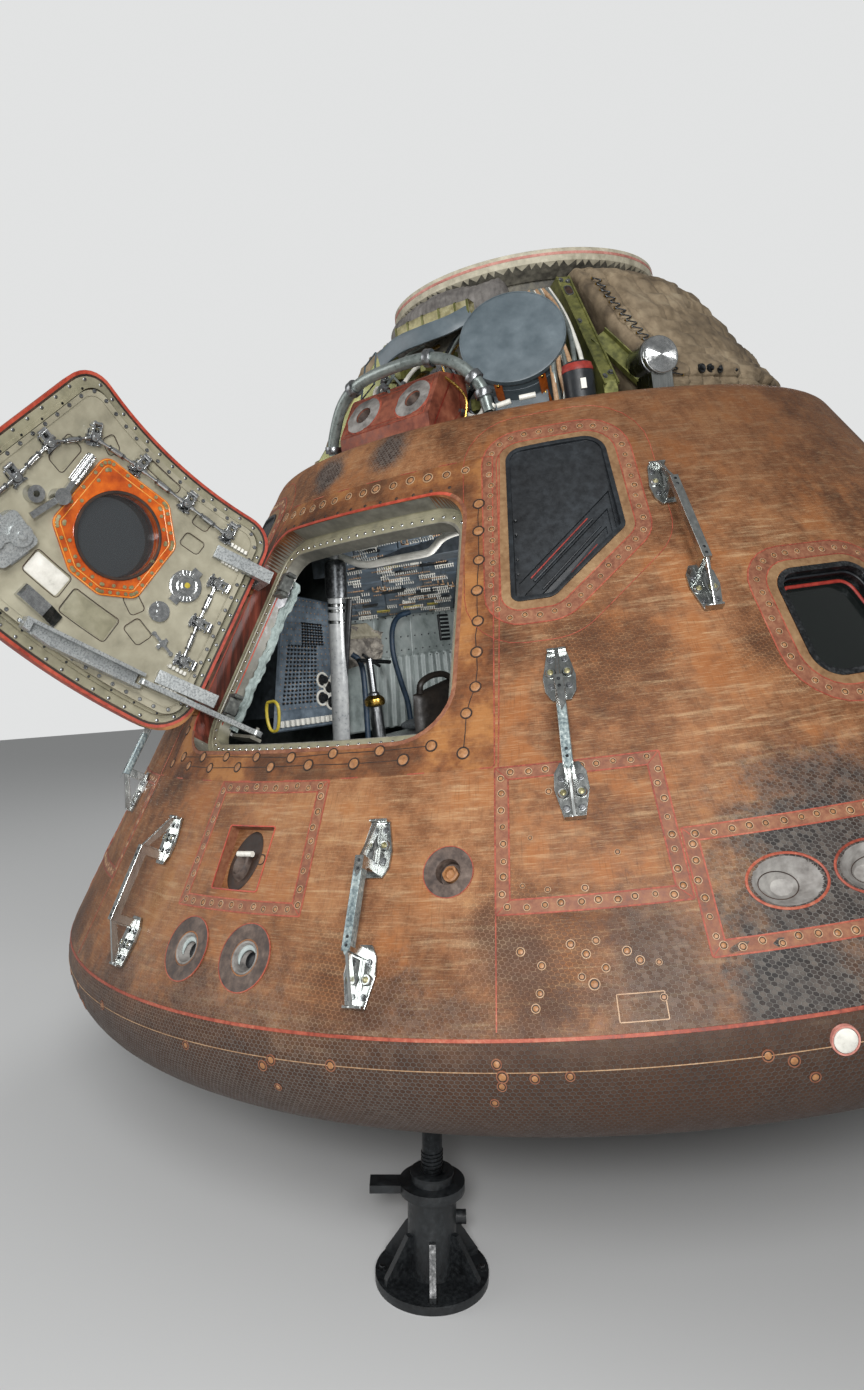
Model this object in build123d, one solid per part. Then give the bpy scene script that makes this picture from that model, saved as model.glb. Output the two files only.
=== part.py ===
from build123d import *
import math
import os

# Space capsule on three screw jacks, hatch swung open.  Millimetres.
# Capsule frame: origin at the centre of the widest circle's corner ring, +Z up the axis.
# Azimuth phi is measured from -Y (the hatch side) and grows towards +X.

# Outer shape
MAX_RADIUS = 1955.8
CORNER_RADIUS = 195.58
BOWL_RADIUS = 4693.92
CONE_ANGLE = 33.0
JOINT_Z = 70.0
DECK_Z = 1512.0
DECK_TOP = DECK_Z - 2.0
SHOULDER_RADIUS = 70.0
FIT = 0.3
SWING_GAP = 6.0

# Walls
BOWL_WALL = 60.0
SHIELD_WALL = 50.0
CABIN_WALL = 40.0
FLOOR_Z = 120.0
FLOOR_WALL = 40.0
ROOF_Z = 1412.0
ROOF_TOP = 1450.0

# Docking tunnel
TUNNEL_OUTER = 430.0
TUNNEL_BORE = 400.0
RING_OUTER = 500.0
RING_BORE = 385.0
RING_Z = 2050.0
RING_HEIGHT = 80.0

# Hatch, drawn shut and then swung open about its hinge
HATCH_LOW = 648.0
HATCH_HIGH = 1265.0
HATCH_HALF_LOW = 509.0
HATCH_HALF_HIGH = 380.0
HATCH_CORNER = 110.0
HATCH_SKIN = 55.0
HATCH_PLATE = 41.0
HATCH_RIM = 52.0
HATCH_GAP = 10.0
LEDGE_DEPTH = 64.0
LEDGE_WIDTH = 38.0
JAMB_DEPTH = 110.0
BAND_LOW = 565.0
BAND_HIGH = 1360.0
BAND_HALF_ANGLE = 23.0
HINGE_PHI = -19.52
HINGE_Z = 950.0
HINGE_STANDOFF = 16.0
HATCH_OPEN = 98.2
WINDOW_BORE = 120.0
WINDOW_X = 13.0
WINDOW_Z = 1001.0

# How the capsule sits on its jacks
LEAN = 7.72
LEAN_PHI = -47.0
LIFT = 852.0
SHIFT_X = 0.0
SHIFT_Y = 180.0

# Jacks
JACK_BASE_RADIUS = 145.0
JACK_BASE_HEIGHT = 22.0
JACK_RIB_HEIGHT = 128.0
JACK_COLUMN_RADIUS = 62.0
JACK_COLLAR_RADIUS = 84.0
JACK_COLLAR_HEIGHT = 24.0
JACK_SCREW_RADIUS = 26.0
JACK_PAD_RADIUS = 50.0
JACK_RADIUS = 1470.0

SIN_C = math.sin(math.radians(CONE_ANGLE))
COS_C = math.cos(math.radians(CONE_ANGLE))
TAN_C = math.tan(math.radians(CONE_ANGLE))

# Height where the cone would close: its wall runs on from the corner ring
APEX_Z = round((MAX_RADIUS - CORNER_RADIUS) / TAN_C + CORNER_RADIUS / SIN_C, 1)


def cone_radius(z, depth=0.0):
    """Radius of the cone at height z, at a depth under its outer face."""
    return (APEX_Z - z) * TAN_C - depth / COS_C


def across(phi):
    return Vector(math.cos(math.radians(phi)), math.sin(math.radians(phi)), 0)


def outward(phi):
    a = math.radians(phi)
    return Vector(COS_C * math.sin(a), -COS_C * math.cos(a), SIN_C)


def upslope(phi):
    a = math.radians(phi)
    return Vector(-SIN_C * math.sin(a), SIN_C * math.cos(a), COS_C)


def level_point(phi, radius, z):
    a = math.radians(phi)
    return Vector(radius * math.sin(a), -radius * math.cos(a), z)


def cone_plane(phi, z, depth=0.0):
    """Plane touching the cone: x across, y up the slope, z outward."""
    origin = level_point(phi, cone_radius(z), z) - outward(phi) * depth
    return Plane(origin=origin, x_dir=across(phi), z_dir=outward(phi))


def level_plane(phi, radius, z):
    """Upright plane facing outward: x across, y up, z outward."""
    return Plane(origin=level_point(phi, radius, z), x_dir=across(phi), z_dir=level_point(phi, 1, 0))


def ring_profile(points):
    """Solid of revolution from (radius, z) corners."""
    corners = [(r, 0, z) for r, z in points]
    return revolve(make_face(Polyline(*corners, close=True)), Axis.Z)


def slab(outer_depth, inner_depth, low=300.0, high=1470.0):
    """Layer of the cone wall between two depths."""
    return ring_profile(
        [
            (cone_radius(low, outer_depth), low),
            (cone_radius(high, outer_depth), high),
            (cone_radius(high, inner_depth), high),
            (cone_radius(low, inner_depth), low),
        ]
    )


def patch(phi, low, high, half_low, half_high, corner, grow=0.0):
    """Prism through the wall whose edges follow level circles and straight sides."""
    plane = cone_plane(phi, (low + high) / 2)

    def flat(half, z):
        angle = phi + math.degrees(half / cone_radius(z))
        point = plane.to_local_coords(level_point(angle, cone_radius(z), z))
        return (point.X, point.Y)

    low_left = flat(-half_low, low)
    low_right = flat(half_low, low)
    high_right = flat(half_high, high)
    high_left = flat(-half_high, high)
    edges = [
        ThreePointArc(low_left, flat(0, low), low_right),
        Line(low_right, high_right),
        ThreePointArc(high_right, flat(0, high), high_left),
        Line(high_left, low_left),
    ]
    face = make_face(edges)
    face = fillet(face.vertices(), corner)
    if grow:
        face = offset(face, grow)
    return extrude(plane * face, amount=400, both=True)


def angle_patch(phi, half_angle, low, high, corner, grow=0.0):
    """Patch whose sides run along the cone's own straight lines."""
    half_low = math.radians(half_angle) * cone_radius(low)
    half_high = math.radians(half_angle) * cone_radius(high)
    return patch(phi, low, high, half_low, half_high, corner, grow)


def hatch_patch(grow=0.0):
    """Outline of the hatch's outer skin, grown or shrunk."""
    return patch(0, HATCH_LOW, HATCH_HIGH, HATCH_HALF_LOW, HATCH_HALF_HIGH, HATCH_CORNER, grow)


# Hinge line: along the cone's slope beside the hatch's left edge
HINGE_POINT = level_point(HINGE_PHI, cone_radius(HINGE_Z) + HINGE_STANDOFF, HINGE_Z)
HINGE_DIR = upslope(HINGE_PHI)


def hinge_plane(along):
    """Plane square to the hinge: x to the right, y into the cabin, z up the hinge."""
    return Plane(origin=HINGE_POINT + HINGE_DIR * along, x_dir=across(HINGE_PHI), z_dir=HINGE_DIR)


def swing(shape):
    """Turn a piece of the shut hatch to where it stands open."""
    return shape.rotate(Axis(HINGE_POINT, HINGE_DIR), -HATCH_OPEN)


def place(shape):
    """From the capsule frame to the part's frame."""
    a = math.radians(LEAN_PHI)
    tilt_axis = Axis((0, 0, 0), (math.cos(a), math.sin(a), 0))
    return shape.rotate(tilt_axis, LEAN).moved(Location((SHIFT_X, SHIFT_Y, LIFT)))


def tube(plane, length, outer, bore=0.0):
    """Round bar or tube along the plane's normal."""
    bar = plane * Pos(0, 0, length / 2) * Cylinder(outer, length)
    if bore:
        bar -= plane * Pos(0, 0, length / 2) * Cylinder(bore, length + 2)
    return bar


def rod_between(start, end, radius):
    """Round bar between two points."""
    run = Vector(*end) - Vector(*start)
    return tube(Plane(origin=start, z_dir=run), run.length, radius)


# Bodies of revolution


def corner_arc(radius, start, end):
    """Arc of the corner ring between two angles in degrees."""
    centre = MAX_RADIUS - CORNER_RADIUS
    spots = []
    for angle in (start, (start + end) / 2, end):
        a = math.radians(angle)
        spots.append((centre + radius * math.cos(a), 0, radius * math.sin(a)))
    return ThreePointArc(*spots)


def bowl_arc(radius, end_x):
    """Arc of the bowl from the axis out to end_x."""
    centre_z = bowl_centre_z()

    def spot(x):
        return (x, 0, centre_z - math.sqrt(radius * radius - x * x))

    return ThreePointArc(spot(0), spot(end_x / 2), spot(end_x))


def bowl_centre_z():
    reach = BOWL_RADIUS - CORNER_RADIUS
    centre = MAX_RADIUS - CORNER_RADIUS
    return math.sqrt(reach * reach - centre * centre)


def aft_heat_shield():
    centre = MAX_RADIUS - CORNER_RADIUS
    seam = math.degrees(math.atan2(-bowl_centre_z(), centre))
    inner_radius = CORNER_RADIUS - BOWL_WALL
    top_out = math.degrees(math.asin(JOINT_Z / CORNER_RADIUS))
    top_in = math.degrees(math.asin(JOINT_Z / inner_radius))
    outer_corner = corner_arc(CORNER_RADIUS, seam, top_out)
    inner_corner = corner_arc(inner_radius, seam, top_in)
    outer_bowl = bowl_arc(BOWL_RADIUS, (outer_corner @ 0).X)
    inner_bowl = bowl_arc(BOWL_RADIUS - BOWL_WALL, (inner_corner @ 0).X)
    edges = [
        outer_bowl,
        outer_corner,
        Line(outer_corner @ 1, inner_corner @ 1),
        inner_corner,
        inner_bowl,
        Line(inner_bowl @ 0, outer_bowl @ 0),
    ]
    return revolve(make_face(edges), Axis.Z)


def side_window_patch(side, grow=0.0):
    return patch(side * 58.0, 668.0, 925.0, 170.0, 135.0, 60.0, grow)


HOOD_CORNERS = [
    # azimuth, height, corner radius
    (24.9, 1366.0, 45.0),
    (39.0, 1372.0, 60.0),
    (38.6, 1098.0, 30.0),
    (29.4, 938.0, 45.0),
    (24.9, 938.0, 25.0),
]


def corner_patch(corners, grow=0.0):
    """Prism through the wall over straight sides between corners, each with its own radius."""
    middle = [sum(column) / len(corners) for column in zip(*corners)]
    plane = cone_plane(middle[0], middle[1])
    spots = []
    for phi, z, radius in corners:
        spot = plane.to_local_coords(level_point(phi, cone_radius(z), z))
        spots.append((spot.X, spot.Y))
    face = make_face(Polyline(*spots, close=True))
    for spot, (phi, z, radius) in zip(spots, corners):
        nearest = min(face.vertices(), key=lambda v: math.hypot(v.X - spot[0], v.Y - spot[1]))
        face = fillet(nearest, radius)
    if grow:
        face = offset(face, grow)
    return extrude(plane * face, amount=400, both=True)


def hood_patch(side, grow=0.0):
    prism = corner_patch(HOOD_CORNERS, grow)
    return prism if side > 0 else mirror(prism, Plane.YZ)


def access_patch(side, grow=0.0):
    return angle_patch(side * 29.5, 6.5, 280.0, 563.0, 4.0, grow)


def vent_patch(grow=0.0):
    return angle_patch(0.6, 7.1, 280.0, 563.0, 4.0, grow)


def roll_patch(side, grow=0.0):
    return angle_patch(side * 45.2, 9.0, 180.0, 408.0, 6.0, grow)


def band_patch(grow=0.0):
    return angle_patch(0, BAND_HALF_ANGLE, BAND_LOW, BAND_HIGH, 8.0, grow)


LOW_ENGINES = [
    # name, phi, z
    ("left", -3.3, 194.0),
    ("right", 3.4, 194.0),
]
LOW_ENGINE_BORE = 33.0

STEAM_PHI = 19.5
STEAM_Z = 364.0
STEAM_BORE = 45.0


def crew_heat_shield():
    """Conical wall with every opening cut."""
    centre = MAX_RADIUS - CORNER_RADIUS
    low_out = math.degrees(math.asin(JOINT_Z / CORNER_RADIUS))
    inner_radius = CORNER_RADIUS - SHIELD_WALL
    low_in = math.degrees(math.asin(JOINT_Z / inner_radius))
    outer_corner = corner_arc(CORNER_RADIUS, low_out, CONE_ANGLE)
    inner_corner = corner_arc(inner_radius, low_in, CONE_ANGLE)
    shoulder_z = DECK_Z - SHOULDER_RADIUS
    shoulder_x = cone_radius(shoulder_z) - SHOULDER_RADIUS / COS_C

    def shoulder_spot(angle, radius):
        a = math.radians(angle)
        return (shoulder_x + radius * math.cos(a), 0, shoulder_z + radius * math.sin(a))

    mid_angle = (CONE_ANGLE + 90) / 2
    rim = SHOULDER_RADIUS - SHIELD_WALL
    outer_turn = [shoulder_spot(angle, SHOULDER_RADIUS) for angle in (CONE_ANGLE, mid_angle, 90)]
    inner_turn = [shoulder_spot(angle, rim) for angle in (CONE_ANGLE, mid_angle, 90)]
    outer_shoulder = ThreePointArc(*outer_turn)
    inner_shoulder = ThreePointArc(*inner_turn)
    edges = [
        outer_corner,
        Line(outer_corner @ 1, outer_shoulder @ 0),
        outer_shoulder,
        Line(outer_shoulder @ 1, inner_shoulder @ 1),
        inner_shoulder,
        Line(inner_shoulder @ 0, inner_corner @ 1),
        inner_corner,
        Line(inner_corner @ 0, outer_corner @ 0),
    ]
    wall = revolve(make_face(edges), Axis.Z)
    wall -= band_patch(FIT)
    wall -= vent_patch(FIT)
    for side in (-1, 1):
        wall -= side_window_patch(side, WINDOW_BORDER)
        wall -= hood_patch(side, FIT)
        wall -= access_patch(side, FIT)
        wall -= roll_patch(side, FIT) - access_patch(side, FIT)
    for name, phi, z in LOW_ENGINES:
        wall -= low_nozzle(phi, z)
    wall -= cone_plane(STEAM_PHI, STEAM_Z) * Cylinder(STEAM_BORE, 80)
    return wall


def cabin_shell():
    """Pressure cabin: cone wall and roof in one, with the hatchway and windows cut."""
    outer = SHIELD_WALL + FIT
    inner = outer + CABIN_WALL
    low = FLOOR_Z - FLOOR_WALL
    top = ROOF_TOP
    shell = ring_profile(
        [
            (cone_radius(low, outer), low),
            (cone_radius(top, outer), top),
            (TUNNEL_BORE, top),
            (TUNNEL_BORE, ROOF_Z),
            (cone_radius(ROOF_Z, inner), ROOF_Z),
            (cone_radius(low, inner), low),
        ]
    )
    shell -= hatch_patch(40.0 + FIT)
    for side in (-1, 1):
        shell -= side_window_patch(side)
        shell -= hood_patch(side, FIT)
    for along in HINGE_PLACES:
        shell -= hinge_notch(along, 2.0)
    return shell


def cabin_floor():
    radius = cone_radius(FLOOR_Z, SHIELD_WALL + CABIN_WALL + FIT) - 1.0
    return Pos(0, 0, FLOOR_Z - FLOOR_WALL / 2) * Cylinder(radius, FLOOR_WALL)


def forward_deck():
    """Deck over the cabin roof, round the tunnel's foot."""
    shoulder_x = cone_radius(DECK_Z - SHOULDER_RADIUS) - SHOULDER_RADIUS / COS_C
    radius = shoulder_x - FIT
    low = ROOF_TOP + FIT
    inner = TUNNEL_OUTER + FIT
    return ring_profile([(inner, low), (radius, low), (radius, DECK_TOP), (inner, DECK_TOP)])


def docking_tunnel():
    low = ROOF_TOP + FIT
    return ring_profile(
        [
            (TUNNEL_BORE, low),
            (TUNNEL_OUTER, low),
            (TUNNEL_OUTER, RING_Z),
            (TUNNEL_BORE, RING_Z),
        ]
    )


def tunnel_ring():
    top = RING_Z + RING_HEIGHT
    return ring_profile(
        [
            (RING_BORE, RING_Z),
            (RING_OUTER - 60, RING_Z),
            (RING_OUTER - 5, RING_Z + 40),
            (RING_OUTER, top - 22),
            (RING_OUTER, top),
            (RING_BORE, top),
        ]
    )


# Hatchway


HINGE_PLACES = [217.0, -205.0]
KNUCKLE_RADIUS = 20.0
KNUCKLE_HALF = 20.0
PIN_RADIUS = 6.0
NOTCH_LEFT = -40.0
NOTCH_RIGHT = 92.0


def hinge_notch(along, grow=0.0):
    """Cutout in the jamb that the hinge arm swings through."""
    half = KNUCKLE_HALF + 24.0 + grow
    width = NOTCH_RIGHT - NOTCH_LEFT + 2 * grow
    middle = (NOTCH_RIGHT + NOTCH_LEFT) / 2
    return hinge_plane(along) * Pos(middle, 60, 0) * Box(width, 300, 2 * half)


def hatch_frame():
    """Bolt band, rebate and jamb of the hatchway in one piece."""
    band = slab(0, SHIELD_WALL, 500, 1420) & band_patch()
    jamb = slab(SHIELD_WALL, JAMB_DEPTH, 450, 1440) & hatch_patch(40.0)
    frame = band + jamb
    frame -= slab(-30, LEDGE_DEPTH, 450, 1440) & hatch_patch(HATCH_GAP)
    frame -= hatch_patch(-LEDGE_WIDTH)
    for along in HINGE_PLACES:
        frame -= hinge_notch(along)
        frame += hinge_bracket(along)
    return frame + stay_bracket()


def hinge_bracket(along):
    """Two lugs and the pin, on the frame beside the arm."""
    plane = hinge_plane(along)
    near = KNUCKLE_HALF + SWING_GAP
    lugs = plane * Cylinder(PIN_RADIUS, 2 * (near + 16))
    for side in (-1, 1):
        middle = side * (near + 8)
        lugs += plane * Pos(0, 0, middle) * Cylinder(18, 16)
        lugs += plane * Pos(-25, 14, middle) * Box(50, 26, 16)
    lugs += plane * Pos(-42, 22, 0) * Box(15, 10, 2 * (near + 16))
    return lugs


def hinge_arm(along):
    """Arm from the knuckle round the hatch's edge to its inner face."""
    plane = hinge_plane(along)
    width = 2 * KNUCKLE_HALF
    arm = plane * Cylinder(KNUCKLE_RADIUS, width)
    arm += plane * Pos(-18, 69, 0) * Box(24, 138, width)
    arm += plane * Pos(65, 122, 0) * Box(190, 32, width)
    arm -= plane * Cylinder(PIN_RADIUS + FIT, width + 2)
    return arm - (slab(-60, PLATE_DEPTH + FIT, 500, 1400) & hatch_patch(FIT))


PLATE_DEPTH = HATCH_SKIN + HATCH_PLATE


def window_plane(depth):
    """Plane across the hatch window's middle, at a depth in the hatch."""
    return cone_plane(math.degrees(WINDOW_X / cone_radius(WINDOW_Z)), WINDOW_Z, depth)


def hatch_skin():
    body = slab(0, HATCH_SKIN, 500, 1400) & hatch_patch()
    return body - window_plane(0) * Cylinder(WINDOW_BORE, 400)


def face_plane(x, z):
    """Plane on the hatch's inner face: x across, y up the slope, z outward."""
    outer_z = z + SIN_C * PLATE_DEPTH
    radius = cone_radius(outer_z) - COS_C * PLATE_DEPTH
    return cone_plane(math.degrees(math.asin(x / radius)), outer_z, PLATE_DEPTH)


PLATE_POCKETS = [
    # place across, height, half length, half height, turn
    (-160.0, 1112.0, 26.0, 18.0, 0.0),
    (-174.0, 1052.0, 32.0, 22.0, 0.0),
    (-143.0, 839.0, 30.0, 22.0, 30.0),
    (-200.0, 786.0, 34.0, 26.0, 20.0),
    (186.0, 1102.0, 24.0, 20.0, 20.0),
    (268.0, 1000.0, 28.0, 46.0, 0.0),
    (12.0, 1142.0, 60.0, 14.0, 0.0),
    (100.0, 768.0, 62.0, 36.0, 0.0),
    (-62.0, 752.0, 78.0, 40.0, 0.0),
]
POCKET_SINK = 5.0
POCKET_CORNER = 11.0
GROOVE_INSET = 16.0
GROOVE_WIDTH = 4.0
GROOVE_SINK = 3.0


def hatch_plate():
    """Inner structure: milled pockets, a groove round its edge and room for the stay's link."""
    body = slab(HATCH_SKIN, PLATE_DEPTH, 500, 1400) & hatch_patch(-HATCH_RIM)
    body -= window_plane(0) * Cylinder(WINDOW_BORE, 400)
    groove = hatch_patch(-HATCH_RIM - GROOVE_INSET) - hatch_patch(-HATCH_RIM - GROOVE_INSET - GROOVE_WIDTH)
    body -= slab(PLATE_DEPTH - GROOVE_SINK, PLATE_DEPTH + 20, 500, 1400) & groove
    for x, z, half_long, half_high, turn in PLATE_POCKETS:
        outline = RectangleRounded(2 * half_long, 2 * half_high, POCKET_CORNER)
        body -= face_plane(x, z) * Pos(0, 0, -30) * Rot(0, 0, turn) * extrude(outline, 30 + POCKET_SINK)
    return body - hinge_plane(STAY_ALONG) * Pos(118, 112.5, 0) * Rot(0, 0, 6.4) * Box(190, 30, 28)


RING_CORNERS = [
    # place across and up the slope from the window's middle
    (172.0, 158.0),
    (-58.0, 180.0),
    (-154.0, 88.0),
    (-152.0, -112.0),
    (-58.0, -172.0),
    (45.0, -172.0),
    (172.0, -92.0),
]
RING_CORNER = 38.0
RING_THICKNESS = 6.0
RING_LIP = 14.0
RING_LIP_WIDTH = 9.0


def hatch_window_ring():
    """Many-sided flange with a raised lip round the bore, on the hatch's inner face."""
    plane = window_plane(PLATE_DEPTH)
    outline = fillet(make_face(Polyline(*RING_CORNERS, close=True)).vertices(), RING_CORNER)
    ring = plane * extrude(outline, -RING_THICKNESS - 14)
    ring &= slab(PLATE_DEPTH + FIT, PLATE_DEPTH + FIT + RING_THICKNESS, 500, 1400)
    lip = Cylinder(WINDOW_BORE + RING_LIP_WIDTH, 2 * RING_LIP) - Cylinder(WINDOW_BORE, 80)
    ring -= plane * Cylinder(WINDOW_BORE, 80)
    return ring + ((plane * lip) - slab(0, PLATE_DEPTH + FIT, 500, 1400))


def hatch_pane():
    return window_plane(70) * Cylinder(WINDOW_BORE - FIT, 14)


# Mechanism on the hatch's inner face


GEARBOX_SPOT = (250.0, 757.0)


def hatch_gearbox():
    """Cast box with two bosses and a crank on its cover."""
    plane = face_plane(*GEARBOX_SPOT) * Rot(0, 0, 8)
    body = plane * Pos(0, 0, -40) * extrude(RectangleRounded(112, 128, 16), 40)
    body += plane * Pos(-8, 30, -48) * Cylinder(32, 16)
    body += plane * Pos(18, -34, -49) * Cylinder(22, 18)
    body += plane * Pos(-8, 30, -60) * Cylinder(12, 12)
    body += plane * Pos(5, -2, -52) * Rot(0, 0, -68) * Box(92, 20, 8)
    body += plane * Pos(0, 0, -10) * Box(132, 60, 20)
    return body - slab(0, PLATE_DEPTH + FIT, 400, 1400)


LATCHES = [
    # place across, height, turn of its arm
    (-242.0, 1118.0, 90.0),
    (-86.0, 1122.0, 90.0),
    (93.0, 1109.0, 90.0),
    (243.0, 1075.0, 55.0),
    (324.0, 981.0, 0.0),
    (331.0, 869.0, 0.0),
    (348.0, 772.0, 0.0),
    (-299.0, 993.0, 180.0),
    (-324.0, 880.0, 180.0),
    (-352.0, 776.0, 180.0),
]
LATCH_POST = 12.0
LATCH_HEIGHT = 30.0
LINK_RADIUS = 4.5
LINK_NUT = 8.0
LINK_NUT_HALF = 17.0
LINK_GAP = 0.8
LINK_CHAINS = [
    # latches that each chain of links joins, by their row above
    (0, 1, 2, 3, 4, 5, 6),
    (7, 8, 9),
]
LINK_HEIGHT = 18.0


def latch(x, z, turn):
    """Foot, post and forked arm with its roller."""
    plane = face_plane(x, z) * Rot(0, 0, turn)
    body = plane * Pos(0, 0, -8) * extrude(RectangleRounded(48, 32, 6), 12)
    body += plane * Pos(0, 0, -LATCH_HEIGHT / 2) * Cylinder(LATCH_POST, LATCH_HEIGHT)
    for side in (-1, 1):
        body += plane * Pos(25, side * 9, -25.5) * Box(38, 5, 9)
    body += plane * Pos(37, 0, -25.5) * Rot(90, 0, 0) * Cylinder(6.5, 26)
    return (body - slab(0, PLATE_DEPTH + FIT, 400, 1400)).solids()[0]


def latches():
    return Compound(children=[latch(*row) for row in LATCHES])


def link_rod(first, second):
    """Rod with a turnbuckle in its middle, from one latch's post to the next."""
    ends = []
    for x, z, turn in (LATCHES[first], LATCHES[second]):
        plane = face_plane(x, z)
        ends.append(plane.origin - plane.z_dir * LINK_HEIGHT)
    run = (ends[1] - ends[0]).normalized()
    gap = LATCH_POST + LINK_GAP
    start = ends[0] + run * gap
    end = ends[1] - run * gap
    middle = (start + end) * 0.5
    rod = rod_between(start, end, LINK_RADIUS)
    rod += rod_between(middle - run * LINK_NUT_HALF, middle + run * LINK_NUT_HALF, LINK_NUT)
    for spot, way in ((start, 1), (end, -1)):
        rod += rod_between(spot, spot + run * way * 14, LINK_RADIUS + 2.5)
    return rod


def latch_links():
    rods = []
    for chain in LINK_CHAINS:
        for first, second in zip(chain, chain[1:]):
            rods.append(link_rod(first, second))
    return Compound(children=rods)


HANDLE_SPOT = (212.0, 915.0)
HANDLE_TURN = -8.0
GRIP_RADIUS = 14.0
GRIP_LENGTH = 96.0
GRIP_FLUTES = 10
GRIP_HEIGHT = 34.0
DIAL_SPOT = (-232.0, 947.0)
DIAL_RADIUS = 46.0
DIAL_TEETH = 24
DISC_SPOT = (-214.0, 856.0)
DISC_RADIUS = 31.0
WEDGE_SPOT = (66.0, 697.0)
CROSS_SPOT = (-276.0, 790.0)
BOSS_SPOT = (268.0, 876.0)


def handle():
    """Fluted grip and a short crank, both on one tall post."""
    plane = face_plane(*HANDLE_SPOT) * Rot(0, 0, HANDLE_TURN)
    body = plane * Pos(0, 0, -23) * Cylinder(23, 46)
    body += plane * Pos(0, 34, -GRIP_HEIGHT) * Box(16, 40, 16)
    grip = Cylinder(GRIP_RADIUS, GRIP_LENGTH)
    for step in range(GRIP_FLUTES):
        flute = Pos(GRIP_RADIUS + 1, 0, 0) * Cylinder(3, GRIP_LENGTH - 10)
        grip -= Rot(0, 0, 360 / GRIP_FLUTES * step) * flute
    body += plane * Pos(0, 50 + GRIP_LENGTH / 2, -GRIP_HEIGHT) * Rot(90, 0, 0) * grip
    return body + plane * Rot(0, 0, 20) * Pos(0, -58, -GRIP_HEIGHT) * Box(18, 86, 9)


def dial():
    """Vent valve: toothed rim, raised knob and two ears."""
    plane = face_plane(*DIAL_SPOT) * Rot(180, 0, 0)
    body = plane * Pos(0, 0, 5) * Cylinder(DIAL_RADIUS + 3, 10)
    rim = Pos(0, 0, 14) * (Cylinder(DIAL_RADIUS, 10) - Cylinder(DIAL_RADIUS - 13, 12))
    for step in range(DIAL_TEETH):
        rim -= Rot(0, 0, 360 / DIAL_TEETH * step) * Pos(DIAL_RADIUS - 6, 0, 19) * Box(16, 3, 6)
    body += plane * rim
    body += plane * Pos(0, 0, 14) * Cylinder(26, 10)
    body += plane * Pos(0, 0, 20) * Cylinder(15, 14)
    for angle in (80, 260):
        body += plane * Rot(0, 0, angle) * Pos(DIAL_RADIUS + 4, 0, 6) * Box(26, 30, 12)
    return body


def slotted_disc():
    plane = face_plane(*DISC_SPOT) * Rot(180, 0, 0)
    body = plane * Pos(0, 0, 6) * Cylinder(DISC_RADIUS, 12)
    body += plane * Pos(0, 0, 8) * Cylinder(8, 16)
    for angle in (80, 200, 320):
        body -= plane * Rot(0, 0, angle) * Pos(DISC_RADIUS - 8, 0, 12) * Box(17, 5, 8)
    return body


def wedge():
    """Guide block whose top slopes down to one end."""
    plane = face_plane(*WEDGE_SPOT) * Rot(0, 0, 3)
    side = make_face(Polyline((-68, 4), (-68, -14), (-20, -34), (60, -34), (68, -26), (68, 4), close=True))
    block = extrude(Plane.XZ * mirror(side, Plane.XZ), amount=20, both=True)
    return plane * Rot(180, 0, 0) * block


def cross_lever():
    plane = face_plane(*CROSS_SPOT)
    body = plane * Pos(0, 0, -11) * Cylinder(11, 22)
    body += plane * Rot(0, 0, 22) * Pos(0, 0, -13) * Box(76, 9, 9)
    body += plane * Rot(0, 0, 112) * Pos(0, 0, -6) * Box(40, 12, 12)
    for end in (-1, 1):
        body += plane * Rot(0, 0, 22) * Pos(end * 38, 0, -8) * Cylinder(7, 16)
    return body


def hatch_fittings():
    """Handle, vent valve and small pieces, each standing on the inner face."""
    face = slab(0, PLATE_DEPTH + FIT, 400, 1400)
    boss = face_plane(*BOSS_SPOT) * Pos(0, 0, -17) * (Cylinder(24, 34) - Cylinder(9, 40))
    pieces = [handle(), dial(), slotted_disc(), wedge(), cross_lever(), boss]
    return Compound(children=[(piece - face).solids()[0] for piece in pieces])


# Stay beside the lower hinge: a link whose shoe runs in a channel on the hatch


STAY_ALONG = -241.0
STAY_FOOT = (150.0, 160.0)
STAY_LENGTH = 370.0
STAY_SHUT_ANGLE = 10.9
STAY_RATIO = 1.068
STAY_HALF = 8.0
EYE_RADIUS = 19.0
CHANNEL_NEAR = (205.0, 158.0)
CHANNEL_FAR = (532.0, 239.0)


def stay_bracket():
    """Plate on the jamb with the pin the link turns on."""
    plane = hinge_plane(STAY_ALONG - STAY_HALF - SWING_GAP)
    corners = [(-5, 108), (26, 108), (36, 133), (168, 141), (168, 178), (30, 172), (-5, 140)]
    body = extrude(plane * make_face(Polyline(*corners, close=True)), -10)
    reach = 2 * STAY_HALF + 2 * SWING_GAP + 4
    body += plane * Pos(*STAY_FOOT, reach / 2 - 1) * Cylinder(PIN_RADIUS, reach)
    return body


def stay_link():
    """Flat link as it stands with the hatch open."""
    angle = STAY_SHUT_ANGLE - STAY_RATIO * HATCH_OPEN
    plane = hinge_plane(STAY_ALONG) * Pos(*STAY_FOOT, 0) * Rot(0, 0, angle)
    width = 2 * STAY_HALF
    link = plane * Cylinder(EYE_RADIUS, width)
    link += plane * Pos(STAY_LENGTH / 2, 0, 0) * Box(STAY_LENGTH, 20, width)
    link += plane * Pos(STAY_LENGTH, 0, 0) * Cylinder(12, width)
    return link - plane * Cylinder(PIN_RADIUS + FIT, width + 2)


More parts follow.
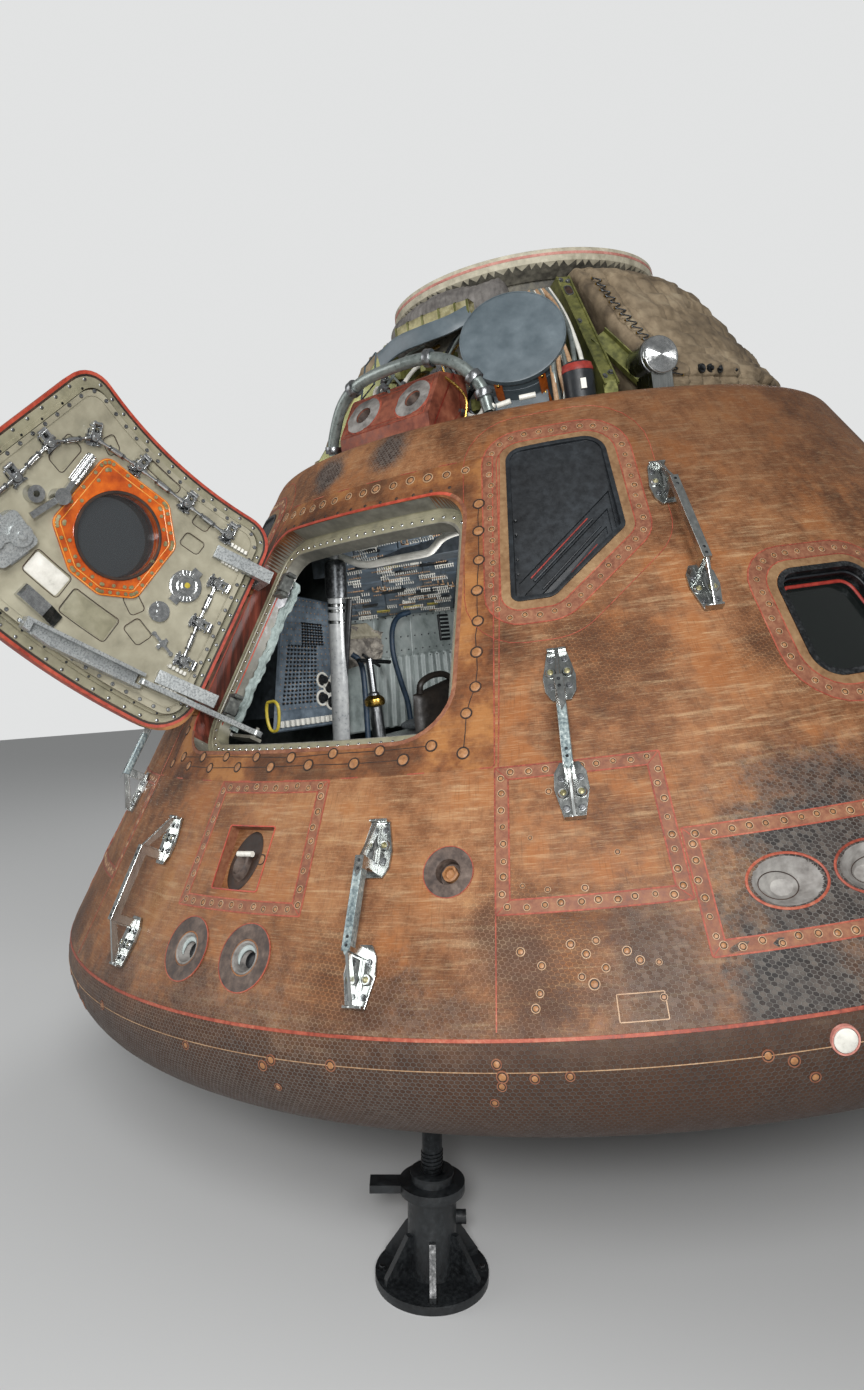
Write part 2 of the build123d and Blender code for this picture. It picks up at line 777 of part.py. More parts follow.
def stay_channel():
    """Two rails on the hatch's inner face with a foot at each end."""
    plane = hinge_plane(STAY_ALONG)
    run_x = CHANNEL_FAR[0] - CHANNEL_NEAR[0]
    run_y = CHANNEL_FAR[1] - CHANNEL_NEAR[1]
    length = math.hypot(run_x, run_y)
    along = plane * Pos(*CHANNEL_NEAR, 0) * Rot(0, 0, math.degrees(math.atan2(run_y, run_x)))
    gap = STAY_HALF + SWING_GAP
    body = along * Pos(length + 6, -20, 0) * Box(20, 66, 2 * gap + 20)
    for side in (-1, 1):
        body += along * Pos(length / 2, -12, side * (gap + 5)) * Box(length + 20, 50, 10)
    body += along * Pos(length / 2, -28, 0) * Box(length, 14, 2 * gap + 20)
    body -= slab(0, PLATE_DEPTH + FIT, 400, 1400)
    return body & hatch_patch(-LEDGE_WIDTH - SWING_GAP)


# Windows and wall panels


WINDOW_BORDER = 8.0
WINDOW_INSET = 8.0
WINDOW_LEDGE = 24.0
LEDGE_TOP = 56.0
PANE_THICKNESS = 12.0


def side_window_frame(side):
    """Deep tube through both walls with a ledge that carries the pane."""
    collar = slab(-2, SHIELD_WALL, 500, 1100) & side_window_patch(side, WINDOW_BORDER - FIT)
    throat = slab(SHIELD_WALL, SHIELD_WALL + CABIN_WALL, 500, 1100) & side_window_patch(side, -FIT)
    frame = collar + throat
    frame -= slab(-40, LEDGE_TOP, 500, 1100) & side_window_patch(side, -WINDOW_INSET)
    return frame - side_window_patch(side, -WINDOW_LEDGE)


def side_window_pane(side):
    layer = slab(LEDGE_TOP - PANE_THICKNESS, LEDGE_TOP - FIT, 500, 1100)
    return layer & side_window_patch(side, -WINDOW_INSET - FIT)


POCKET_RIM = 12.0
POCKET_TOP_DEPTH = 5.0
POCKET_FOOT_DEPTH = 58.0
POCKET_STEP = 8.0
POCKET_STEPS = [
    # inset of the side, width of the band along the slanting foot
    (8.0, 118.0),
    (20.0, 88.0),
    (32.0, 58.0),
]


def pocket_plane():
    """Back wall of the right-hand pocket, shallow at the top and deep at the foot."""
    phi = (HOOD_CORNERS[0][0] + HOOD_CORNERS[1][0]) / 2
    top = cone_plane(phi, HOOD_CORNERS[1][1] - POCKET_RIM, POCKET_TOP_DEPTH).origin
    foot = cone_plane(phi, HOOD_CORNERS[3][1] + POCKET_RIM, POCKET_FOOT_DEPTH).origin
    return Plane(origin=foot, x_dir=across(phi), z_dir=across(phi).cross(top - foot))


def foot_band(width, depth):
    """Block along the pocket's slanting foot, reaching a depth under its back wall."""
    plane = pocket_plane()
    ends = []
    for phi, z, radius in (HOOD_CORNERS[3], HOOD_CORNERS[2]):
        spot = plane.to_local_coords(level_point(phi, cone_radius(z), z))
        ends.append((spot.X, spot.Y))
    run_x = ends[1][0] - ends[0][0]
    run_y = ends[1][1] - ends[0][1]
    lay = plane * Pos(*ends[0], -depth) * Rot(0, 0, math.degrees(math.atan2(run_y, run_x)))
    return lay * Pos(0, width - 200, 200) * Box(1200, 400, 400)


def window_hood(side):
    """Black pocket of the forward-looking window, stepped round the pane at its foot."""
    back = SHIELD_WALL + CABIN_WALL
    body = slab(-4, back, 800, 1450) & corner_patch(HOOD_CORNERS)
    front = pocket_plane() * Pos(0, 200, 200) * Box(900, 1200, 400)
    body -= corner_patch(HOOD_CORNERS, -POCKET_RIM) & front
    depth = 0
    for inset, width in POCKET_STEPS:
        depth += POCKET_STEP
        body -= corner_patch(HOOD_CORNERS, -POCKET_RIM - inset) & foot_band(width, depth)
    return body if side > 0 else mirror(body, Plane.YZ)


def wall_panel(outline, low, high):
    return slab(0, SHIELD_WALL, low, high) & outline


def vent_panel():
    body = wall_panel(vent_patch(), 200, 650)
    recess = patch(0, 324, 462, 85, 85, 6)
    return body - (slab(-10, 30, 200, 650) & recess)


ROLL_NOZZLES = [
    # name, offset round the cone, z, half length, half width
    ("fore", -95.0, 290.0, 82.0, 55.0),
    ("aft", 95.0, 290.0, 82.0, 55.0),
]


def nozzle_spot(side, across_by, z):
    phi = side * 45.2 + math.degrees(across_by / cone_radius(z))
    return cone_plane(phi, z)


def roll_panel(side):
    """Panel with its two scarfed nozzle cups."""
    body = wall_panel(roll_patch(side), 100, 500) - access_patch(side, 2 * FIT)
    for name, by, z, half_long, half_wide in ROLL_NOZZLES:
        plane = nozzle_spot(side, by, z)
        mouth = plane * Pos(0, 0, 4) * Ellipse(half_long, half_wide)
        throat = plane * Pos(0, 0, -44) * Ellipse(24, 18)
        body -= loft([mouth, throat])
    return body


def low_nozzle(phi, z):
    """Cavity of one low engine."""
    plane = cone_plane(phi, z)
    mouth = plane * Pos(0, 0, 3) * Circle(LOW_ENGINE_BORE + 8)
    throat = plane * Pos(0, 0, -44) * Circle(LOW_ENGINE_BORE - 14)
    return loft([mouth, throat])


RAILS = [
    # name, phi, low z, high z
    ("front_right", 29.0, 444.0, 803.0),
    ("front_left", -29.0, 444.0, 803.0),
    ("side_right", 44.5, 853.0, 1254.0),
    ("side_left", -44.5, 853.0, 1254.0),
    ("low_right", 13.7, 117.0, 468.0),
    ("low_left", -12.0, 117.0, 468.0),
]
RAIL_STANDOFF = 70.0
RAIL_BAR = 22.0


FOOT_LENGTH = 105.0
FOOT_PLATE = 8.0
FOOT_OUTLINE = [
    # along from the bar's end, half width
    (-30.0, 22.0),
    (-6.0, 36.0),
    (34.0, 39.0),
    (FOOT_LENGTH, 23.0),
]


def rail_foot():
    """Leg, open web and flared plate, along +Y from the bar's end."""
    leg_height = RAIL_STANDOFF + RAIL_BAR / 2 - FOOT_PLATE
    foot = Pos(0, -RAIL_BAR / 2, FOOT_PLATE + leg_height / 2) * Box(RAIL_BAR, RAIL_BAR, leg_height)
    top = RAIL_STANDOFF + RAIL_BAR / 2 - 2
    low = FOOT_PLATE
    web = make_face(Polyline((-4, low), (-4, top), (FOOT_LENGTH, 24), (FOOT_LENGTH, low), close=True))
    window = make_face(Polyline((5, 19), (5, top - 22), (FOOT_LENGTH - 34, 19), close=True))
    foot += extrude(Plane.YZ * web, amount=4, both=True)
    foot -= extrude(Plane.YZ * window, amount=20, both=True)
    right = [(half, along) for along, half in FOOT_OUTLINE]
    left = [(-half, along) for along, half in reversed(FOOT_OUTLINE)]
    plate = make_face(Polyline(*right, *left, close=True))
    foot += Pos(0, 0, FIT) * extrude(plate, amount=FOOT_PLATE)
    return foot + Pos(0, FOOT_LENGTH - 3, FOOT_PLATE + 8) * Box(46, 6, 16)


def handrail(phi, low, high):
    """Square bar standing on a foot at each end."""
    plane = cone_plane(phi, (low + high) / 2)
    half = (high - low) / COS_C / 2 - FOOT_LENGTH
    rail = plane * Pos(0, 0, RAIL_STANDOFF) * Box(RAIL_BAR, 2 * half, RAIL_BAR)
    for turn in (0, 180):
        rail += plane * Rot(0, 0, turn) * Pos(0, half, 0) * rail_foot()
    return rail


# Forward compartment


GUSSETS = [
    # name, phi
    ("front_right", 45.0),
    ("rear_right", 135.0),
    ("rear_left", -135.0),
    ("front_left", -45.0),
]
GUSSET_HALF = 22.0


def gusset(phi):
    """Sloping beam from the deck's edge up to the tunnel."""
    plane = Plane(origin=(0, 0, 0), x_dir=level_point(phi, 1, 0), z_dir=across(phi) * -1)
    inner = TUNNEL_OUTER + FIT
    corners = [
        (inner, DECK_TOP + FIT),
        (inner + 460, DECK_TOP + FIT),
        (inner + 460, DECK_TOP + 60),
        (inner + 130, RING_Z - 40),
        (inner, RING_Z - 40),
    ]
    beam = extrude(plane * make_face(Polyline(*corners, close=True)), amount=GUSSET_HALF, both=True)
    holes = [
        (inner + 60, DECK_TOP + 70),
        (inner + 280, DECK_TOP + 60),
        (inner + 90, DECK_TOP + 310),
    ]
    window = plane * make_face(Polyline(*holes, close=True))
    return beam - extrude(window, amount=GUSSET_HALF * 2, both=True)


PACKS = [
    # name, middle phi, half angle
    ("right", 90.0, 41.0),
    ("rear", 180.0, 41.0),
    ("left", -90.0, 41.0),
]
PACK_INSET = 62.0
PACK_TOP = 2045.0


def chute_pack(phi, half_angle):
    """Padded pack filling one bay between the tunnel and the cone's line."""
    low = DECK_TOP + FIT
    inner = TUNNEL_OUTER + 12
    knee = low + 90
    face = make_face(
        Polyline(
            (inner, 0, low),
            (cone_radius(knee, PACK_INSET) - 12, 0, low),
            (cone_radius(knee, PACK_INSET), 0, knee),
            (cone_radius(PACK_TOP - 60, PACK_INSET), 0, PACK_TOP - 60),
            (cone_radius(PACK_TOP, PACK_INSET) - 50, 0, PACK_TOP),
            (inner, 0, PACK_TOP),
            close=True,
        )
    )
    body = revolve(face, Axis.Z, 2 * half_angle).rotate(Axis.Z, phi - 90 - half_angle)
    niche = level_plane(PILOT_PHI, PILOT_AWAY, PILOT_Z)
    body -= niche * Pos(0, 0, -10) * Cylinder(PILOT_RADIUS + 6, 210)
    body -= niche * Pos(0, -60, -10) * Box(90, 120, 210)
    return body


HOUSING_LOW_PHI = -13.0
HOUSING_HIGH_PHI = 10.0
PITCH_ENGINES = [
    # name, phi
    ("left", -8.3),
    ("right", 4.9),
]
PITCH_Z = 1622.0


def pitch_housing():
    """Box on the deck's front edge with two nozzle cups."""
    phi = (HOUSING_LOW_PHI + HOUSING_HIGH_PHI) / 2
    plane = level_plane(phi, 790, DECK_TOP + FIT)
    body = plane * Pos(0, 95, 30) * Box(380, 190, 220)
    cut = plane * Pos(0, 190, 140) * Rot(33, 0, 0) * Box(420, 400, 60)
    body -= cut
    for name, angle in PITCH_ENGINES:
        spot = pitch_plane(angle)
        mouth = spot * Pos(0, 0, 14) * Circle(42)
        throat = spot * Pos(0, 0, -60) * Circle(14)
        body -= loft([mouth, throat])
    return body


def pitch_plane(phi):
    middle = (HOUSING_LOW_PHI + HOUSING_HIGH_PHI) / 2
    plane = level_plane(middle, 790, DECK_TOP + FIT)
    by = math.radians(phi - middle) * 930
    return plane * Pos(by, 105, 118) * Rot(-33, 0, 0)


MORTAR_PHI = 27.0
MORTAR_RADIUS = 165.0


def drogue_mortar():
    """Upright can leaning outward, cut to stand on the deck."""
    plane = level_plane(MORTAR_PHI, 800, 1770) * Rot(-21, 0, 0)
    can = plane * Pos(0, 0, -130) * Cylinder(MORTAR_RADIUS - 8, 260)
    can += plane * Pos(0, 0, -8) * Cylinder(MORTAR_RADIUS, 16)
    stand = level_plane(MORTAR_PHI, 690, DECK_TOP + FIT)
    can += stand * Pos(0, 90, 0) * Box(170, 180, 120)
    keep = Pos(0, 0, 2000) * Box(4000, 4000, 2 * (2000 - DECK_TOP - FIT))
    tunnel = Pos(0, 0, 1800) * Cylinder(TUNNEL_OUTER + 1, 2000)
    return (can & keep) - tunnel


def uprighting_bag():
    low = RING_Z - 150
    inner = TUNNEL_OUTER + 1.0
    high = RING_Z - 6
    outline = Polyline(
        (inner, 0, low),
        (inner + 95, 0, low),
        (inner + 110, 0, low + 50),
        (inner + 70, 0, high),
        (inner, 0, high),
        close=True,
    )
    return revolve(make_face(outline), Axis.Z, 62).rotate(Axis.Z, -90 - 36)


PILOT_PHI = 54.5
PILOT_AWAY = 935.0
PILOT_Z = 1622.0
PILOT_RADIUS = 57.0


def pilot_mortar():
    """Short can with a flat lid beside the right-hand pack."""
    plane = level_plane(PILOT_PHI, PILOT_AWAY, PILOT_Z)
    can = plane * Pos(0, 0, -55) * Cylinder(PILOT_RADIUS, 110)
    stand_height = PILOT_Z - DECK_TOP - FIT
    can += plane * Pos(0, -stand_height / 2, -55) * Box(70, stand_height, 90)
    return can


# Cabin fittings


def cabin_room():
    """The cabin's free space, a hair smaller all round."""
    inner = SHIELD_WALL + CABIN_WALL + 2 * FIT
    low = FLOOR_Z + FIT
    top = ROOF_Z - FIT
    return ring_profile([(0, low), (cone_radius(low, inner), low), (cone_radius(top, inner), top), (0, top)])


FITTINGS = [
    # name, centre x, y, z, length, width, height
    ("main_console", 60.0, -500.0, 1290.0, 1500.0, 300.0, 260.0),
    ("left_console", -1090.0, -100.0, 850.0, 420.0, 1200.0, 420.0),
    ("right_lockers", 1120.0, -50.0, 600.0, 420.0, 1500.0, 960.0),
    ("rear_lockers", 0.0, 1150.0, 560.0, 1500.0, 480.0, 880.0),
]

STRUT_FOOT = (-495.0, -880.0)
STRUT_HEAD = (-320.0, -880.0)
STRUT_RADIUS = 30.0
STRUT_ROD_RADIUS = 15.0
STRUT_COLLAR_Z = 1135.0


def fitting(x, y, z, length, width, height):
    return (Pos(x, y, z) * Box(length, width, height)) & cabin_room()


def strut_post():
    """Couch strut: a tube with a collar near its head and a thinner rod out of it."""
    foot = Vector(*STRUT_FOOT, FLOOR_Z)
    head = Vector(*STRUT_HEAD, ROOF_Z)
    collar = foot + (head - foot) * ((STRUT_COLLAR_Z - FLOOR_Z) / (ROOF_Z - FLOOR_Z))
    plane = Plane(origin=collar, z_dir=head - foot)
    strut = rod_between(foot - (head - foot) * 0.1, collar, STRUT_RADIUS)
    strut += rod_between(collar, head + (head - foot) * 0.1, STRUT_ROD_RADIUS)
    strut += plane * Pos(0, 0, -20) * Cylinder(STRUT_RADIUS + 6, 110)
    return strut & cabin_room()


def couch():
    """Three-place couch on its legs."""
    seat = Pos(0, 200, 470) * Box(1500, 1250, 60)
    for x in (-500, 0, 500):
        seat += Pos(x, 250, 525) * Box(440, 1050, 50)
    for x in (-600, 600):
        for y in (-250, 650):
            seat += Pos(x, y, (FLOOR_Z + FIT + 440) / 2) * Cylinder(25, 440 - FLOOR_Z - FIT)
    return seat


# Screw jacks, upright in the part's frame

JACKS = [
    # name, azimuth, top of column
    ("front", 12.4, 250.0),
    ("right", 132.4, 520.0),
    ("left", 252.4, 250.0),
]
JACK_TURN = 39.0
JACK_BOLT_INSET = 18.0
JACK_RIBS = 6


def jack_spot(azimuth):
    spot = level_point(azimuth, JACK_RADIUS, 0)
    return Pos(SHIFT_X + spot.X, SHIFT_Y + spot.Y, 0)


def jack_base(azimuth, top):
    """Round foot, tall ribs, column, and a collar plate with its tongue."""
    body = Pos(0, 0, JACK_BASE_HEIGHT / 2) * Cylinder(JACK_BASE_RADIUS, JACK_BASE_HEIGHT)
    body += Pos(0, 0, top / 2) * Cylinder(JACK_COLUMN_RADIUS, top)
    inner = JACK_COLUMN_RADIUS - 4
    outer = JACK_BASE_RADIUS - 10
    low = JACK_BASE_HEIGHT - 1
    high = JACK_RIB_HEIGHT
    corners = [(inner, low), (outer, low), (outer, low + 16), (inner + 16, high), (inner, high)]
    rib = extrude(Plane.XZ * make_face(Polyline(*corners, close=True)), amount=8, both=True)
    for step in range(JACK_RIBS):
        body += Rot(0, 0, 30 + 360 / JACK_RIBS * step) * rib
    collar = top - JACK_COLLAR_HEIGHT / 2
    body += Pos(0, 0, collar) * Cylinder(JACK_COLLAR_RADIUS, JACK_COLLAR_HEIGHT)
    body += Pos(-JACK_COLLAR_RADIUS - 30, 0, collar) * Box(90, 52, JACK_COLLAR_HEIGHT - 4)
    body += Pos(JACK_COLUMN_RADIUS + 8, 0, top - 95) * Rot(0, 90, 0) * Cylinder(17, 34)
    body += Pos(0, 0, top + 9) * Cylinder(JACK_SCREW_RADIUS + 26, 18)
    body -= Pos(0, 0, top - 80) * Cylinder(JACK_SCREW_RADIUS + FIT, 220)
    for step in range(4):
        body -= Rot(0, 0, 90 * step) * Pos(JACK_BASE_RADIUS - JACK_BOLT_INSET, 0, 0) * Cylinder(7, 80)
    return jack_spot(azimuth) * Rot(0, 0, JACK_TURN) * body


def jack_screw(azimuth, top):
    """Screw and round pad, its top shaped to the bowl."""
    low = top - 150
    height = contact_height(azimuth)
    body = Pos(0, 0, (low + 900) / 2) * Cylinder(JACK_SCREW_RADIUS, 900 - low)
    body += Pos(0, 0, height + 20) * Cylinder(JACK_PAD_RADIUS, 100)
    ball = place(Pos(0, 0, bowl_centre_z()) * Sphere(BOWL_RADIUS + FIT))
    return jack_spot(azimuth) * body - ball


def contact_height(azimuth):
    """Height of the bowl over the middle of a jack."""
    middle = place(Pos(0, 0, bowl_centre_z()) * Sphere(10)).center()
    spot = jack_spot(azimuth).position
    away = math.hypot(spot.X - middle.X, spot.Y - middle.Y)
    return middle.Z - math.sqrt(BOWL_RADIUS * BOWL_RADIUS - away * away)


def build():
    """Every node in the part's frame."""
    nodes = {}
    nodes["aft_heat_shield"] = aft_heat_shield()
    nodes["crew_heat_shield"] = crew_heat_shield()
    nodes["cabin_shell"] = cabin_shell()
    nodes["cabin_floor"] = cabin_floor()
    nodes["forward_deck"] = forward_deck()
    nodes["docking_tunnel"] = docking_tunnel()
    nodes["tunnel_ring"] = tunnel_ring()
    nodes["hatch_frame"] = hatch_frame()
    nodes["vent_panel"] = vent_panel()
    for word, side in (("right", 1), ("left", -1)):
        nodes["side_window_frame_" + word] = side_window_frame(side)
        nodes["side_window_pane_" + word] = side_window_pane(side)
        nodes["window_hood_" + word] = window_hood(side)
        nodes["access_panel_" + word] = wall_panel(access_patch(side), 200, 650)
        nodes["roll_panel_" + word] = roll_panel(side)
    for name, phi, low, high in RAILS:
        nodes["handrail_" + name] = handrail(phi, low, high)
    for name, phi in GUSSETS:
        nodes["gusset_" + name] = gusset(phi)
    for name, phi, half_angle in PACKS:
        nodes["chute_pack_" + name] = chute_pack(phi, half_angle)
    nodes["pitch_housing"] = pitch_housing()
    nodes["drogue_mortar"] = drogue_mortar()
    nodes["pilot_mortar"] = pilot_mortar()
    nodes["uprighting_bag"] = uprighting_bag()
    for name, x, y, z, length, width, height in FITTINGS:
        nodes[name] = fitting(x, y, z, length, width, height)
    nodes["strut_post"] = strut_post()
    nodes["couch"] = couch()
    nodes["hinge_arm_upper"] = swing(hinge_arm(HINGE_PLACES[0]))
    nodes["hinge_arm_lower"] = swing(hinge_arm(HINGE_PLACES[1]))
    nodes["hatch_skin"] = swing(hatch_skin())
    nodes["hatch_plate"] = swing(hatch_plate())
    nodes["hatch_window_ring"] = swing(hatch_window_ring())
    nodes["hatch_pane"] = swing(hatch_pane())
    nodes["hatch_gearbox"] = swing(hatch_gearbox())
    nodes["stay_channel"] = swing(stay_channel())
    nodes["latches"] = swing(latches())
    nodes["latch_links"] = swing(latch_links())
    nodes["hatch_fittings"] = swing(hatch_fittings())
    nodes["stay_link"] = stay_link()
    placed = {name: place(shape) for name, shape in nodes.items()}
    for name, azimuth, top in JACKS:
        placed["jack_base_" + name] = jack_base(azimuth, top)
        placed["jack_screw_" + name] = jack_screw(azimuth, top)
    return placed


SHARED = {"latches", "latch_links", "hatch_fittings"}

os.makedirs("parts", exist_ok=True)
for name, shape in build().items():
    solids = shape.solids()
    if name in SHARED:
        export_step(Compound(children=list(solids)), "parts/" + name + ".step")
        continue
    if len(solids) != 1:
        print(name, "has", len(solids), "solids")
    export_step(solids[0], "parts/" + name + ".step")
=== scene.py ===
import math
import bmesh
import bpy
import numpy as np
from mathutils import Matrix, Vector


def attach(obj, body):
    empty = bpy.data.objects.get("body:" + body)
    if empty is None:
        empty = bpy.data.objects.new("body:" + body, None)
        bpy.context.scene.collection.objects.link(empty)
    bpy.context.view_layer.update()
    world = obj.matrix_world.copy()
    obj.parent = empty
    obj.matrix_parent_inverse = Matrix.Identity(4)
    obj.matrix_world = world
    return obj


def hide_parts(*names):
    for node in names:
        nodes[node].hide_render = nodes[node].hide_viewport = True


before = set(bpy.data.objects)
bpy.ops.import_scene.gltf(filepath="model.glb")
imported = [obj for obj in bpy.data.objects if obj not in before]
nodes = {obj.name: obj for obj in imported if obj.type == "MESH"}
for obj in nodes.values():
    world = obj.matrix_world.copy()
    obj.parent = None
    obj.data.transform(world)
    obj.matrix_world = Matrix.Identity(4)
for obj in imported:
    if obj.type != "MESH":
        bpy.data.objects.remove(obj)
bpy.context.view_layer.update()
scene = bpy.context.scene

# The capsule's own axes: origin on the widest circle, z up its axis, phi from the hatch towards +x
capsule = {
    "lean": math.radians(7.72),        # tilt of the axis on its jacks
    "leanAzimuth": math.radians(-47.0),
    "shift": (0.0, 0.18, 0.852),      # widest circle's middle, in the frame
    "apexZ": 3.0696,                   # where the cone would close
    "coneAngle": math.radians(33.0),
    "maxRadius": 1.9558,
    "cornerRadius": 0.19558,
    "jointZ": 0.07,                   # heat shields' joint
    "ringZ": 2.05,
}
hatch = {
    "low": 0.648,                      # outline of the outer skin
    "high": 1.265,
    "corner": 0.11,
    "face": 0.096,                     # depth of the inner face
    "hingePhi": -19.52,
    "hingeZ": 0.95,
    "hingeStandoff": 0.016,
    "open": math.radians(98.2),
    "windowX": 0.013,
    "windowZ": 1.001,
}
sinCone = math.sin(capsule["coneAngle"])
cosCone = math.cos(capsule["coneAngle"])
tanCone = math.tan(capsule["coneAngle"])
shift = np.array(capsule["shift"])


# Turn about a line through the origin: Rodrigues' formula, I + sin a K + (1 - cos a) K K
def turnMatrix(axis, angle):
    x, y, z = np.array(axis, float) / np.linalg.norm(axis)
    cross = np.array([[0, -z, y], [z, 0, -x], [-y, x, 0]])
    return np.eye(3) + math.sin(angle) * cross + (1 - math.cos(angle)) * cross @ cross


leanTurn = turnMatrix((math.cos(capsule["leanAzimuth"]), math.sin(capsule["leanAzimuth"]), 0),
    capsule["lean"])


def asIs(points):
    return points


def toFrame(points):  # capsule axes to frame: lean, then shift
    return np.asarray(points, float) @ leanTurn.T + shift


def coneRadius(z):
    return (capsule["apexZ"] - np.asarray(z, float)) * tanCone


# Unit directions on the cone at phi: across it, up its slope, out of it
def coneAxes(phi):
    a = np.radians(np.asarray(phi, float))
    s, c, o = np.sin(a), np.cos(a), np.zeros_like(a)
    across = np.stack([c, s, o], axis=-1)
    upslope = np.stack([-sinCone * s, sinCone * c, o + cosCone], axis=-1)
    outward = np.stack([cosCone * s, -cosCone * c, o + sinCone], axis=-1)
    return np.stack([across, upslope, outward], axis=-2)


def levelPoint(phi, radius, z):  # place at an azimuth, away from the axis, at a height
    a = np.radians(np.asarray(phi, float))
    parts = np.broadcast_arrays(np.asarray(radius) * np.sin(a), -np.asarray(radius) * np.cos(a),
        np.asarray(z, float))
    return np.stack(parts, axis=-1)


def conePoint(phi, z, lift=0.0):  # on the cone, lifted along its outward direction
    lift = np.asarray(lift, float)
    return levelPoint(phi, coneRadius(z) + lift * cosCone, np.asarray(z, float) + lift * sinCone)


def levelAxes(phi):  # upright frames facing outward: across, up, out
    a = np.radians(np.atleast_1d(np.asarray(phi, float)))
    o = np.zeros_like(a)
    across = np.stack([np.cos(a), np.sin(a), o], axis=-1)
    up = np.stack([o, o, o + 1], axis=-1)
    out = np.stack([np.sin(a), -np.cos(a), o], axis=-1)
    return np.stack([across, up, out], axis=-2)


hingePoint = levelPoint(hatch["hingePhi"], coneRadius(hatch["hingeZ"]) + hatch["hingeStandoff"],
    hatch["hingeZ"])
hingeTurn = turnMatrix(coneAxes(hatch["hingePhi"])[1], -hatch["open"])


def toOpenHatch(points):  # shut hatch to open hatch, then to the frame
    return toFrame((np.asarray(points, float) - hingePoint) @ hingeTurn.T + hingePoint)


# Meshes

# Quads of a grid of points, wrapped round where asked
def gridFaces(rows, columns, wrapRows=False, wrapColumns=False):
    r = np.arange(rows if wrapRows else rows - 1)[:, None]
    c = np.arange(columns if wrapColumns else columns - 1)[None, :]
    below = (r + 1) % rows
    beside = (c + 1) % columns
    corners = np.broadcast_arrays(r * columns + c, r * columns + beside, below * columns + beside,
        below * columns + c)
    return np.stack(corners, axis=-1).reshape(-1, 4)


def addMesh(name, shape, material, place=toFrame, body="capsule", smooth=True):
    points, faces = shape
    mesh = bpy.data.meshes.new(name)
    mesh.from_pydata(place(np.asarray(points).reshape(-1, 3)).tolist(), [], np.asarray(faces).tolist())
    mesh.polygons.foreach_set("use_smooth", [smooth] * len(mesh.polygons))
    mesh.materials.append(material)
    mesh.update()
    piece = bpy.data.objects.new(name, mesh)
    scene.collection.objects.link(piece)
    if smooth:
        sharpen(piece)
    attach(piece, body)
    return piece


def sharpen(piece, degrees=38.0):  # edges bent by more than this stay sharp
    mesh = piece.data
    work = bmesh.new()
    work.from_mesh(mesh)
    bmesh.ops.recalc_face_normals(work, faces=work.faces)
    limit = math.radians(degrees)
    for edge in work.edges:
        edge.smooth = len(edge.link_faces) != 2 or edge.calc_face_angle(0.0) < limit
    work.to_mesh(mesh)
    work.free()


def roundEdges(piece, width, segments=2, degrees=30.0):
    edges = piece.modifiers.new("edges", "BEVEL")
    edges.width, edges.segments, edges.angle_limit = width, segments, math.radians(degrees)


def joined(*shapes):  # several shapes as one
    points, faces, count = [], [], 0
    for shapePoints, shapeFaces in shapes:
        shapePoints = np.asarray(shapePoints, float).reshape(-1, 3)
        points.append(shapePoints)
        faces.append(np.asarray(shapeFaces) + count)
        count += len(shapePoints)
    return np.concatenate(points), np.concatenate(faces)


def unit(vectors):
    return vectors / np.linalg.norm(vectors, axis=-1, keepdims=True)


def roundTurn(steps):  # angles of a whole turn
    return np.linspace(0, 2 * math.pi, steps, endpoint=False)


def patchCorners(left, right, low, high):  # anticlockwise from the low left
    return [(left, low), (right, low), (right, high), (left, high)]


def rectangle(halfWide, halfHigh):
    return patchCorners(-halfWide, halfWide, -halfHigh, halfHigh)


def atHeight(line, height):  # flat line of (x, y) raised
    return np.column_stack([line, np.full(len(line), height)])


# Profile of (radius, height) turned round z
def revolved(profile, sides=16):
    profile = np.array(profile, float)
    turn = roundTurn(sides)
    radius, height = np.maximum(profile[:, :1], 1e-5), profile[:, 1:]
    points = np.stack([radius * np.cos(turn), radius * np.sin(turn), height + 0 * turn], axis=-1)
    return points.reshape(-1, 3), gridFaces(len(profile), sides, wrapColumns=True)


def lathe(profile, sides=16):  # the same with its profile in millimetres
    return revolved(np.array(profile) / 1000, sides)


def block(x, y, z, middle=(0, 0, 0)):  # box of three sizes round its middle
    corners = np.array([(i, j, k) for i in (-0.5, 0.5) for j in (-0.5, 0.5) for k in (-0.5, 0.5)])
    faces = [(0, 1, 3, 2), (4, 6, 7, 5), (0, 4, 5, 1), (2, 3, 7, 6), (0, 2, 6, 4), (1, 5, 7, 3)]
    return corners * np.array((x, y, z)) + np.array(middle), np.array(faces)


# Copies of one shape, each in its own frame: origins (n, 3), axes as rows (n, 3, 3) or (3, 3),
# sizes (n, 3), (n,) or one number
def scatter(shape, origins, axes=np.eye(3), sizes=1.0):
    points, faces = shape
    origins = np.asarray(origins, float).reshape(-1, 3)
    count = len(origins)
    axes = np.broadcast_to(axes, (count, 3, 3))
    sizes = np.asarray(sizes, float)
    sizes = np.broadcast_to(sizes[:, None] if sizes.ndim == 1 else sizes, (count, 3))
    placed = np.einsum("npk,nkj->npj", points[None] * sizes[:, None, :], axes) + origins[:, None, :]
    offsets = np.arange(count)[:, None, None] * len(points)
    return placed.reshape(-1, 3), (faces[None] + offsets).reshape(-1, 4)


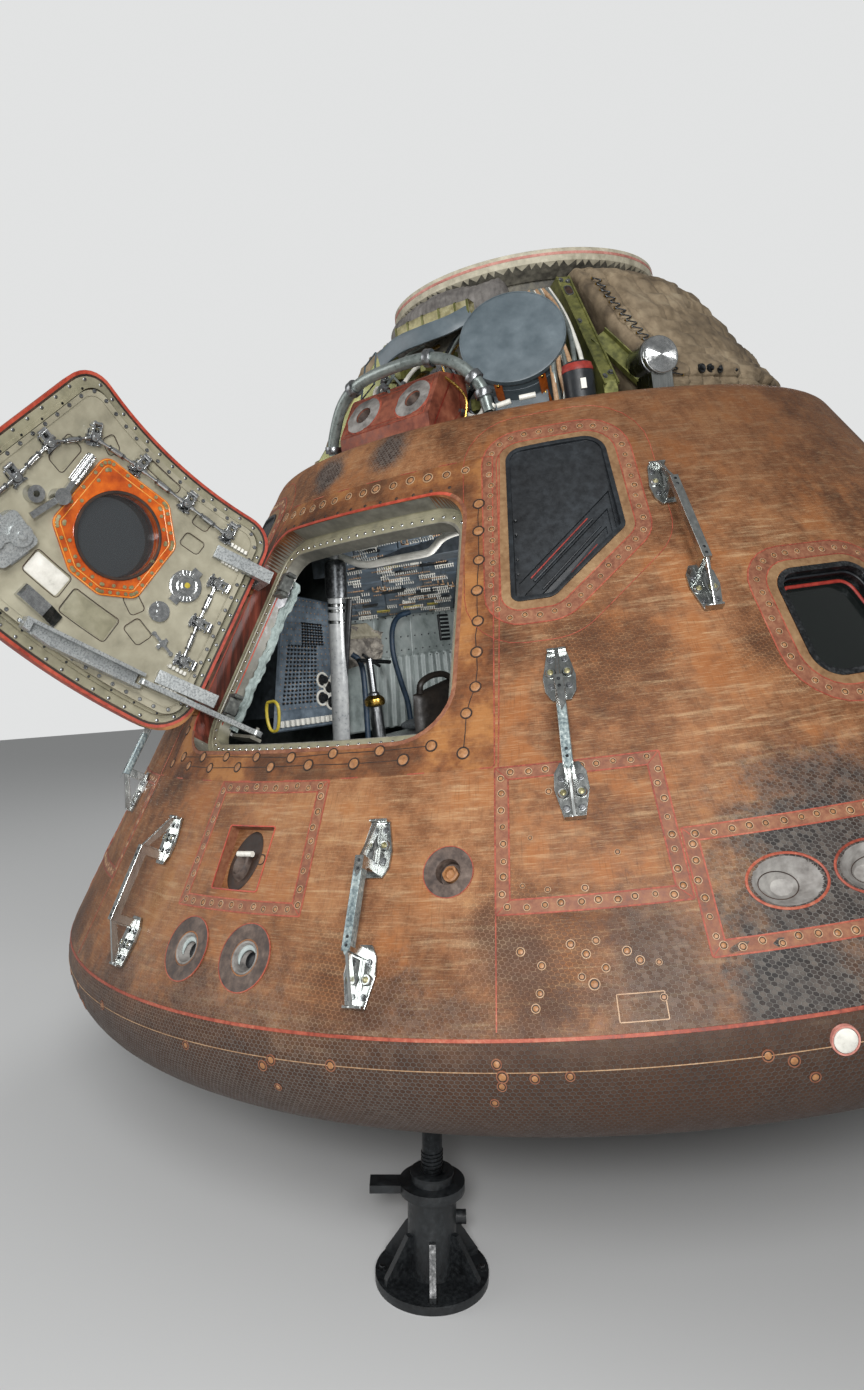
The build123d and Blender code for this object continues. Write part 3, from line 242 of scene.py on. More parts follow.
# Smooth line through the points (Catmull-Rom)
def smoothPath(points, perRun=8):
    points = np.array(points, float)
    padded = np.concatenate([2 * points[:1] - points[1:2], points, 2 * points[-1:] - points[-2:-1]])
    t = np.linspace(0, 1, perRun, endpoint=False)[None, :, None]
    a, b, c, d = (padded[i:len(padded) - 3 + i, None, :] for i in range(4))
    curve = 0.5 * (2 * b + (c - a) * t + (2 * a - 5 * b + 4 * c - d) * t ** 2 + (3 * b - a - 3 * c + d)
        * t ** 3)
    return np.concatenate([curve.reshape(-1, 3), points[-1:]])


# Section (n, 2) carried along a path: its x lies along side, its y along the cross of path and side
def swept(path, section, closed=False, side=(0.0, 0.0, 1.0), scale=1.0):
    path = np.asarray(path, float)
    if closed:
        ahead = np.roll(path, -1, axis=0) - np.roll(path, 1, axis=0)
    else:
        ahead = np.gradient(path, axis=0)
    ahead = unit(ahead)
    side = np.broadcast_to(side, path.shape)
    second = np.cross(ahead, side)
    second = unit(second)
    first = np.cross(second, ahead)
    section = np.asarray(section, float)
    scale = np.broadcast_to(np.asarray(scale, float), (len(path),))[:, None, None]
    points = path[:, None, :] + scale * (section[:, :1] * first[:, None, :] + section[:, 1:] * second[:, None,
        :])
    return points.reshape(-1, 3), gridFaces(len(path), len(section), closed, True)


def circle(radius, sides=12):
    turn = roundTurn(sides)
    return np.stack([radius * np.cos(turn), radius * np.sin(turn)], axis=1)


# Bar between two points, with ends closed to a point
def rod(start, end, radius, sides=12):
    start, end = np.asarray(start, float), np.asarray(end, float)
    run = (end - start) / np.linalg.norm(end - start)
    tiny = 1e-4
    path = np.array([start, start + run * tiny, end - run * tiny, end])
    side = (0.0, 0.0, 1.0) if abs(run[2]) < 0.9 else (1.0, 0.0, 0.0)
    return swept(path, circle(radius, sides), side=side, scale=np.array([0.02, 1, 1, 0.02]))


# Closed line with rounded corners, its edges moved inwards: flat points anticlockwise, one radius each
def roundedOutline(flat, radii, inset=0.0, perEdge=6, perCorner=7):
    flat = np.array(flat, float)
    ahead = np.roll(flat, -1, axis=0) - flat
    ahead = unit(ahead)
    behind = np.roll(ahead, 1, axis=0)
    turnBy = np.arctan2(behind[:, 0] * ahead[:, 1] - behind[:, 1] * ahead[:, 0],
        np.sum(behind * ahead, axis=1))
    leftBehind = np.stack([-behind[:, 1], behind[:, 0]], axis=1)
    leftAhead = np.stack([-ahead[:, 1], ahead[:, 0]], axis=1)
    moved = flat + inset * (leftBehind + leftAhead) / (1 + np.sum(leftBehind * leftAhead, axis=1,
        keepdims=True))
    line = []
    starts, ends = [], []
    for i, radius in enumerate(radii):
        side = 1.0 if turnBy[i] >= 0 else -1.0
        bend = max(radius - side * inset, 0.0) if radius else 0.0
        back = bend * math.tan(abs(turnBy[i]) / 2)
        start = moved[i] - behind[i] * back
        centre = start + side * leftBehind[i] * bend
        angles = np.linspace(0, turnBy[i], perCorner if radius else 1)[:, None]
        arm = -side * leftBehind[i] * bend
        turned = np.concatenate([np.cos(angles) * arm[0] - np.sin(angles) * arm[1],
                                 np.sin(angles) * arm[0] + np.cos(angles) * arm[1]], axis=1)
        starts.append(start)
        ends.append(moved[i] + ahead[i] * back)
        line.append(centre + turned)
    whole = []
    for i in range(len(flat)):
        whole.append(line[i])
        after = starts[(i + 1) % len(flat)]
        steps = np.linspace(0, 1, perEdge + 2)[1:-1, None]
        whole.append(ends[i] + (after - ends[i]) * steps)
    return np.concatenate(whole)


# The same on the cone: corners as (phi, z), and the line back as phi and z.
# Flat x is the way round at each height from the corners' mean phi, flat y the way up the slope.
def coneOutline(corners, radii, inset=0.0, perEdge=6, perCorner=7):
    corners = np.array(corners, float)
    middle = corners[:, 0].mean()
    flat = np.stack([np.radians(corners[:, 0] - middle) * coneRadius(corners[:, 1]), corners[:, 1] / cosCone],
        axis=1)
    if np.isscalar(radii):
        radii = [radii] * len(corners)
    line = roundedOutline(flat, radii, inset, perEdge, perCorner)
    z = line[:, 1] * cosCone
    return middle + np.degrees(line[:, 0] / coneRadius(z)), z


# Surface through closed loops of equal length
def loops(*lines):
    stacked = np.stack(lines)
    return stacked.reshape(-1, 3), gridFaces(len(lines), stacked.shape[1], wrapColumns=True)


edgeSink = 0.0006  # how far the edges of flat bands lie under the surface


def coneBand(corners, radii, outer, inner, lift=0.0006):  # flat band between two insets of an outline
    far = coneOutline(corners, radii, outer)
    near = coneOutline(corners, radii, inner)
    return loops(conePoint(*far, -edgeSink), conePoint(*far, lift), conePoint(*near, lift),
        conePoint(*near, -edgeSink))


# Band along an open line on the cone, narrower at its raised middle
def coneStrip(phi, z, width, lift=0.0006, steps=24):
    t = np.linspace(0, 1, steps)
    known = np.linspace(0, 1, len(phi))
    phi, z = np.interp(t, known, phi), np.interp(t, known, z)
    line = conePoint(phi, z)
    ahead = np.gradient(line, axis=0)
    out = coneAxes(phi)[:, 2]
    side = np.cross(ahead, out)
    side *= width / 2 / np.linalg.norm(side, axis=1, keepdims=True)
    sunk, raised = out * edgeSink, out * lift
    rows = [line - side - sunk, line - side * 0.9 + raised, line + side * 0.9 + raised, line + side - sunk]
    return np.stack(rows).reshape(-1, 3), gridFaces(4, steps)


def spaced(line, step):  # points at even steps along a closed line of (phi, z), and how many
    phi, z = line
    spots = conePoint(np.append(phi, phi[0]), np.append(z, z[0]))
    run = np.concatenate([[0], np.cumsum(np.linalg.norm(np.diff(spots, axis=0), axis=1))])
    count = max(3, int(round(run[-1] / step)))
    at = np.linspace(0, run[-1], count, endpoint=False) + step * 0.3
    at %= run[-1]
    return np.interp(at, run, np.append(phi, phi[0])), np.interp(at, run, np.append(z, z[0]))


def onCone(shape, phi, z, lift=0.0, sizes=1.0):  # copies of a shape standing on the cone
    phi, z = np.broadcast_arrays(np.atleast_1d(phi).astype(float), np.atleast_1d(z).astype(float))
    return scatter(shape, conePoint(phi, z, lift), coneAxes(phi), sizes)

# Materials

def paint(hexCode):  # sRGB hex to linear colour
    parts = [int(hexCode[i:i + 2], 16) / 255 for i in (1, 3, 5)]
    linear = [c / 12.92 if c <= 0.04045 else ((c + 0.055) / 1.055) ** 2.4 for c in parts]
    return (*linear, 1.0)


# One node: sockets are filled in order or by name, with a value, a colour or another node's output
def addNode(tree, kind, *inputs, at=None, out=0, ramp=None, **settings):
    node = tree.nodes.new("ShaderNode" + kind)
    for key, value in settings.items():
        setattr(node, key, value)
    if ramp:
        while len(node.color_ramp.elements) < len(ramp):
            node.color_ramp.elements.new(0.5)
        for element, (place, colour) in zip(node.color_ramp.elements, ramp):
            element.position = place
            element.color = paint(colour) if isinstance(colour, str) else (colour, colour, colour, 1.0)
    filled = dict(enumerate(inputs))
    filled.update(at or {})
    for key, value in filled.items():
        if value is None:
            continue
        if isinstance(value, bpy.types.NodeSocket):
            tree.links.new(value, node.inputs[key])
        else:
            node.inputs[key].default_value = paint(value) if isinstance(value, str) else value
    return node.outputs[out]


def reckon(tree, operation, *inputs):
    return addNode(tree, "Math", *inputs, operation=operation)


def fade(tree, value, low, high, start=0.0, end=1.0):  # smooth step of a value into another range
    return addNode(tree, "MapRange", value, low, high, start, end, interpolation_type="SMOOTHSTEP")


def blend(tree, factor, first, second):  # two colours mixed
    return addNode(tree, "Mix", factor, at={6: first, 7: second}, out=2, data_type="RGBA")


def noise(tree, place, scale, detail, roughness=0.5, warp=0.0):
    settings = {"Scale": scale, "Detail": detail, "Roughness": roughness, "Distortion": warp}
    return addNode(tree, "TexNoise", place, at=settings)


# Empty material with its shader: the fixed numbers go straight on the shader's own sockets
def newMaterial(name, **fixed):
    material = bpy.data.materials.new(name)
    material.use_nodes = True
    tree = material.node_tree
    shader = tree.nodes["Principled BSDF"]
    for socket, value in fixed.items():
        shader.inputs[socket.replace("_", " ")].default_value = paint(value) if isinstance(value,
            str) else value
    return material, tree, shader


# Everyday surface: broad and fine noise mixed into shades, with its own roughness range and fine relief.
# Grain and blotch are noise cells a metre, stretch squeezes the fine noise along an axis.
def surface(name, shades, grain=60.0, blotch=4.0, mixing=0.5, rough=(0.4, 0.6), bump=0.15, deep=0.0006,
            stretch=(1, 1, 1), spread=0.17, **fixed):
    material, tree, shader = newMaterial(name, **fixed)
    place = addNode(tree, "TexCoord", out=3)
    stretched = addNode(tree, "VectorMath", place, stretch, operation="MULTIPLY")
    fine = noise(tree, stretched, grain, 5.0, 0.62)
    broad = noise(tree, place, blotch, 4.0, 0.6)
    tone = addNode(tree, "Mix", mixing, at={2: broad, 3: fine}, data_type="FLOAT")
    shades = shades.split()
    steps = np.linspace(0.5 - spread, 0.5 + spread, len(shades)).tolist()
    colour = addNode(tree, "ValToRGB", tone, ramp=list(zip(steps, shades)))
    tree.links.new(colour, shader.inputs["Base Color"])
    roughness = addNode(tree, "MapRange", fine, 0.3, 0.7, rough[0], rough[1])
    tree.links.new(roughness, shader.inputs["Roughness"])
    relief = addNode(tree, "Bump", at={"Height": fine, "Strength": bump, "Distance": deep})
    tree.links.new(relief, shader.inputs["Normal"])
    return material


# Object coordinates turned back to the capsule's axes
def capsuleCoordinates(tree):
    turn = Matrix(leanTurn.T.tolist()).to_euler("XYZ")
    coordinates = addNode(tree, "TexCoord", out=3)
    location = tuple(-leanTurn.T @ shift)
    return addNode(tree, "Mapping", coordinates, location, tuple(turn))


ablator = {
    "cellAcross": 0.013,   # honeycomb cell, drawn a little over its 9.5 mm so that it shows
    "cellAlong": 0.0095,
    "brown": ("#452A18", "#6C4428", "#8C5E3C", "#A57B54"),
    "rust": "#8E5529",
    "tan": "#BFA27C",
    "charDarkAndShade": "#1A1919",
    "charMid": "#35312F",
    "charGrey": "#5E5852",
    "charWall": ("#3A3939", "#84807A"),
    "band": ("#361B10", "#74421F", "#A06E3C"),   # glossier resin round the hatchway
}

# Charred places on the cone: phi, z, full within, gone by (metres), strength
charSpots = [
    (45.2, 0.285, 0.13, 0.36, 1.0), (-45.2, 0.285, 0.13, 0.36, 0.7),
    (64.0, 0.18, 0.16, 0.5, 1.0), (-64.0, 0.18, 0.16, 0.5, 0.6), (41.5, 0.12, 0.1, 0.27, 1.0),
    (33.0, 0.13, 0.05, 0.26, 0.75), (24.0, 0.2, 0.02, 0.16, 0.5),
    (-8.6, 1.44, 0.035, 0.1, 0.9), (4.4, 1.44, 0.035, 0.1, 0.9),
    (14.5, 0.13, 0.02, 0.13, 0.45), (52.0, 0.13, 0.2, 0.42, 1.0), (-14.0, 0.1, 0.04, 0.26, 0.35),
]
# Places where the cells show through the brown: phi, z, full within, gone by
cellSpots = [
    (26.0, 0.19, 0.06, 0.24), (12.0, 0.16, 0.05, 0.17), (50.0, 0.76, 0.04, 0.16), (33.0, 0.8, 0.05, 0.2),
    (-30.0, 0.2, 0.05, 0.25), (75.0, 0.7, 0.1, 0.5), (-80.0, 0.8, 0.1, 0.5), (150.0, 0.7, 0.2, 0.7),
]


def unrolled(phi, z):  # place on the cone laid out flat
    slope = (capsule["apexZ"] - z) / cosCone
    turn = math.radians(phi) * sinCone
    return slope * math.sin(turn), slope * math.cos(turn)


# Honeycomb: nearest centre of two offset lattices, then the distance to the hexagon's side.
# Gives the wall line (1 on the wall) and a random number for each cell.
def honeycomb(tree, flat, across, along):
    rise = math.sqrt(3)
    cells = addNode(tree, "VectorMath", flat, (1 / across, 1 / along, 0), operation="MULTIPLY")
    centred = []
    for offset in (0.0, 0.5):
        moved = addNode(tree, "VectorMath", cells, (offset, offset * rise, 0), operation="ADD")
        wrapped = addNode(tree, "VectorMath", moved, (0.5, rise / 2, 1), (-0.5, -rise / 2, 0),
            operation="WRAP")
        centred.append(wrapped)
    sizes = [addNode(tree, "VectorMath", c, operation="LENGTH", out=1) for c in centred]
    nearer = reckon(tree, "LESS_THAN", sizes[0], sizes[1])
    local = addNode(tree, "Mix", nearer, at={4: centred[1], 5: centred[0]}, out=1, data_type="VECTOR")
    folded = addNode(tree, "VectorMath", local, operation="ABSOLUTE")
    lean = addNode(tree, "VectorMath", folded, (0.5, rise / 2, 0), operation="DOT_PRODUCT", out=1)
    straight = addNode(tree, "VectorMath", folded, (1, 0, 0), operation="DOT_PRODUCT", out=1)
    edge = reckon(tree, "MAXIMUM", lean, straight)
    wall = fade(tree, edge, 0.39, 0.48)
    centre = addNode(tree, "VectorMath", cells, local, operation="SUBTRACT")
    chance = addNode(tree, "TexWhiteNoise", centre, noise_dimensions="3D")
    return wall, chance


# Largest of several round spots on the flat cone, each fading between two distances with ragged edges
def spotted(tree, flat, edgeShift, spots):
    most = None
    for phi, z, full, gone, *strength in spots:
        away = addNode(tree, "VectorMath", flat, (*unrolled(phi, z), 0), operation="DISTANCE", out=1)
        away = reckon(tree, "MULTIPLY_ADD", edgeShift, min(1.0, gone * 2.2), away)
        top = strength[0] if strength else 1.0
        spot = fade(tree, away, full, gone, top, 0.0)
        most = spot if most is None else reckon(tree, "MAXIMUM", most, spot)
    return most


# Resin ablator in honeycomb, burnt by entry: brown with pale strokes round the cone, its cells bare
# where it charred
def burntAblator(name, isCone):
    material, tree, shader = newMaterial(name, Specular_IOR_Level=0.32)
    place = capsuleCoordinates(tree)
    axes = [addNode(tree, "SeparateXYZ", place, out=i) for i in range(3)]
    down = reckon(tree, "MULTIPLY", axes[1], -1.0)
    phi = reckon(tree, "ARCTAN2", axes[0], down)
    level = addNode(tree, "VectorMath", place, (1, 1, 0), operation="MULTIPLY")
    radius = addNode(tree, "VectorMath", level, operation="LENGTH", out=1)
    if isCone:
        rise = reckon(tree, "SUBTRACT", capsule["apexZ"], axes[2])
        slope = reckon(tree, "MULTIPLY", rise, 1 / cosCone)
        turn = reckon(tree, "MULTIPLY", phi, sinCone)
        sine = reckon(tree, "SINE", turn)
        cosine = reckon(tree, "COSINE", turn)
        u = reckon(tree, "MULTIPLY", slope, sine)
        v = reckon(tree, "MULTIPLY", slope, cosine)
        girth = reckon(tree, "MULTIPLY", phi, 1.5)
        along = slope
    else:
        ringMiddle = capsule["maxRadius"] - capsule["cornerRadius"]
        fromRing = reckon(tree, "SUBTRACT", radius, ringMiddle)
        bend = reckon(tree, "ARCTAN2", axes[2], fromRing)
        v = reckon(tree, "MULTIPLY", bend, -capsule["cornerRadius"])
        u = reckon(tree, "MULTIPLY", phi, capsule["maxRadius"])
        girth = u
        along = v
    flat = addNode(tree, "CombineXYZ", u, v, 0.0)
    if not isCone:  # the bowl's cells lie on a plain square plan
        inBowl = reckon(tree, "LESS_THAN", radius, 1.72)
        flat = addNode(tree, "Mix", inBowl, at={4: flat, 5: level}, out=1, data_type="VECTOR")
    strokes = addNode(tree, "CombineXYZ", girth, along, 0.0)

    def stroke(sideways, up, detail=4.0, roughness=0.6, warp=0.0):  # noise drawn out round the cone
        stretched = addNode(tree, "VectorMath", strokes, (sideways, up, 1), operation="MULTIPLY")
        return noise(tree, stretched, 1.0, detail, roughness, warp)

    blotch = noise(tree, place, 2.3, 6.0, 0.6)
    patch = noise(tree, place, 6.5, 5.0, 0.65)
    fleck = noise(tree, place, 38.0, 5.0, 0.72)
    brush = stroke(6.0, 62.0, 5.0, 0.68, 0.5)
    hair = stroke(22.0, 330.0, 3.0)
    scratch = stroke(330.0, 14.0, 3.0)

    tone = addNode(tree, "Mix", 0.42, at={2: blotch, 3: patch}, data_type="FLOAT")
    tone = addNode(tree, "Mix", 0.22, at={2: tone, 3: fleck}, data_type="FLOAT")
    shades = ablator["brown"]
    brown = addNode(tree, "ValToRGB", tone, ramp=[(0.36, shades[0]), (0.44, shades[1]), (0.52, shades[2]),
        (0.62, shades[3])])
    rusty = fade(tree, patch, 0.5, 0.66, 0.0, 0.7)
    colour = blend(tree, rusty, brown, ablator["rust"])
    where = addNode(tree, "MapRange", blotch, 0.38, 0.62, 0.25, 1.0)
    if isCone:  # paler strokes to the hatch's right, fewer towards the top
        rightward = addNode(tree, "MapRange", phi, 0.0, 0.55, 0.45, 1.0)
        lower = addNode(tree, "MapRange", axes[2], 1.1, 1.4, 1.0, 0.55)
        where = reckon(tree, "MULTIPLY", where, rightward)
        where = reckon(tree, "MULTIPLY", where, lower)
    pale = fade(tree, brush, 0.5, 0.7, 0.0, 0.78)
    pale = reckon(tree, "MULTIPLY", pale, where)
    colour = blend(tree, pale, colour, ablator["tan"])
    hairs = addNode(tree, "MapRange", hair, 0.52, 0.78, 0.0, 0.5)
    colour = blend(tree, hairs, colour, ablator["tan"])
    darks = addNode(tree, "MapRange", scratch, 0.55, 0.8, 0.0, 0.5)
    colour = blend(tree, darks, colour, shades[0])

    if isCone:  # band round the hatchway: golden resin with dark stains
        aside = reckon(tree, "ABSOLUTE", phi)
        aside = addNode(tree, "MapRange", aside, math.radians(22.9), math.radians(23.1), 1.0, 0.0)
        height = reckon(tree, "SUBTRACT", axes[2], 0.9625)
        height = reckon(tree, "ABSOLUTE", height)
        height = addNode(tree, "MapRange", height, 0.396, 0.399, 0.62, 0.0)
        inBand = reckon(tree, "MULTIPLY", aside, height)
        gold = ablator["band"]
        golden = addNode(tree, "ValToRGB", patch, ramp=[(0.38, gold[0]), (0.5, gold[1]), (0.62, gold[2])])
        colour = blend(tree, inBand, colour, golden)

        # painted shade: the cone darkens towards its upper right, where the lamps light it most
        upperRight = addNode(tree, "MapRange", phi, 0.25, 0.75, 0.0, 1.0)
        high = addNode(tree, "MapRange", axes[2], 0.95, 1.35, 0.0, 0.42)
        paintedUpperShade = reckon(tree, "MULTIPLY", upperRight, high)
        colour = blend(tree, paintedUpperShade, colour, shades[0])

    # char: spots, and a rise towards the rim, both with ragged edges
    ragged = noise(tree, place, 5.0, 8.0, 0.72)
    edgeShift = addNode(tree, "MapRange", ragged, 0.3, 0.7, -0.17, 0.17)
    if isCone:
        char = spotted(tree, flat, edgeShift, charSpots)
        height = reckon(tree, "MULTIPLY_ADD", edgeShift, 1.0, axes[2])
        low = fade(tree, height, 0.05, 0.24, 0.5, 0.0)
        char = reckon(tree, "MAXIMUM", char, low)
        bare = spotted(tree, flat, edgeShift, cellSpots)
    else:
        height = reckon(tree, "MULTIPLY_ADD", edgeShift, 0.45, axes[2])
        char = fade(tree, height, -0.045, 0.12, 1.0, 0.5)
        bare = char
    char = reckon(tree, "MINIMUM", char, 1.0)

    wall, chance = honeycomb(tree, flat, ablator["cellAcross"], ablator["cellAlong"])
    cellShade = addNode(tree, "MapRange", chance, 0.0, 1.0, 0.05, 0.5)
    charTone = reckon(tree, "MULTIPLY_ADD", fleck, 0.65, cellShade)
    charColour = addNode(tree, "ValToRGB", charTone, ramp=[(0.32, ablator["charDarkAndShade"]),
        (0.6, ablator["charMid"]), (0.88, ablator["charGrey"])])
    wallColour = blend(tree, ragged, ablator["charWall"][0], ablator["charWall"][1])
    charColour = blend(tree, wall, charColour, wallColour)
    colour = blend(tree, char, colour, charColour)
    if not isCone:  # painted shade to the left and to the right of the rim's front, where it turns away from the light
        aside = reckon(tree, "SUBTRACT", phi, math.radians(-14))
        aside = reckon(tree, "ABSOLUTE", aside)
        paintedSideShade = fade(tree, aside, math.radians(18), math.radians(46), 0.0, 0.62)
        colour = blend(tree, paintedSideShade, colour, ablator["charDarkAndShade"])

    # cells show through the brown in places
    faint = addNode(tree, "MapRange", patch, 0.4, 0.6, 0.22, 0.02)
    shown = reckon(tree, "MULTIPLY_ADD", bare, 0.6, faint)
    pit = reckon(tree, "SUBTRACT", 1.0, wall)
    pit = reckon(tree, "MULTIPLY", pit, shown)
    colour = blend(tree, pit, colour, shades[0])
    tree.links.new(colour, shader.inputs["Base Color"])

    rough = addNode(tree, "MapRange", fleck, 0.3, 0.7, 0.44, 0.74)
    tree.links.new(rough, shader.inputs["Roughness"])
    depth = reckon(tree, "MAXIMUM", char, shown)
    relief = reckon(tree, "MULTIPLY", wall, depth)
    relief = reckon(tree, "MULTIPLY_ADD", fleck, 0.55, relief)
    relief = reckon(tree, "MULTIPLY_ADD", scratch, 0.25, relief)
    relief = reckon(tree, "MULTIPLY_ADD", hair, 0.25, relief)
    bump = addNode(tree, "Bump", at={"Height": relief, "Strength": 0.6, "Distance": 0.0022})
    tree.links.new(bump, shader.inputs["Normal"])
    return material


def dress(material, *starts):  # one material for the CAD pieces whose names start so
    for name, node in nodes.items():
        if name.startswith(starts):
            node.data.materials.clear()
            node.data.materials.append(material)


coneAblator = burntAblator("burntAblatorCone", True)
rimAblator = burntAblator("charredAblatorRim", False)
salmonLine = surface("salmonSealantLine", "#52251A #833726 #A04F3A #B1735C", grain=90, rough=(0.5, 0.7),
    bump=0.4)
sealantBand = surface("sealantOverAblator", "#5C3725 #744530 #86583F #956B4D", grain=70, blotch=9, mixing=0.6,
    rough=(0.5, 0.75), bump=0.5, deep=0.001)
tanBorder = surface("bareResinBorder", "#65472D #7A5B3C #896B4A #967A57", grain=60, blotch=8,
    rough=(0.45, 0.7), bump=0.4)
plugPale = surface("resinPlug", "#7A5236 #96683F #A97E5C", grain=120, blotch=30, rough=(0.35, 0.6), bump=0.4)
# dark of the gaps round plugs, also painted shade in the beam's slot
plugDarkAndShade = surface("plugGapAndShade", "#120C08 #2A1A11 #4A2F1E", grain=120, blotch=30, rough=(0.5, 0.8), bump=0.3)
ringPale = surface("plugRimPale", "#7A5A42 #A58463 #BFA184", grain=150, blotch=30, rough=(0.4, 0.6))
scuffedBright = surface("polishedAluminiumScuffed", "#8F9391 #ACAFAD #C4C6C3", grain=90, blotch=12,
    stretch=(1, 1, 0.15), rough=(0.16, 0.3), bump=0.05, deep=0.0003, Metallic=1.0)
chrome = surface("polishedSteel", "#A4A6A7 #C4C6C6 #E4E4E2", grain=90, blotch=25, rough=(0.12, 0.26),
    bump=0.05, deep=0.0003, Metallic=1.0)
satinSteel = surface("satinSteel", "#7A7C7E #8A8C8E #999B9C", grain=160, blotch=18, mixing=0.75,
    stretch=(1, 1, 0.2), rough=(0.24, 0.4), bump=0.06, deep=0.0003, Metallic=1.0)
brushedGear = surface("brushedAluminium", "#8B8F90 #A7ABAB #C3C6C4", grain=160, blotch=12, mixing=0.6,
    rough=(0.22, 0.36), bump=0.05, deep=0.0003, Metallic=0.55)
darkSteel = surface("darkSteel", "#1E1F20 #3B3D3F #66686A", grain=120, blotch=15, rough=(0.28, 0.5),
    bump=0.15, Metallic=0.9)
brass = surface("turnedBrass", "#6C5223 #A98640 #D4B66A", grain=200, blotch=20, rough=(0.18, 0.4),
    Metallic=1.0)
blackPaint = surface("mattBlackPaint", "#0B0D10 #15191D #242A2F", grain=50, blotch=6, rough=(0.34, 0.55),
    bump=0.2)
charGrey = surface("charredCup", "#2A211E #41352F #5C4E46 #74665D", grain=55, blotch=14, mixing=0.55,
    rough=(0.5, 0.8), bump=0.5, deep=0.0015)
cupGrey = surface("paleCharredCup", "#4A4745 #77736F #8F8C88 #A5A29D", grain=38, blotch=9, mixing=0.5,
    rough=(0.5, 0.75), bump=0.4, deep=0.0012)
cream = surface("creamEnamel", "#7A7665 #918C79 #A09B87 #ABA691", grain=14, blotch=3, rough=(0.3, 0.46),
    bump=0.05)
creamRim = surface("creamRimEnamel", "#6A6757 #89856F #9C9781", grain=24, blotch=4, rough=(0.3, 0.5),
    bump=0.08)
satinTube = surface("satinTube", "#85888A #A0A2A2 #B6B8B6", grain=60, blotch=8, rough=(0.24, 0.4), bump=0.05,
    Metallic=0.2)
jambGrey = surface("jambGreyPaint", "#56544D #706E65 #8A877C", grain=40, blotch=9, rough=(0.3, 0.5), bump=0.1)
jambViolet = surface("jambSilverPaint", "#5B5A60 #77767C #939298", grain=50, blotch=9, rough=(0.25, 0.45),
    bump=0.1)
streakedWall = surface("redStreakedWall", "#26130F #47221A #6E3326 #8C4535", grain=46, blotch=5, mixing=0.7,
    stretch=(1, 1, 0.08), rough=(0.4, 0.6), bump=0.2)
castGrey = surface("castAlloyGrey", "#393A39 #5E605D #8B8D86", grain=60, blotch=14, rough=(0.3, 0.5),
    bump=0.2, Metallic=0.35)
# lighter amber for the painted highlights along the window ring's edges
paintedHighlightAmber = surface("paintedHighlightAmber", "#B35A12 #D98A2C #EBAF58", grain=40, blotch=12, rough=(0.12, 0.3),
    Coat_Weight=0.6)
housingRed = surface("housingRedBrown", "#4A2419 #6E3828 #874B36 #9C6248", grain=40, blotch=7,
    rough=(0.45, 0.7), bump=0.4, deep=0.001)
amber = surface("amberResin", "#6E2406 #A84408 #C65C0E #D8751C", grain=22, blotch=9, rough=(0.1, 0.25),
    bump=0.06, Coat_Weight=0.7, Coat_Roughness=0.06)
redEdge = surface("salmonRedEdge", "#7A2417 #A83F2C #C05A43", grain=50, blotch=6, rough=(0.4, 0.62),
    bump=0.25)
darkEdge = surface("scorchedSeam", "#17110D #2C1E16 #4B3324", grain=60, blotch=12, rough=(0.5, 0.75),
    bump=0.4)
cabinPaint = surface("cabinGreyGreenPaint", "#3E4343 #565C5B #6A7170 #7D8482", grain=30, blotch=5,
    rough=(0.4, 0.65), bump=0.15)
panelPaint = surface("panelBlueGrey", "#39424A #515C66 #65717C #7C8993", grain=34, blotch=6,
    rough=(0.32, 0.5), bump=0.12)
wornCloth = surface("wornPaleCloth", "#4A4643 #77716A #A49D92 #C6BFB2", grain=30, blotch=12, mixing=0.5,
    rough=(0.7, 0.95), bump=0.6, deep=0.0015)
consolePaint = surface("consoleGreyPaint", "#2C3034 #474D52 #596067 #6A727A", grain=40, blotch=5,
    rough=(0.35, 0.55), bump=0.12)
# dark of switches and displays, also painted shade in the low engines' throats
switchDarkAndShade = surface("switchDarkAndShade", "#08090A #15171A #25282C", grain=90, rough=(0.3, 0.5))
# pale locker paint, also the painted highlight inside the low engines
lockerPaintAndHighlight = surface("palePaintAndHighlight", "#78817F #96A09E #A9B2B0 #BCC3C0", grain=24, blotch=4, rough=(0.35, 0.55),
    bump=0.1)
paleFoam = surface("paleFoam", "#76827F #95A29F #AFBBB7", grain=110, blotch=14, rough=(0.8, 0.95), bump=0.9,
    deep=0.002)
oliveAlloy = surface("oliveChromateAlloy", "#3A3C22 #57592F #74743F #8E8C55", grain=50, blotch=7,
    rough=(0.3, 0.5), bump=0.12, Metallic=0.35)
goldAlloy = surface("goldChromateAlloy", "#666041 #958E68 #BDB694", grain=50, blotch=9, rough=(0.28, 0.5),
    Metallic=0.45)
mortarPaint = surface("mortarGreyPaint", "#454F55 #525D63 #5F6A70 #6E7A80", grain=16, blotch=3,
    rough=(0.3, 0.48), bump=0.08)
ringPaint = surface("chalkyCreamPaint", "#86806E #A8A18D #C1BAA5 #D0CAB7", grain=36, blotch=5,
    rough=(0.5, 0.75), bump=0.3)
pinkLine = surface("pinkSealant", "#8C5249 #B87A6E #CE9A8E", grain=80, blotch=9, rough=(0.5, 0.7))
deckPaint = surface("deckDustyPrimer", "#2B2A26 #4A4740 #6B675C #7F7B6E", grain=50, blotch=6,
    rough=(0.5, 0.8), bump=0.3)
jackPaint = surface("blackIronPaint", "#08090A #121416 #1D2022 #2C2F31", grain=90, blotch=9,
    rough=(0.28, 0.6), bump=0.35, deep=0.001)
oiledSteel = surface("oiledSteel", "#101112 #232527 #3D4043", grain=120, blotch=9, rough=(0.25, 0.5),
    Metallic=0.8)
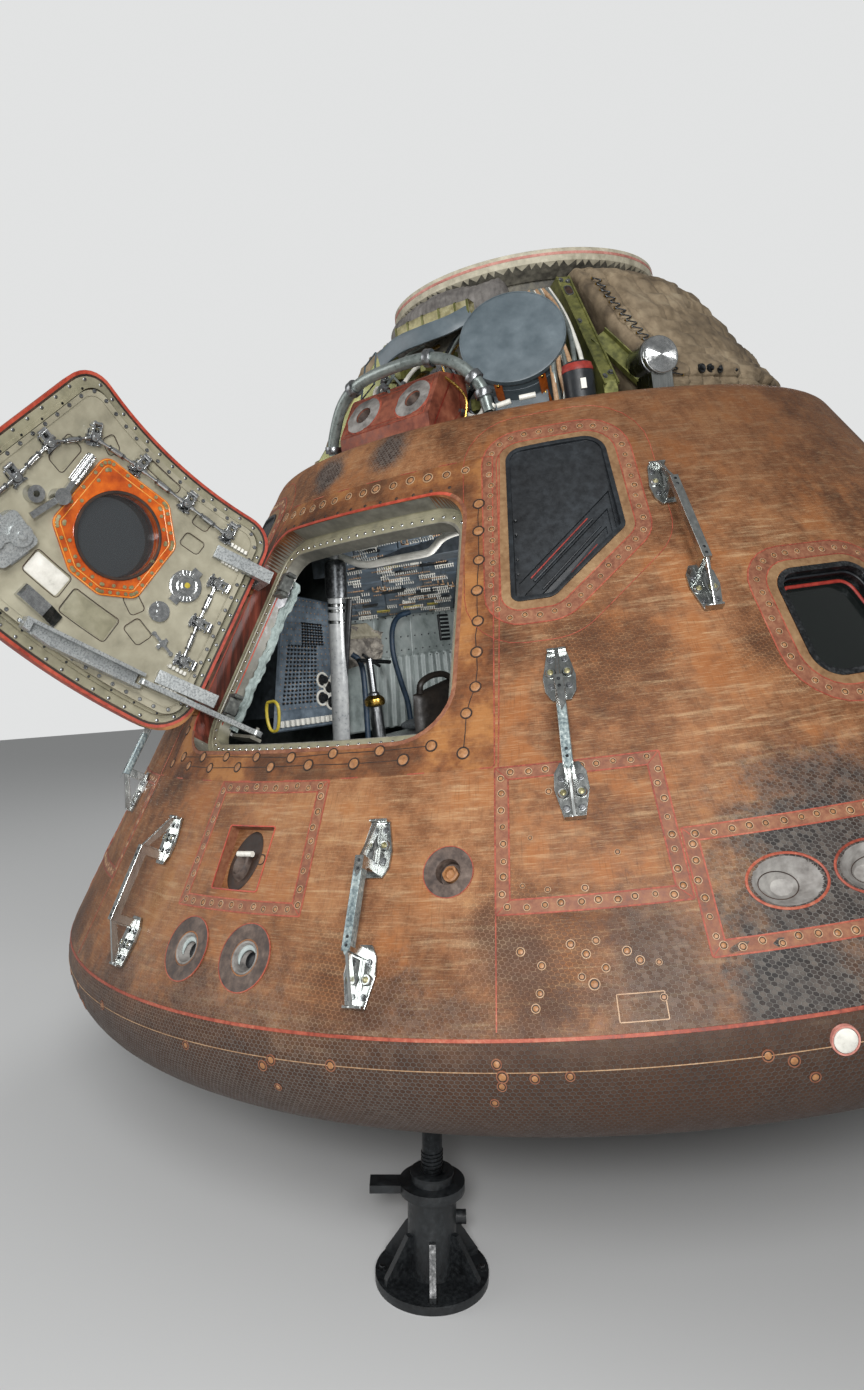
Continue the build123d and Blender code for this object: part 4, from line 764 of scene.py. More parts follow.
orangeStrap = surface("orangeStrap", "#8A3C0C #B5591A #C9762F", grain=90, blotch=12, rough=(0.4, 0.6),
    bump=0.3)
signalRed = surface("signalRed", "#5A1512 #8E2A20 #A9402F", grain=60, blotch=9, rough=(0.4, 0.65), bump=0.2)
whiteEnamel = surface("whiteEnamel", "#B9B7AE #D6D4CB #E8E6DE", grain=40, blotch=9, rough=(0.25, 0.45))
pipeAlloy = surface("dullPipeAlloy", "#5B625F #7F8784 #9AA29E", grain=60, blotch=9, rough=(0.25, 0.42),
    Metallic=0.6)
blueHose = surface("blueHose", "#16222E #243546 #33485C", grain=90, blotch=12, rough=(0.4, 0.6), bump=0.2)
yellowPaint = surface("yellowPaint", "#8A7A20 #B7A436 #CDBB55", grain=60, rough=(0.35, 0.5))
darkLeather = surface("darkCase", "#0E0C0A #1B1612 #2A221B", grain=130, blotch=12, rough=(0.4, 0.6), bump=0.4)
wornTape = surface("wornBlueGreyTape", "#46525A #6F7D80 #98A4A3 #CDD4D0", grain=140, blotch=16, mixing=0.65,
    rough=(0.25, 0.5), bump=0.3, Metallic=0.4)


def glassMaterial(name, tint, rough):
    material, tree, shader = newMaterial(name, Base_Color=tint, Transmission_Weight=0.85, IOR=1.45,
        Specular_IOR_Level=0.6)
    place = addNode(tree, "TexCoord", out=3)
    smear = noise(tree, place, 9.0, 5.0)
    tree.links.new(addNode(tree, "MapRange", smear, 0.3, 0.7, rough, rough + 0.12),
        shader.inputs["Roughness"])
    return material


smokedGlass = glassMaterial("smokedPane", "#39413F", 0.03)
clearGlass = glassMaterial("hatchPane", "#63676A", 0.02)

dress(coneAblator, "crew_heat_shield", "vent_panel", "access_panel", "roll_panel", "hatch_frame",
    "hatch_skin",
      "pitch_housing")
dress(rimAblator, "aft_heat_shield")
dress(cabinPaint, "cabin_")
dress(deckPaint, "forward_deck", "docking_tunnel")
dress(lockerPaintAndHighlight, "right_lockers", "rear_lockers")
dress(ringPaint, "tunnel_ring")
dress(consolePaint, "main_console", "left_console")
dress(blackPaint, "window_hood")
dress(darkSteel, "side_window_frame")
dress(smokedGlass, "side_window_pane")
dress(clearGlass, "hatch_pane")
dress(scuffedBright, "handrail", "pilot_mortar")
dress(oliveAlloy, "gusset")
dress(mortarPaint, "drogue_mortar")
dress(satinTube, "strut_post")
dress(brushedGear, "stay_", "hinge_arm", "hatch_gearbox")
dress(chrome, "latch", "hatch_fittings")
dress(cream, "hatch_plate")
dress(amber, "hatch_window_ring")
dress(jackPaint, "jack_base")
dress(oiledSteel, "jack_screw")
print("materials done")


# Seams and plugs on the cone

chance = np.random.default_rng(9338)
plugSpots = []  # phi, z and radius of every resin plug


def addPlugs(phi, z, radius, wander=0.0025):
    phi, z = np.broadcast_arrays(np.atleast_1d(np.asarray(phi, float)), np.atleast_1d(np.asarray(z, float)))
    across = chance.normal(0, wander, len(phi))
    z = z + chance.normal(0, wander, len(z)) * cosCone
    phi = phi + np.degrees(across / coneRadius(z))
    sizes = radius * chance.uniform(0.82, 1.14, len(phi))
    plugSpots.append(np.stack([phi, z, sizes], axis=1))


seams = {
    "line": 0.0034,         # width of a sealant line
    "plug": 0.0085,
    "plugStep": 0.038,
    "jointLine": 0.0078,
}
panels = {  # corners (phi, z) anticlockwise from the low left, corner radius, insets of the band's two lines
    "accessRight": (patchCorners(23.0, 36.0, 0.28, 0.563), 0.004, (0.0, 0.031)),
    "accessLeft": (patchCorners(-36.0, -23.0, 0.28, 0.563), 0.004, (0.0, 0.031)),
    "vent": (patchCorners(-6.5, 7.7, 0.28, 0.563), 0.004, (0.0, 0.03)),
    "rollRight": (patchCorners(36.2, 54.2, 0.18, 0.408), 0.006, (0.0, 0.031)),
    "rollLeft": (patchCorners(-54.2, -36.2, 0.18, 0.408), 0.006, (0.0, 0.031)),
    "pocketRight": ([(24.9, 0.938), (29.4, 0.938), (38.6, 1.098), (39.0, 1.372), (24.9, 1.366)],
                    (0.025, 0.045, 0.03, 0.06, 0.045), (-0.026, -0.068)),
    "pocketLeft": ([(-29.4, 0.938), (-24.9, 0.938), (-24.9, 1.366), (-39.0, 1.372), (-38.6, 1.098)],
                   (0.045, 0.025, 0.045, 0.06, 0.03), (-0.026, -0.068)),
}
for side in (-1, 1):
    low = math.degrees(0.17 / coneRadius(0.668))
    high = math.degrees(0.135 / coneRadius(0.925))
    corners = [(side * 58 - low, 0.668), (side * 58 + low, 0.668), (side * 58 + high, 0.925),
        (side * 58 - high, 0.925)]
    panels["sideWindow" + ("Left" if side < 0 else "Right")] = (corners, 0.06, (-0.034, -0.08))

lineShapes, bandShapes = [], []
for corners, radius, (outer, inner) in panels.values():
    half = seams["line"] / 2
    lineShapes += [coneBand(corners, radius, outer - half, outer + half, 0.0009)]
    lineShapes += [coneBand(corners, radius, inner - half, inner + half, 0.0009)]
    far, near = coneOutline(corners, radius, outer), coneOutline(corners, radius, inner)
    bandShapes.append(loops(conePoint(*far, 0.0004), conePoint(*near, 0.0004)))
    addPlugs(*spaced(coneOutline(corners, radius, (outer + inner) / 2), seams["plugStep"]), seams["plug"])
    if len(corners) == 4 and np.isscalar(radius) and radius < 0.01:  # mitre lines across the band's corners
        turned = np.array(corners)
        inside = np.array(coneOutline(corners, 0, inner, 0, 1)).T
        lineShapes += [coneStrip((a[0], b[0]), (a[1], b[1]), 0.0026, 0.0009, 4) for a,
            b in zip(turned, inside)]
bandHalf, bandLow, bandHigh = 23.0, 0.565, 1.36
hatchBand = patchCorners(-bandHalf, bandHalf, bandLow, bandHigh)
lineShapes.append(coneBand(hatchBand, 0.008, -0.0016, 0.0016, 0.0009))
lineShapes += [coneStrip((phi, phi), (0.085, 0.563), 0.003, 0.0008, 12) for phi in (-23.0, 23.0)]
lineShapes += [coneStrip((23.3, 24.0), (0.563, 1.36), 0.003, 0.0008, 30)]
for name in ("pocketRight", "pocketLeft"):  # thin outer line round each upper window
    lineShapes.append(coneBand(*panels[name][:2], -0.123, -0.121, 0.0008))
addMesh("sealant_lines", joined(*lineShapes), salmonLine)
addMesh("sealant_bands", joined(*bandShapes), sealantBand)
borders = [
    loops(*[conePoint(*coneOutline(*panels[name + side][:2], inset), 0.0005) for inset in insets])
    for name, insets in (("pocket", (-0.026, 0.001)), ("sideWindow", (-0.034, -0.009))) for side in ("Right",
    "Left")
]
addMesh("window_borders", joined(*borders), tanBorder)

# Joint of the two heat shields, and the fine line under it: rings of points a little outside the corner ring
ringMiddle = capsule["maxRadius"] - capsule["cornerRadius"]


def rimPoint(phi, z, lift=0.0):  # on the corner ring at a height under its join with the cone
    bend = np.arcsin(np.asarray(z, float) / capsule["cornerRadius"])
    return levelPoint(phi, ringMiddle + (capsule["cornerRadius"] + lift) * np.cos(bend),
        z + lift * np.sin(bend))


turn = np.linspace(0, 360, 361)[:-1]
for name, z, width, material in (("heat_shield_joint", capsule["jointZ"], seams["jointLine"], salmonLine),
        ("rim_line", 0.012, 0.0018, ringPale)):
    rows = [rimPoint(turn, z + width * u, lift) for u, lift in ((-0.5, -0.001), (-0.4, 0.0012), (0.4, 0.0012),
        (0.5, -0.001))]
    addMesh(name, loops(*rows), material)

looseSpots = [  # plugs that stand alone: phi, z, radius
    (24.6, 0.215, 0.009), (27.8, 0.223, 0.01), (29.4, 0.226, 0.01), (28.7, 0.205, 0.009), (31.2, 0.205, 0.01),
    (31.9, 0.188, 0.011), (33.0, 0.182, 0.008), (25.9, 0.19, 0.008), (25.7, 0.145, 0.008),
    (29.8, 0.18, 0.008),
    (32.9, 0.126, 0.009), (25.4, 0.121, 0.01), (29.0, 0.155, 0.011), (28.3, 0.168, 0.01), (24.9, 0.33, 0.007),
    (26.6, 0.32, 0.008), (29.1, 0.318, 0.008), (31.6, 0.377, 0.007), (25.6, 0.418, 0.007),
    (27.2, 0.505, 0.008),
]
for phi, z, radius in looseSpots:
    addPlugs(phi, z, radius, 0.0)
beside = np.array([  # large plugs beside the hatch, phi and z, and under it in two staggered rows
    (21.17, 1.222), (21.2, 1.142), (21.24, 1.059), (21.31, 0.982), (21.36, 0.902), (21.33, 0.824),
    (21.31, 0.746), (20.29, 0.689), (20.29, 0.599)])
under = [(phi, 0.622) for phi in np.arange(-17.6, 18, 5.0)] + [(phi, 0.598) for phi in np.arange(-15.1, 16,
    5.0)]
largePlugs = np.concatenate([beside, beside * [-1, 1], under])
addPlugs(np.linspace(-19, 19, 14), 1.332, 0.0145, 0.002)
plugs = np.concatenate(plugSpots)
disc = revolved([(0, 0.0016), (0.5, 0.0015), (0.6, 0.0008), (0.62, 0.0)], 14)
gap = revolved([(0.58, 0.0), (0.6, 0.0011), (0.82, 0.0011), (0.84, 0.0)], 14)
rim = revolved([(0.8, 0.0), (0.82, 0.0014), (1.0, 0.0014), (1.04, 0.0)], 14)
sizes = np.stack([plugs[:, 2], plugs[:, 2], np.ones(len(plugs))], axis=1)
for name, shape, material in (("plug_faces", disc, plugPale), ("plug_gaps", gap, plugDarkAndShade),
        ("plug_rims", rim, ringPale)):
    addMesh(name, onCone(shape, plugs[:, 0], plugs[:, 1], 0.0004, sizes), material)
# Large plugs: dark ring round a tan face, and the thin cracks that join them
largeAt = largePlugs + np.stack([chance.normal(0, 0.08, len(largePlugs)),
    chance.normal(0, 0.002, len(largePlugs))], axis=1)
largeSizes = np.stack([0.0165 * chance.uniform(0.92, 1.06, len(largeAt))] * 2 + [np.ones(len(largeAt))],
    axis=1)
largeFace = revolved([(0, 0.0015), (0.66, 0.0014), (0.74, 0.0008), (0.76, 0.0)], 24)
largeGap = revolved([(0.72, 0.0), (0.75, 0.0012), (0.97, 0.0012), (1.0, 0.0)], 24)
for name, shape, material in (("large_plug_faces", largeFace, plugPale),
        ("large_plug_gaps", largeGap, plugDarkAndShade)):
    addMesh(name, onCone(shape, *largeAt.T, 0.0004, largeSizes), material)
cracks = []
for group in (largeAt[:9], largeAt[9:18], largeAt[18:26], largeAt[26:]):
    cracks += [coneStrip((a[0], (a[0] + b[0]) / 2 + chance.normal(0, 0.12), b[0]),
        (a[1], (a[1] + b[1]) / 2, b[1]), 0.0024, 0.0007, 9) for a, b in zip(group, group[1:])]
addMesh("plug_cracks", joined(*cracks), darkEdge)
rimPlugs = []  # phi, z on the rim
for middle, count, spread in ((-38, 6, 3.2), (-21.5, 4, 1.2), (8, 3, 2.0), (23.6, 5, 1.4), (41, 2, 1.0),
        (60, 4, 3.0), (-62, 4, 3.0)):
    rimPlugs += [(middle + chance.normal(0, spread), chance.uniform(-0.06, 0.03)) for _ in range(count)]
rimPlugs = np.array(rimPlugs + [(phi, 0.012 - 0.012 * (i % 2)) for i, phi in enumerate(range(-170, 180, 13))])
bend = np.arcsin(rimPlugs[:, 1] / capsule["cornerRadius"])
flatOut = levelAxes(rimPlugs[:, 0])
rimAxes = np.stack([
    flatOut[:, 0],
    np.cos(bend)[:, None] * flatOut[:, 1] - np.sin(bend)[:, None] * flatOut[:, 2],
    np.sin(bend)[:, None] * flatOut[:, 1] + np.cos(bend)[:, None] * flatOut[:, 2],
], axis=1)
rimSizes = np.stack([chance.uniform(0.009, 0.013, len(rimPlugs))] * 2 + [np.ones(len(rimPlugs))], axis=1)
rimSpots = rimPoint(*rimPlugs.T)
addMesh("rim_plug_faces", scatter(disc, rimSpots, rimAxes, rimSizes), plugPale)
addMesh("rim_plug_gaps", scatter(gap, rimSpots, rimAxes, rimSizes), plugDarkAndShade)
addMesh("rim_plug_rims", scatter(rim, rimSpots, rimAxes, rimSizes), sealantBand)

# Small square outline of an old repair
square = patchCorners(30.2, 33.0, 0.092, 0.136)
addMesh("repair_outline", coneBand(square, 0.002, -0.0011, 0.0011, 0.0008), ringPale)

# White round buttons in pink rings on the rim
buttonPhi = np.array([42.4, -47.0])
buttonAt = rimPoint(buttonPhi, 0.02)
buttonAxes = levelAxes(buttonPhi)
face = lathe([(0, 7.5), (18, 7), (23.5, 4), (24.5, -4)], 28)
collar = lathe([(24.5, -4), (25, 3.6), (28.5, 3.6), (30, -4)], 28)
addMesh("rim_buttons", scatter(face, buttonAt, buttonAxes), whiteEnamel)
addMesh("rim_button_rings", scatter(collar, buttonAt, buttonAxes), pinkLine)
print("seams done", len(plugs), "plugs")

# Hatchway: scorched seam, stepped ledge and jamb

hatchCorners = [(-18.54, hatch["low"]), (18.54, hatch["low"]), (18.58, hatch["high"]),
    (-18.58, hatch["high"])]


# Azimuth at a depth: the hatchway's sides run parallel to its middle line, so x stays as it is on the cone
def cutPhi(phi, z, lift):
    radius = coneRadius(z)
    return np.degrees(np.arcsin(radius * np.sin(np.radians(phi)) / (radius + np.asarray(lift) * cosCone)))


def hatchLoop(inset, lift):
    phi, z = coneOutline(hatchCorners, hatch["corner"], inset, 22, 9)
    return conePoint(cutPhi(phi, z, lift), z, lift)


def hatchLoops(*rows):  # surface through that outline at several insets and lifts
    return loops(*[hatchLoop(*row) for row in rows])


def hatchSpots(inset, step, lift):  # evenly spaced places along that outline
    phi, z = spaced(coneOutline(hatchCorners, hatch["corner"], inset, 22, 9), step)
    return cutPhi(phi, z, lift), z


# Another material on the faces of a new piece whose middle's phi and z pass a test
def paintFaces(piece, material, test):
    piece.data.materials.append(material)
    for face in piece.data.polygons:
        middle = leanTurn.T @ (np.array(face.center) - shift)
        face.material_index = int(test(math.degrees(math.atan2(middle[0], -middle[1])), middle[2]))


redLine = addMesh("hatchway_red_line", hatchLoops(
    (-0.022, -0.0004), (-0.0205, 0.0012), (-0.0115, 0.0012), (-0.0105, -0.002)),
    redEdge)
paintFaces(redLine, sealantBand, lambda phi,
    z: phi > 17.5 or z < 0.7)  # scorched on its right and at the bottom
seamWall = addMesh("hatchway_seam", hatchLoops((-0.0096, -0.001), (-0.0094, -0.063)), jambGrey)
paintFaces(seamWall, streakedWall, lambda phi, z: phi < -17.4)  # its left side is streaked red
addMesh("hatchway_ledge", hatchLoops(
    (-0.009, -0.0555), (-0.0085, -0.0605), (0.006, -0.0605), (0.008, -0.0634),
    (0.0345, -0.0634), (0.0372, -0.065), (0.0376, -0.108)),
    creamRim)
phi, z = hatchSpots(0.021, 0.034, -0.0632)
rivet = lathe([(0, 3), (3.5, 2.6), (5.2, 1), (5.6, 0)], 12)
addMesh("ledge_rivets", onCone(rivet, phi, z, -0.0632), chrome)
bead = lathe([(0, 1.4), (4, 1.2), (5.2, 0.2), (5.6, -1)], 12)
rowPhi = np.arange(-16.8, 17, 2.8)
addMesh("band_dots", onCone(bead, rowPhi, np.full(len(rowPhi), hatch["high"] + 0.023), 0.0004), darkEdge)
print("hatchway done")

# Hatch: stepped rim on its skin, screws and springs on its inner face


def inwardAxes(phi):  # frames on the cone that face the cabin
    return coneAxes(phi) * np.array([1, 1, -1])[:, None]


def faceSpot(x, z, height=0.0):  # place on the inner face by the capsule's x and z, raised towards the cabin
    outerZ = np.asarray(z, float) + sinCone * hatch["face"]
    radius = coneRadius(outerZ) - cosCone * hatch["face"]
    phi = np.degrees(np.arcsin(np.asarray(x, float) / radius))
    return conePoint(phi, outerZ, -hatch["face"] - np.asarray(height, float)), phi


def onFace(shape, x, z, height=0.0, sizes=1.0, turn=0.0):  # copies of a shape standing on the inner face
    x, z, height, turn = np.broadcast_arrays(*(np.atleast_1d(np.asarray(v, float)) for v in (x, z, height,
        turn)))
    spots, phi = faceSpot(x, z, height)
    axes = inwardAxes(phi)
    a = np.radians(turn)[:, None]
    first = axes[:, 0] * np.cos(a) + axes[:, 1] * np.sin(a)
    second = axes[:, 1] * np.cos(a) - axes[:, 0] * np.sin(a)
    return scatter(shape, spots, np.stack([first, second, axes[:, 2]], axis=1), sizes)


def onHatch(name, shape, material):
    return addMesh(name, shape, material, toOpenHatch, "hatch")


onHatch("hatch_outer_edge", hatchLoops((0.001, -0.0002), (-0.0007, -0.003), (-0.0007, -0.052),
                                  (0.001, -0.0556), (0.0095, -0.0556), (0.0098, -0.054)),
        redEdge)
onHatch("hatch_dark_seam", hatchLoops((0.0098, -0.0545), (0.0102, -0.056), (0.0158, -0.056),
                                 (0.016, -0.0545)), darkEdge)
onHatch("hatch_rim_steps", hatchLoops(
    (0.016, -0.0548), (0.0163, -0.0572), (0.0172, -0.0582), (0.0405, -0.0582),
    (0.0414, -0.059), (0.0418, -0.07), (0.0428, -0.0712), (0.0508, -0.0712),
    (0.0516, -0.072), (0.0518, -0.095)), creamRim)
phi, z = hatchSpots(0.024, 0.052, -0.0582)
onHatch("rim_step_rivets", scatter(rivet, conePoint(phi, z, -0.0582), inwardAxes(phi),
    np.array([[1, 1, 0.45]])), satinSteel)
phi, z = hatchSpots(0.0465, 0.074, -0.0712)
screw = lathe([(0, 0.8), (2, 0.8), (2.2, 2.8), (5, 2.6), (6, 1.2), (6.4, 0)], 12)
onHatch("rim_step_screws", scatter(screw, conePoint(phi, z, -0.0712), inwardAxes(phi), 0.62), darkSteel)

# Screws along the plate's edge, in a row that follows its outline
phi, z = hatchSpots(0.06, 0.045, -hatch["face"])
onHatch("plate_edge_screws", scatter(screw, conePoint(phi, z, -hatch["face"] - 0.0001), inwardAxes(phi)),
    satinSteel)

# Amber ring round the window: painted highlights along its edges, two rows of rivets and a glossy lining in
# the bore
ringCorners = np.array([(172, 158), (-58, 180), (-154, 88), (-152, -112), (-58, -172), (45, -172),
    (172, -92)]) / 1000
windowPhi = math.degrees(hatch["windowX"] / coneRadius(hatch["windowZ"]))
windowAxes = coneAxes(windowPhi)
windowAt = conePoint(windowPhi, hatch["windowZ"], -hatch["face"])


def ringLoop(inset, height, perEdge=8):  # along the ring's outline, in the plane across the window's middle
    line = roundedOutline(ringCorners, [0.038] * 7, inset, perEdge, 7)
    return windowAt + line @ windowAxes[:2] - windowAxes[2] * height, line


def onRing(inset, perEdge):  # places on the CAD ring's face along its outline, in the frame, found by rays
    ring = nodes["hatch_window_ring"]
    back = ring.matrix_world.inverted()
    outward = Vector(leanTurn @ hingeTurn @ windowAxes[2])
    found = []
    for spot in toOpenHatch(ringLoop(inset, 0.05, perEdge)[0]):
        hit, place, _, _ = ring.ray_cast(back @ Vector(spot), back.to_3x3() @ outward)
        if hit:
            found.append(ring.matrix_world @ place)
    return np.array(found)


ringSpots = np.concatenate([onRing(inset, perEdge)[::step] for inset, perEdge,
    step in ((0.011, 6, 2), (0.031, 4, 2))])
ringFrames = np.stack([windowAxes[0], windowAxes[1], -windowAxes[2]])
ringScrew = lathe([(0, 1.6), (2, 1.6), (2.2, 3.4), (4.6, 3.2), (5.6, 1.6), (6, -4)], 12)
openTurn = leanTurn @ hingeTurn
addMesh("ring_rivets", scatter(ringScrew, ringSpots, ringFrames @ openTurn.T), goldAlloy, asIs,
    "hatch")
# two thin lighter amber rings along the ring's edges are painted highlights
for i, inset in enumerate((0.003, 0.021)):
    path = onRing(inset, 6) - openTurn @ windowAxes[2] * 0.0003
    addMesh("ring_highlight_%d" % i, swept(path, circle(0.0016, 6), closed=True, side=openTurn @ windowAxes[2]),
        paintedHighlightAmber, asIs, "hatch")
bore = lathe([(119.2, -98.5), (119.2, -70)], 64)
boreAt = conePoint(windowPhi, hatch["windowZ"])
onHatch("bore_lining", scatter(bore, boreAt, windowAxes), amber)
bead = lathe([(120, 0), (120.4, 2.2), (123.2, 3.4), (127, 3), (129.2, 0)], 64)
lipAt = conePoint(windowPhi, hatch["windowZ"], -hatch["face"] - 0.014)
onHatch("bore_bead", scatter(bead, lipAt, ringFrames), darkEdge)

# Latches: bolt heads on the feet, coil springs round the posts
latchRows = np.array([
    (-242, 1118, 90), (-86, 1122, 90), (93, 1109, 90), (243, 1075, 55), (324, 981, 0),
    (331, 869, 0), (348, 772, 0), (-299, 993, 180), (-324, 880, 180), (-352, 776, 180),
], float)
latchX, latchZ, latchTurn = latchRows[:, 0] / 1000, latchRows[:, 1] / 1000, latchRows[:, 2]
hexHead = lathe([(0, 4.2), (3.6, 4.2), (4.4, 3.4), (4.4, 0)], 6)
foot = joined(*[scatter(hexHead, [(x, y, 0.0)]) for x in (-0.018, -0.004) for y in (-0.011, 0.011)])
onHatch("latch_bolts", onFace(foot, latchX, latchZ, 0.0143, turn=latchTurn), satinSteel)
cheeks = [block(0.036, 0.0022, 0.017, (0.022, y, 0.0225)) for y in (-0.013, 0.013)]
cheeks += [block(0.016, 0.004, 0.012, (-0.014, y, 0.011)) for y in (-0.015, 0.015)]
cheekPiece = onHatch("latch_cheeks", onFace(joined(*cheeks), latchX, latchZ, turn=latchTurn), chrome)
roundEdges(cheekPiece, 0.0006)
pins = [rod((x, -0.0185, z), (x, 0.0185, z), 0.0026, 10) for x, z in ((0.011, 0.0265), (0.03, 0.0185))]
pins += [rod((x, y, 0.01), (x, y, 0.0215), 0.0034, 10) for x in (-0.019, 0.002) for y in (-0.0195, 0.0195)]
onHatch("latch_pins", onFace(joined(*pins), latchX, latchZ, turn=latchTurn), satinSteel)

# Nuts of the links' turnbuckles, and the dark slot in each
ends = faceSpot(latchX, latchZ, 0.018)[0]
nutShapes, slots = [], []
for first, second in ((0, 1), (1, 2), (2, 3), (3, 4), (4, 5), (5, 6), (7, 8), (8, 9)):
    run = ends[second] - ends[first]
    run = unit(run)
    middle = (ends[first] + ends[second]) / 2
    inwardAt = -coneAxes(math.degrees(math.atan2(middle[0], -middle[1])))[2]
    side = np.cross(run, inwardAt)
    side = unit(side)
    linkFrame = np.stack([side, np.cross(run, side), run])
    hexNut = lathe([(4.6, -3.5), (8.8, -3), (8.8, 3), (4.6, 3.5)], 6)
    nutShapes += [scatter(hexNut, middle + run * by, linkFrame) for by in (-0.0225, 0.0225)]
    slots += [scatter(block(0.0165, 0.0045, 0.016), middle, linkFrame)]
onHatch("link_nuts", joined(*nutShapes), satinSteel)
onHatch("link_slots", joined(*slots), darkSteel)

# Outlines of the plate's milled pockets
pocketRows = [  # x, z, half length, half height in millimetres, turn
    (-160, 1112, 26, 18, 0), (-174, 1052, 32, 22, 0), (-143, 839, 30, 22, 30), (-200, 786, 34, 26, 20),
    (186, 1102, 24, 20, 20),
    (268, 1000, 28, 46, 0), (12, 1142, 60, 14, 0), (100, 768, 62, 36, 0), (-62, 752, 78, 40, 0)]
rims = []
for x, z, halfLong, halfHigh, turned in pocketRows:
    outline = roundedOutline(rectangle(halfLong, halfHigh), [11] * 4, -0.8, 8, 7) / 1000
    a = math.radians(turned)
    outline = outline @ np.array([[math.cos(a), math.sin(a)], [-math.sin(a), math.cos(a)]])
    path, phi = faceSpot(x / 1000 + outline[:, 0], z / 1000 + outline[:, 1] * cosCone, 0.0004)
    rims.append(swept(path, circle(0.0013, 6), closed=True, side=coneAxes(phi)[:, 2]))
onHatch("pocket_outlines", joined(*rims), darkEdge)

# White comb-like brackets on both sides of the hinge arms' roots
combs = joined(*[block(0.0085, 0.012, 0.014, (x, y, 0.007)) for x in (-0.024, -0.012, 0.0, 0.012,
    0.024) for y in (-0.03, 0.03)],
               block(0.064, 0.004, 0.006, (0.0, -0.03, 0.003)),
               block(0.064, 0.004, 0.006, (0.0, 0.03, 0.003)))
combPiece = onHatch("arm_brackets", onFace(combs, [-0.298, -0.36], [1.08, 0.726]), whiteEnamel)
roundEdges(combPiece, 0.0012)
coilTurn = np.linspace(0, 5 * 2 * math.pi, 121)
coilPath = np.stack([0.0138 * np.cos(coilTurn), 0.0138 * np.sin(coilTurn),
    0.0148 + 0.012 * coilTurn / coilTurn[-1]], axis=1)
coil = swept(coilPath, circle(0.0011, 6))
onHatch("latch_springs", onFace(coil, latchX, latchZ), darkSteel)
cap = lathe([(0, 34.5), (5, 34.5), (6.2, 33), (6.4, 29.8), (11.8, 29.8), (12.2, 29)], 24)
onHatch("latch_caps", onFace(cap, latchX, latchZ), chrome)

# Blank placards in the two large recesses and beside the fittings
placardRows = [  # x, z, half width, half height
    (0.1, 0.768, 0.058, 0.032), (-0.062, 0.752, 0.074, 0.036), (0.012, 1.142, 0.056, 0.01),
]
for i, (x, z, halfWide, halfHigh) in enumerate(placardRows):
    outline = roundedOutline(rectangle(halfWide, halfHigh),
                             [0.005] * 4, 0.0, 4, 5)
    rows = [np.column_stack([outline * (1 - shrink), np.full(len(outline), height)])
            for shrink, height in ((0.0, 0.0), (0.0, 0.0012), (0.02, 0.0016), (0.999, 0.0016))]
    plate = loops(*rows)
    onHatch("placard_%d" % i, onFace(plate, x, z, -0.0049), creamRim if i else whiteEnamel)
yellow = lathe([(0, 29.2), (7, 29), (8.6, 27.6), (8.8, 26.5)], 20)
onHatch("dial_dot", onFace(yellow, -0.232, 0.947), yellowPaint)
print("hatch done")


# Forward compartment: packs, bag, pipes and mortars

# Smooth noise between -1 and 1: random values on a lattice, blended by 3t^2 - 2t^3 both ways
def softNoise(x, y, seed):
    table = np.random.default_rng(seed).uniform(-1, 1, (64, 64))
    x, y = np.broadcast_arrays(np.asarray(x, float), np.asarray(y, float))
    i, j = np.floor(x).astype(int), np.floor(y).astype(int)
    u, v = x - i, y - j
    u, v = u * u * (3 - 2 * u), v * v * (3 - 2 * v)
    corner = [[table[(i + a) % 64, (j + b) % 64] for b in (0, 1)] for a in (0, 1)]
    low = corner[0][0] * (1 - u) + corner[1][0] * u
    high = corner[0][1] * (1 - u) + corner[1][1] * u
    return low * (1 - v) + high * v


def easeTo(x, low, high):  # 0 below low, 1 above high, smooth between
    t = np.clip((np.asarray(x, float) - low) / (high - low), 0, 1)
    return t * t * (3 - 2 * t)


packs = {
    "low": 1.5115,
    "inner": 0.446,
    "inset": 0.064,      # under the cone's line
    "top": 2.04,
    "columns": 260,
}

# Ring with an uneven outer edge: its reach varies smoothly round it

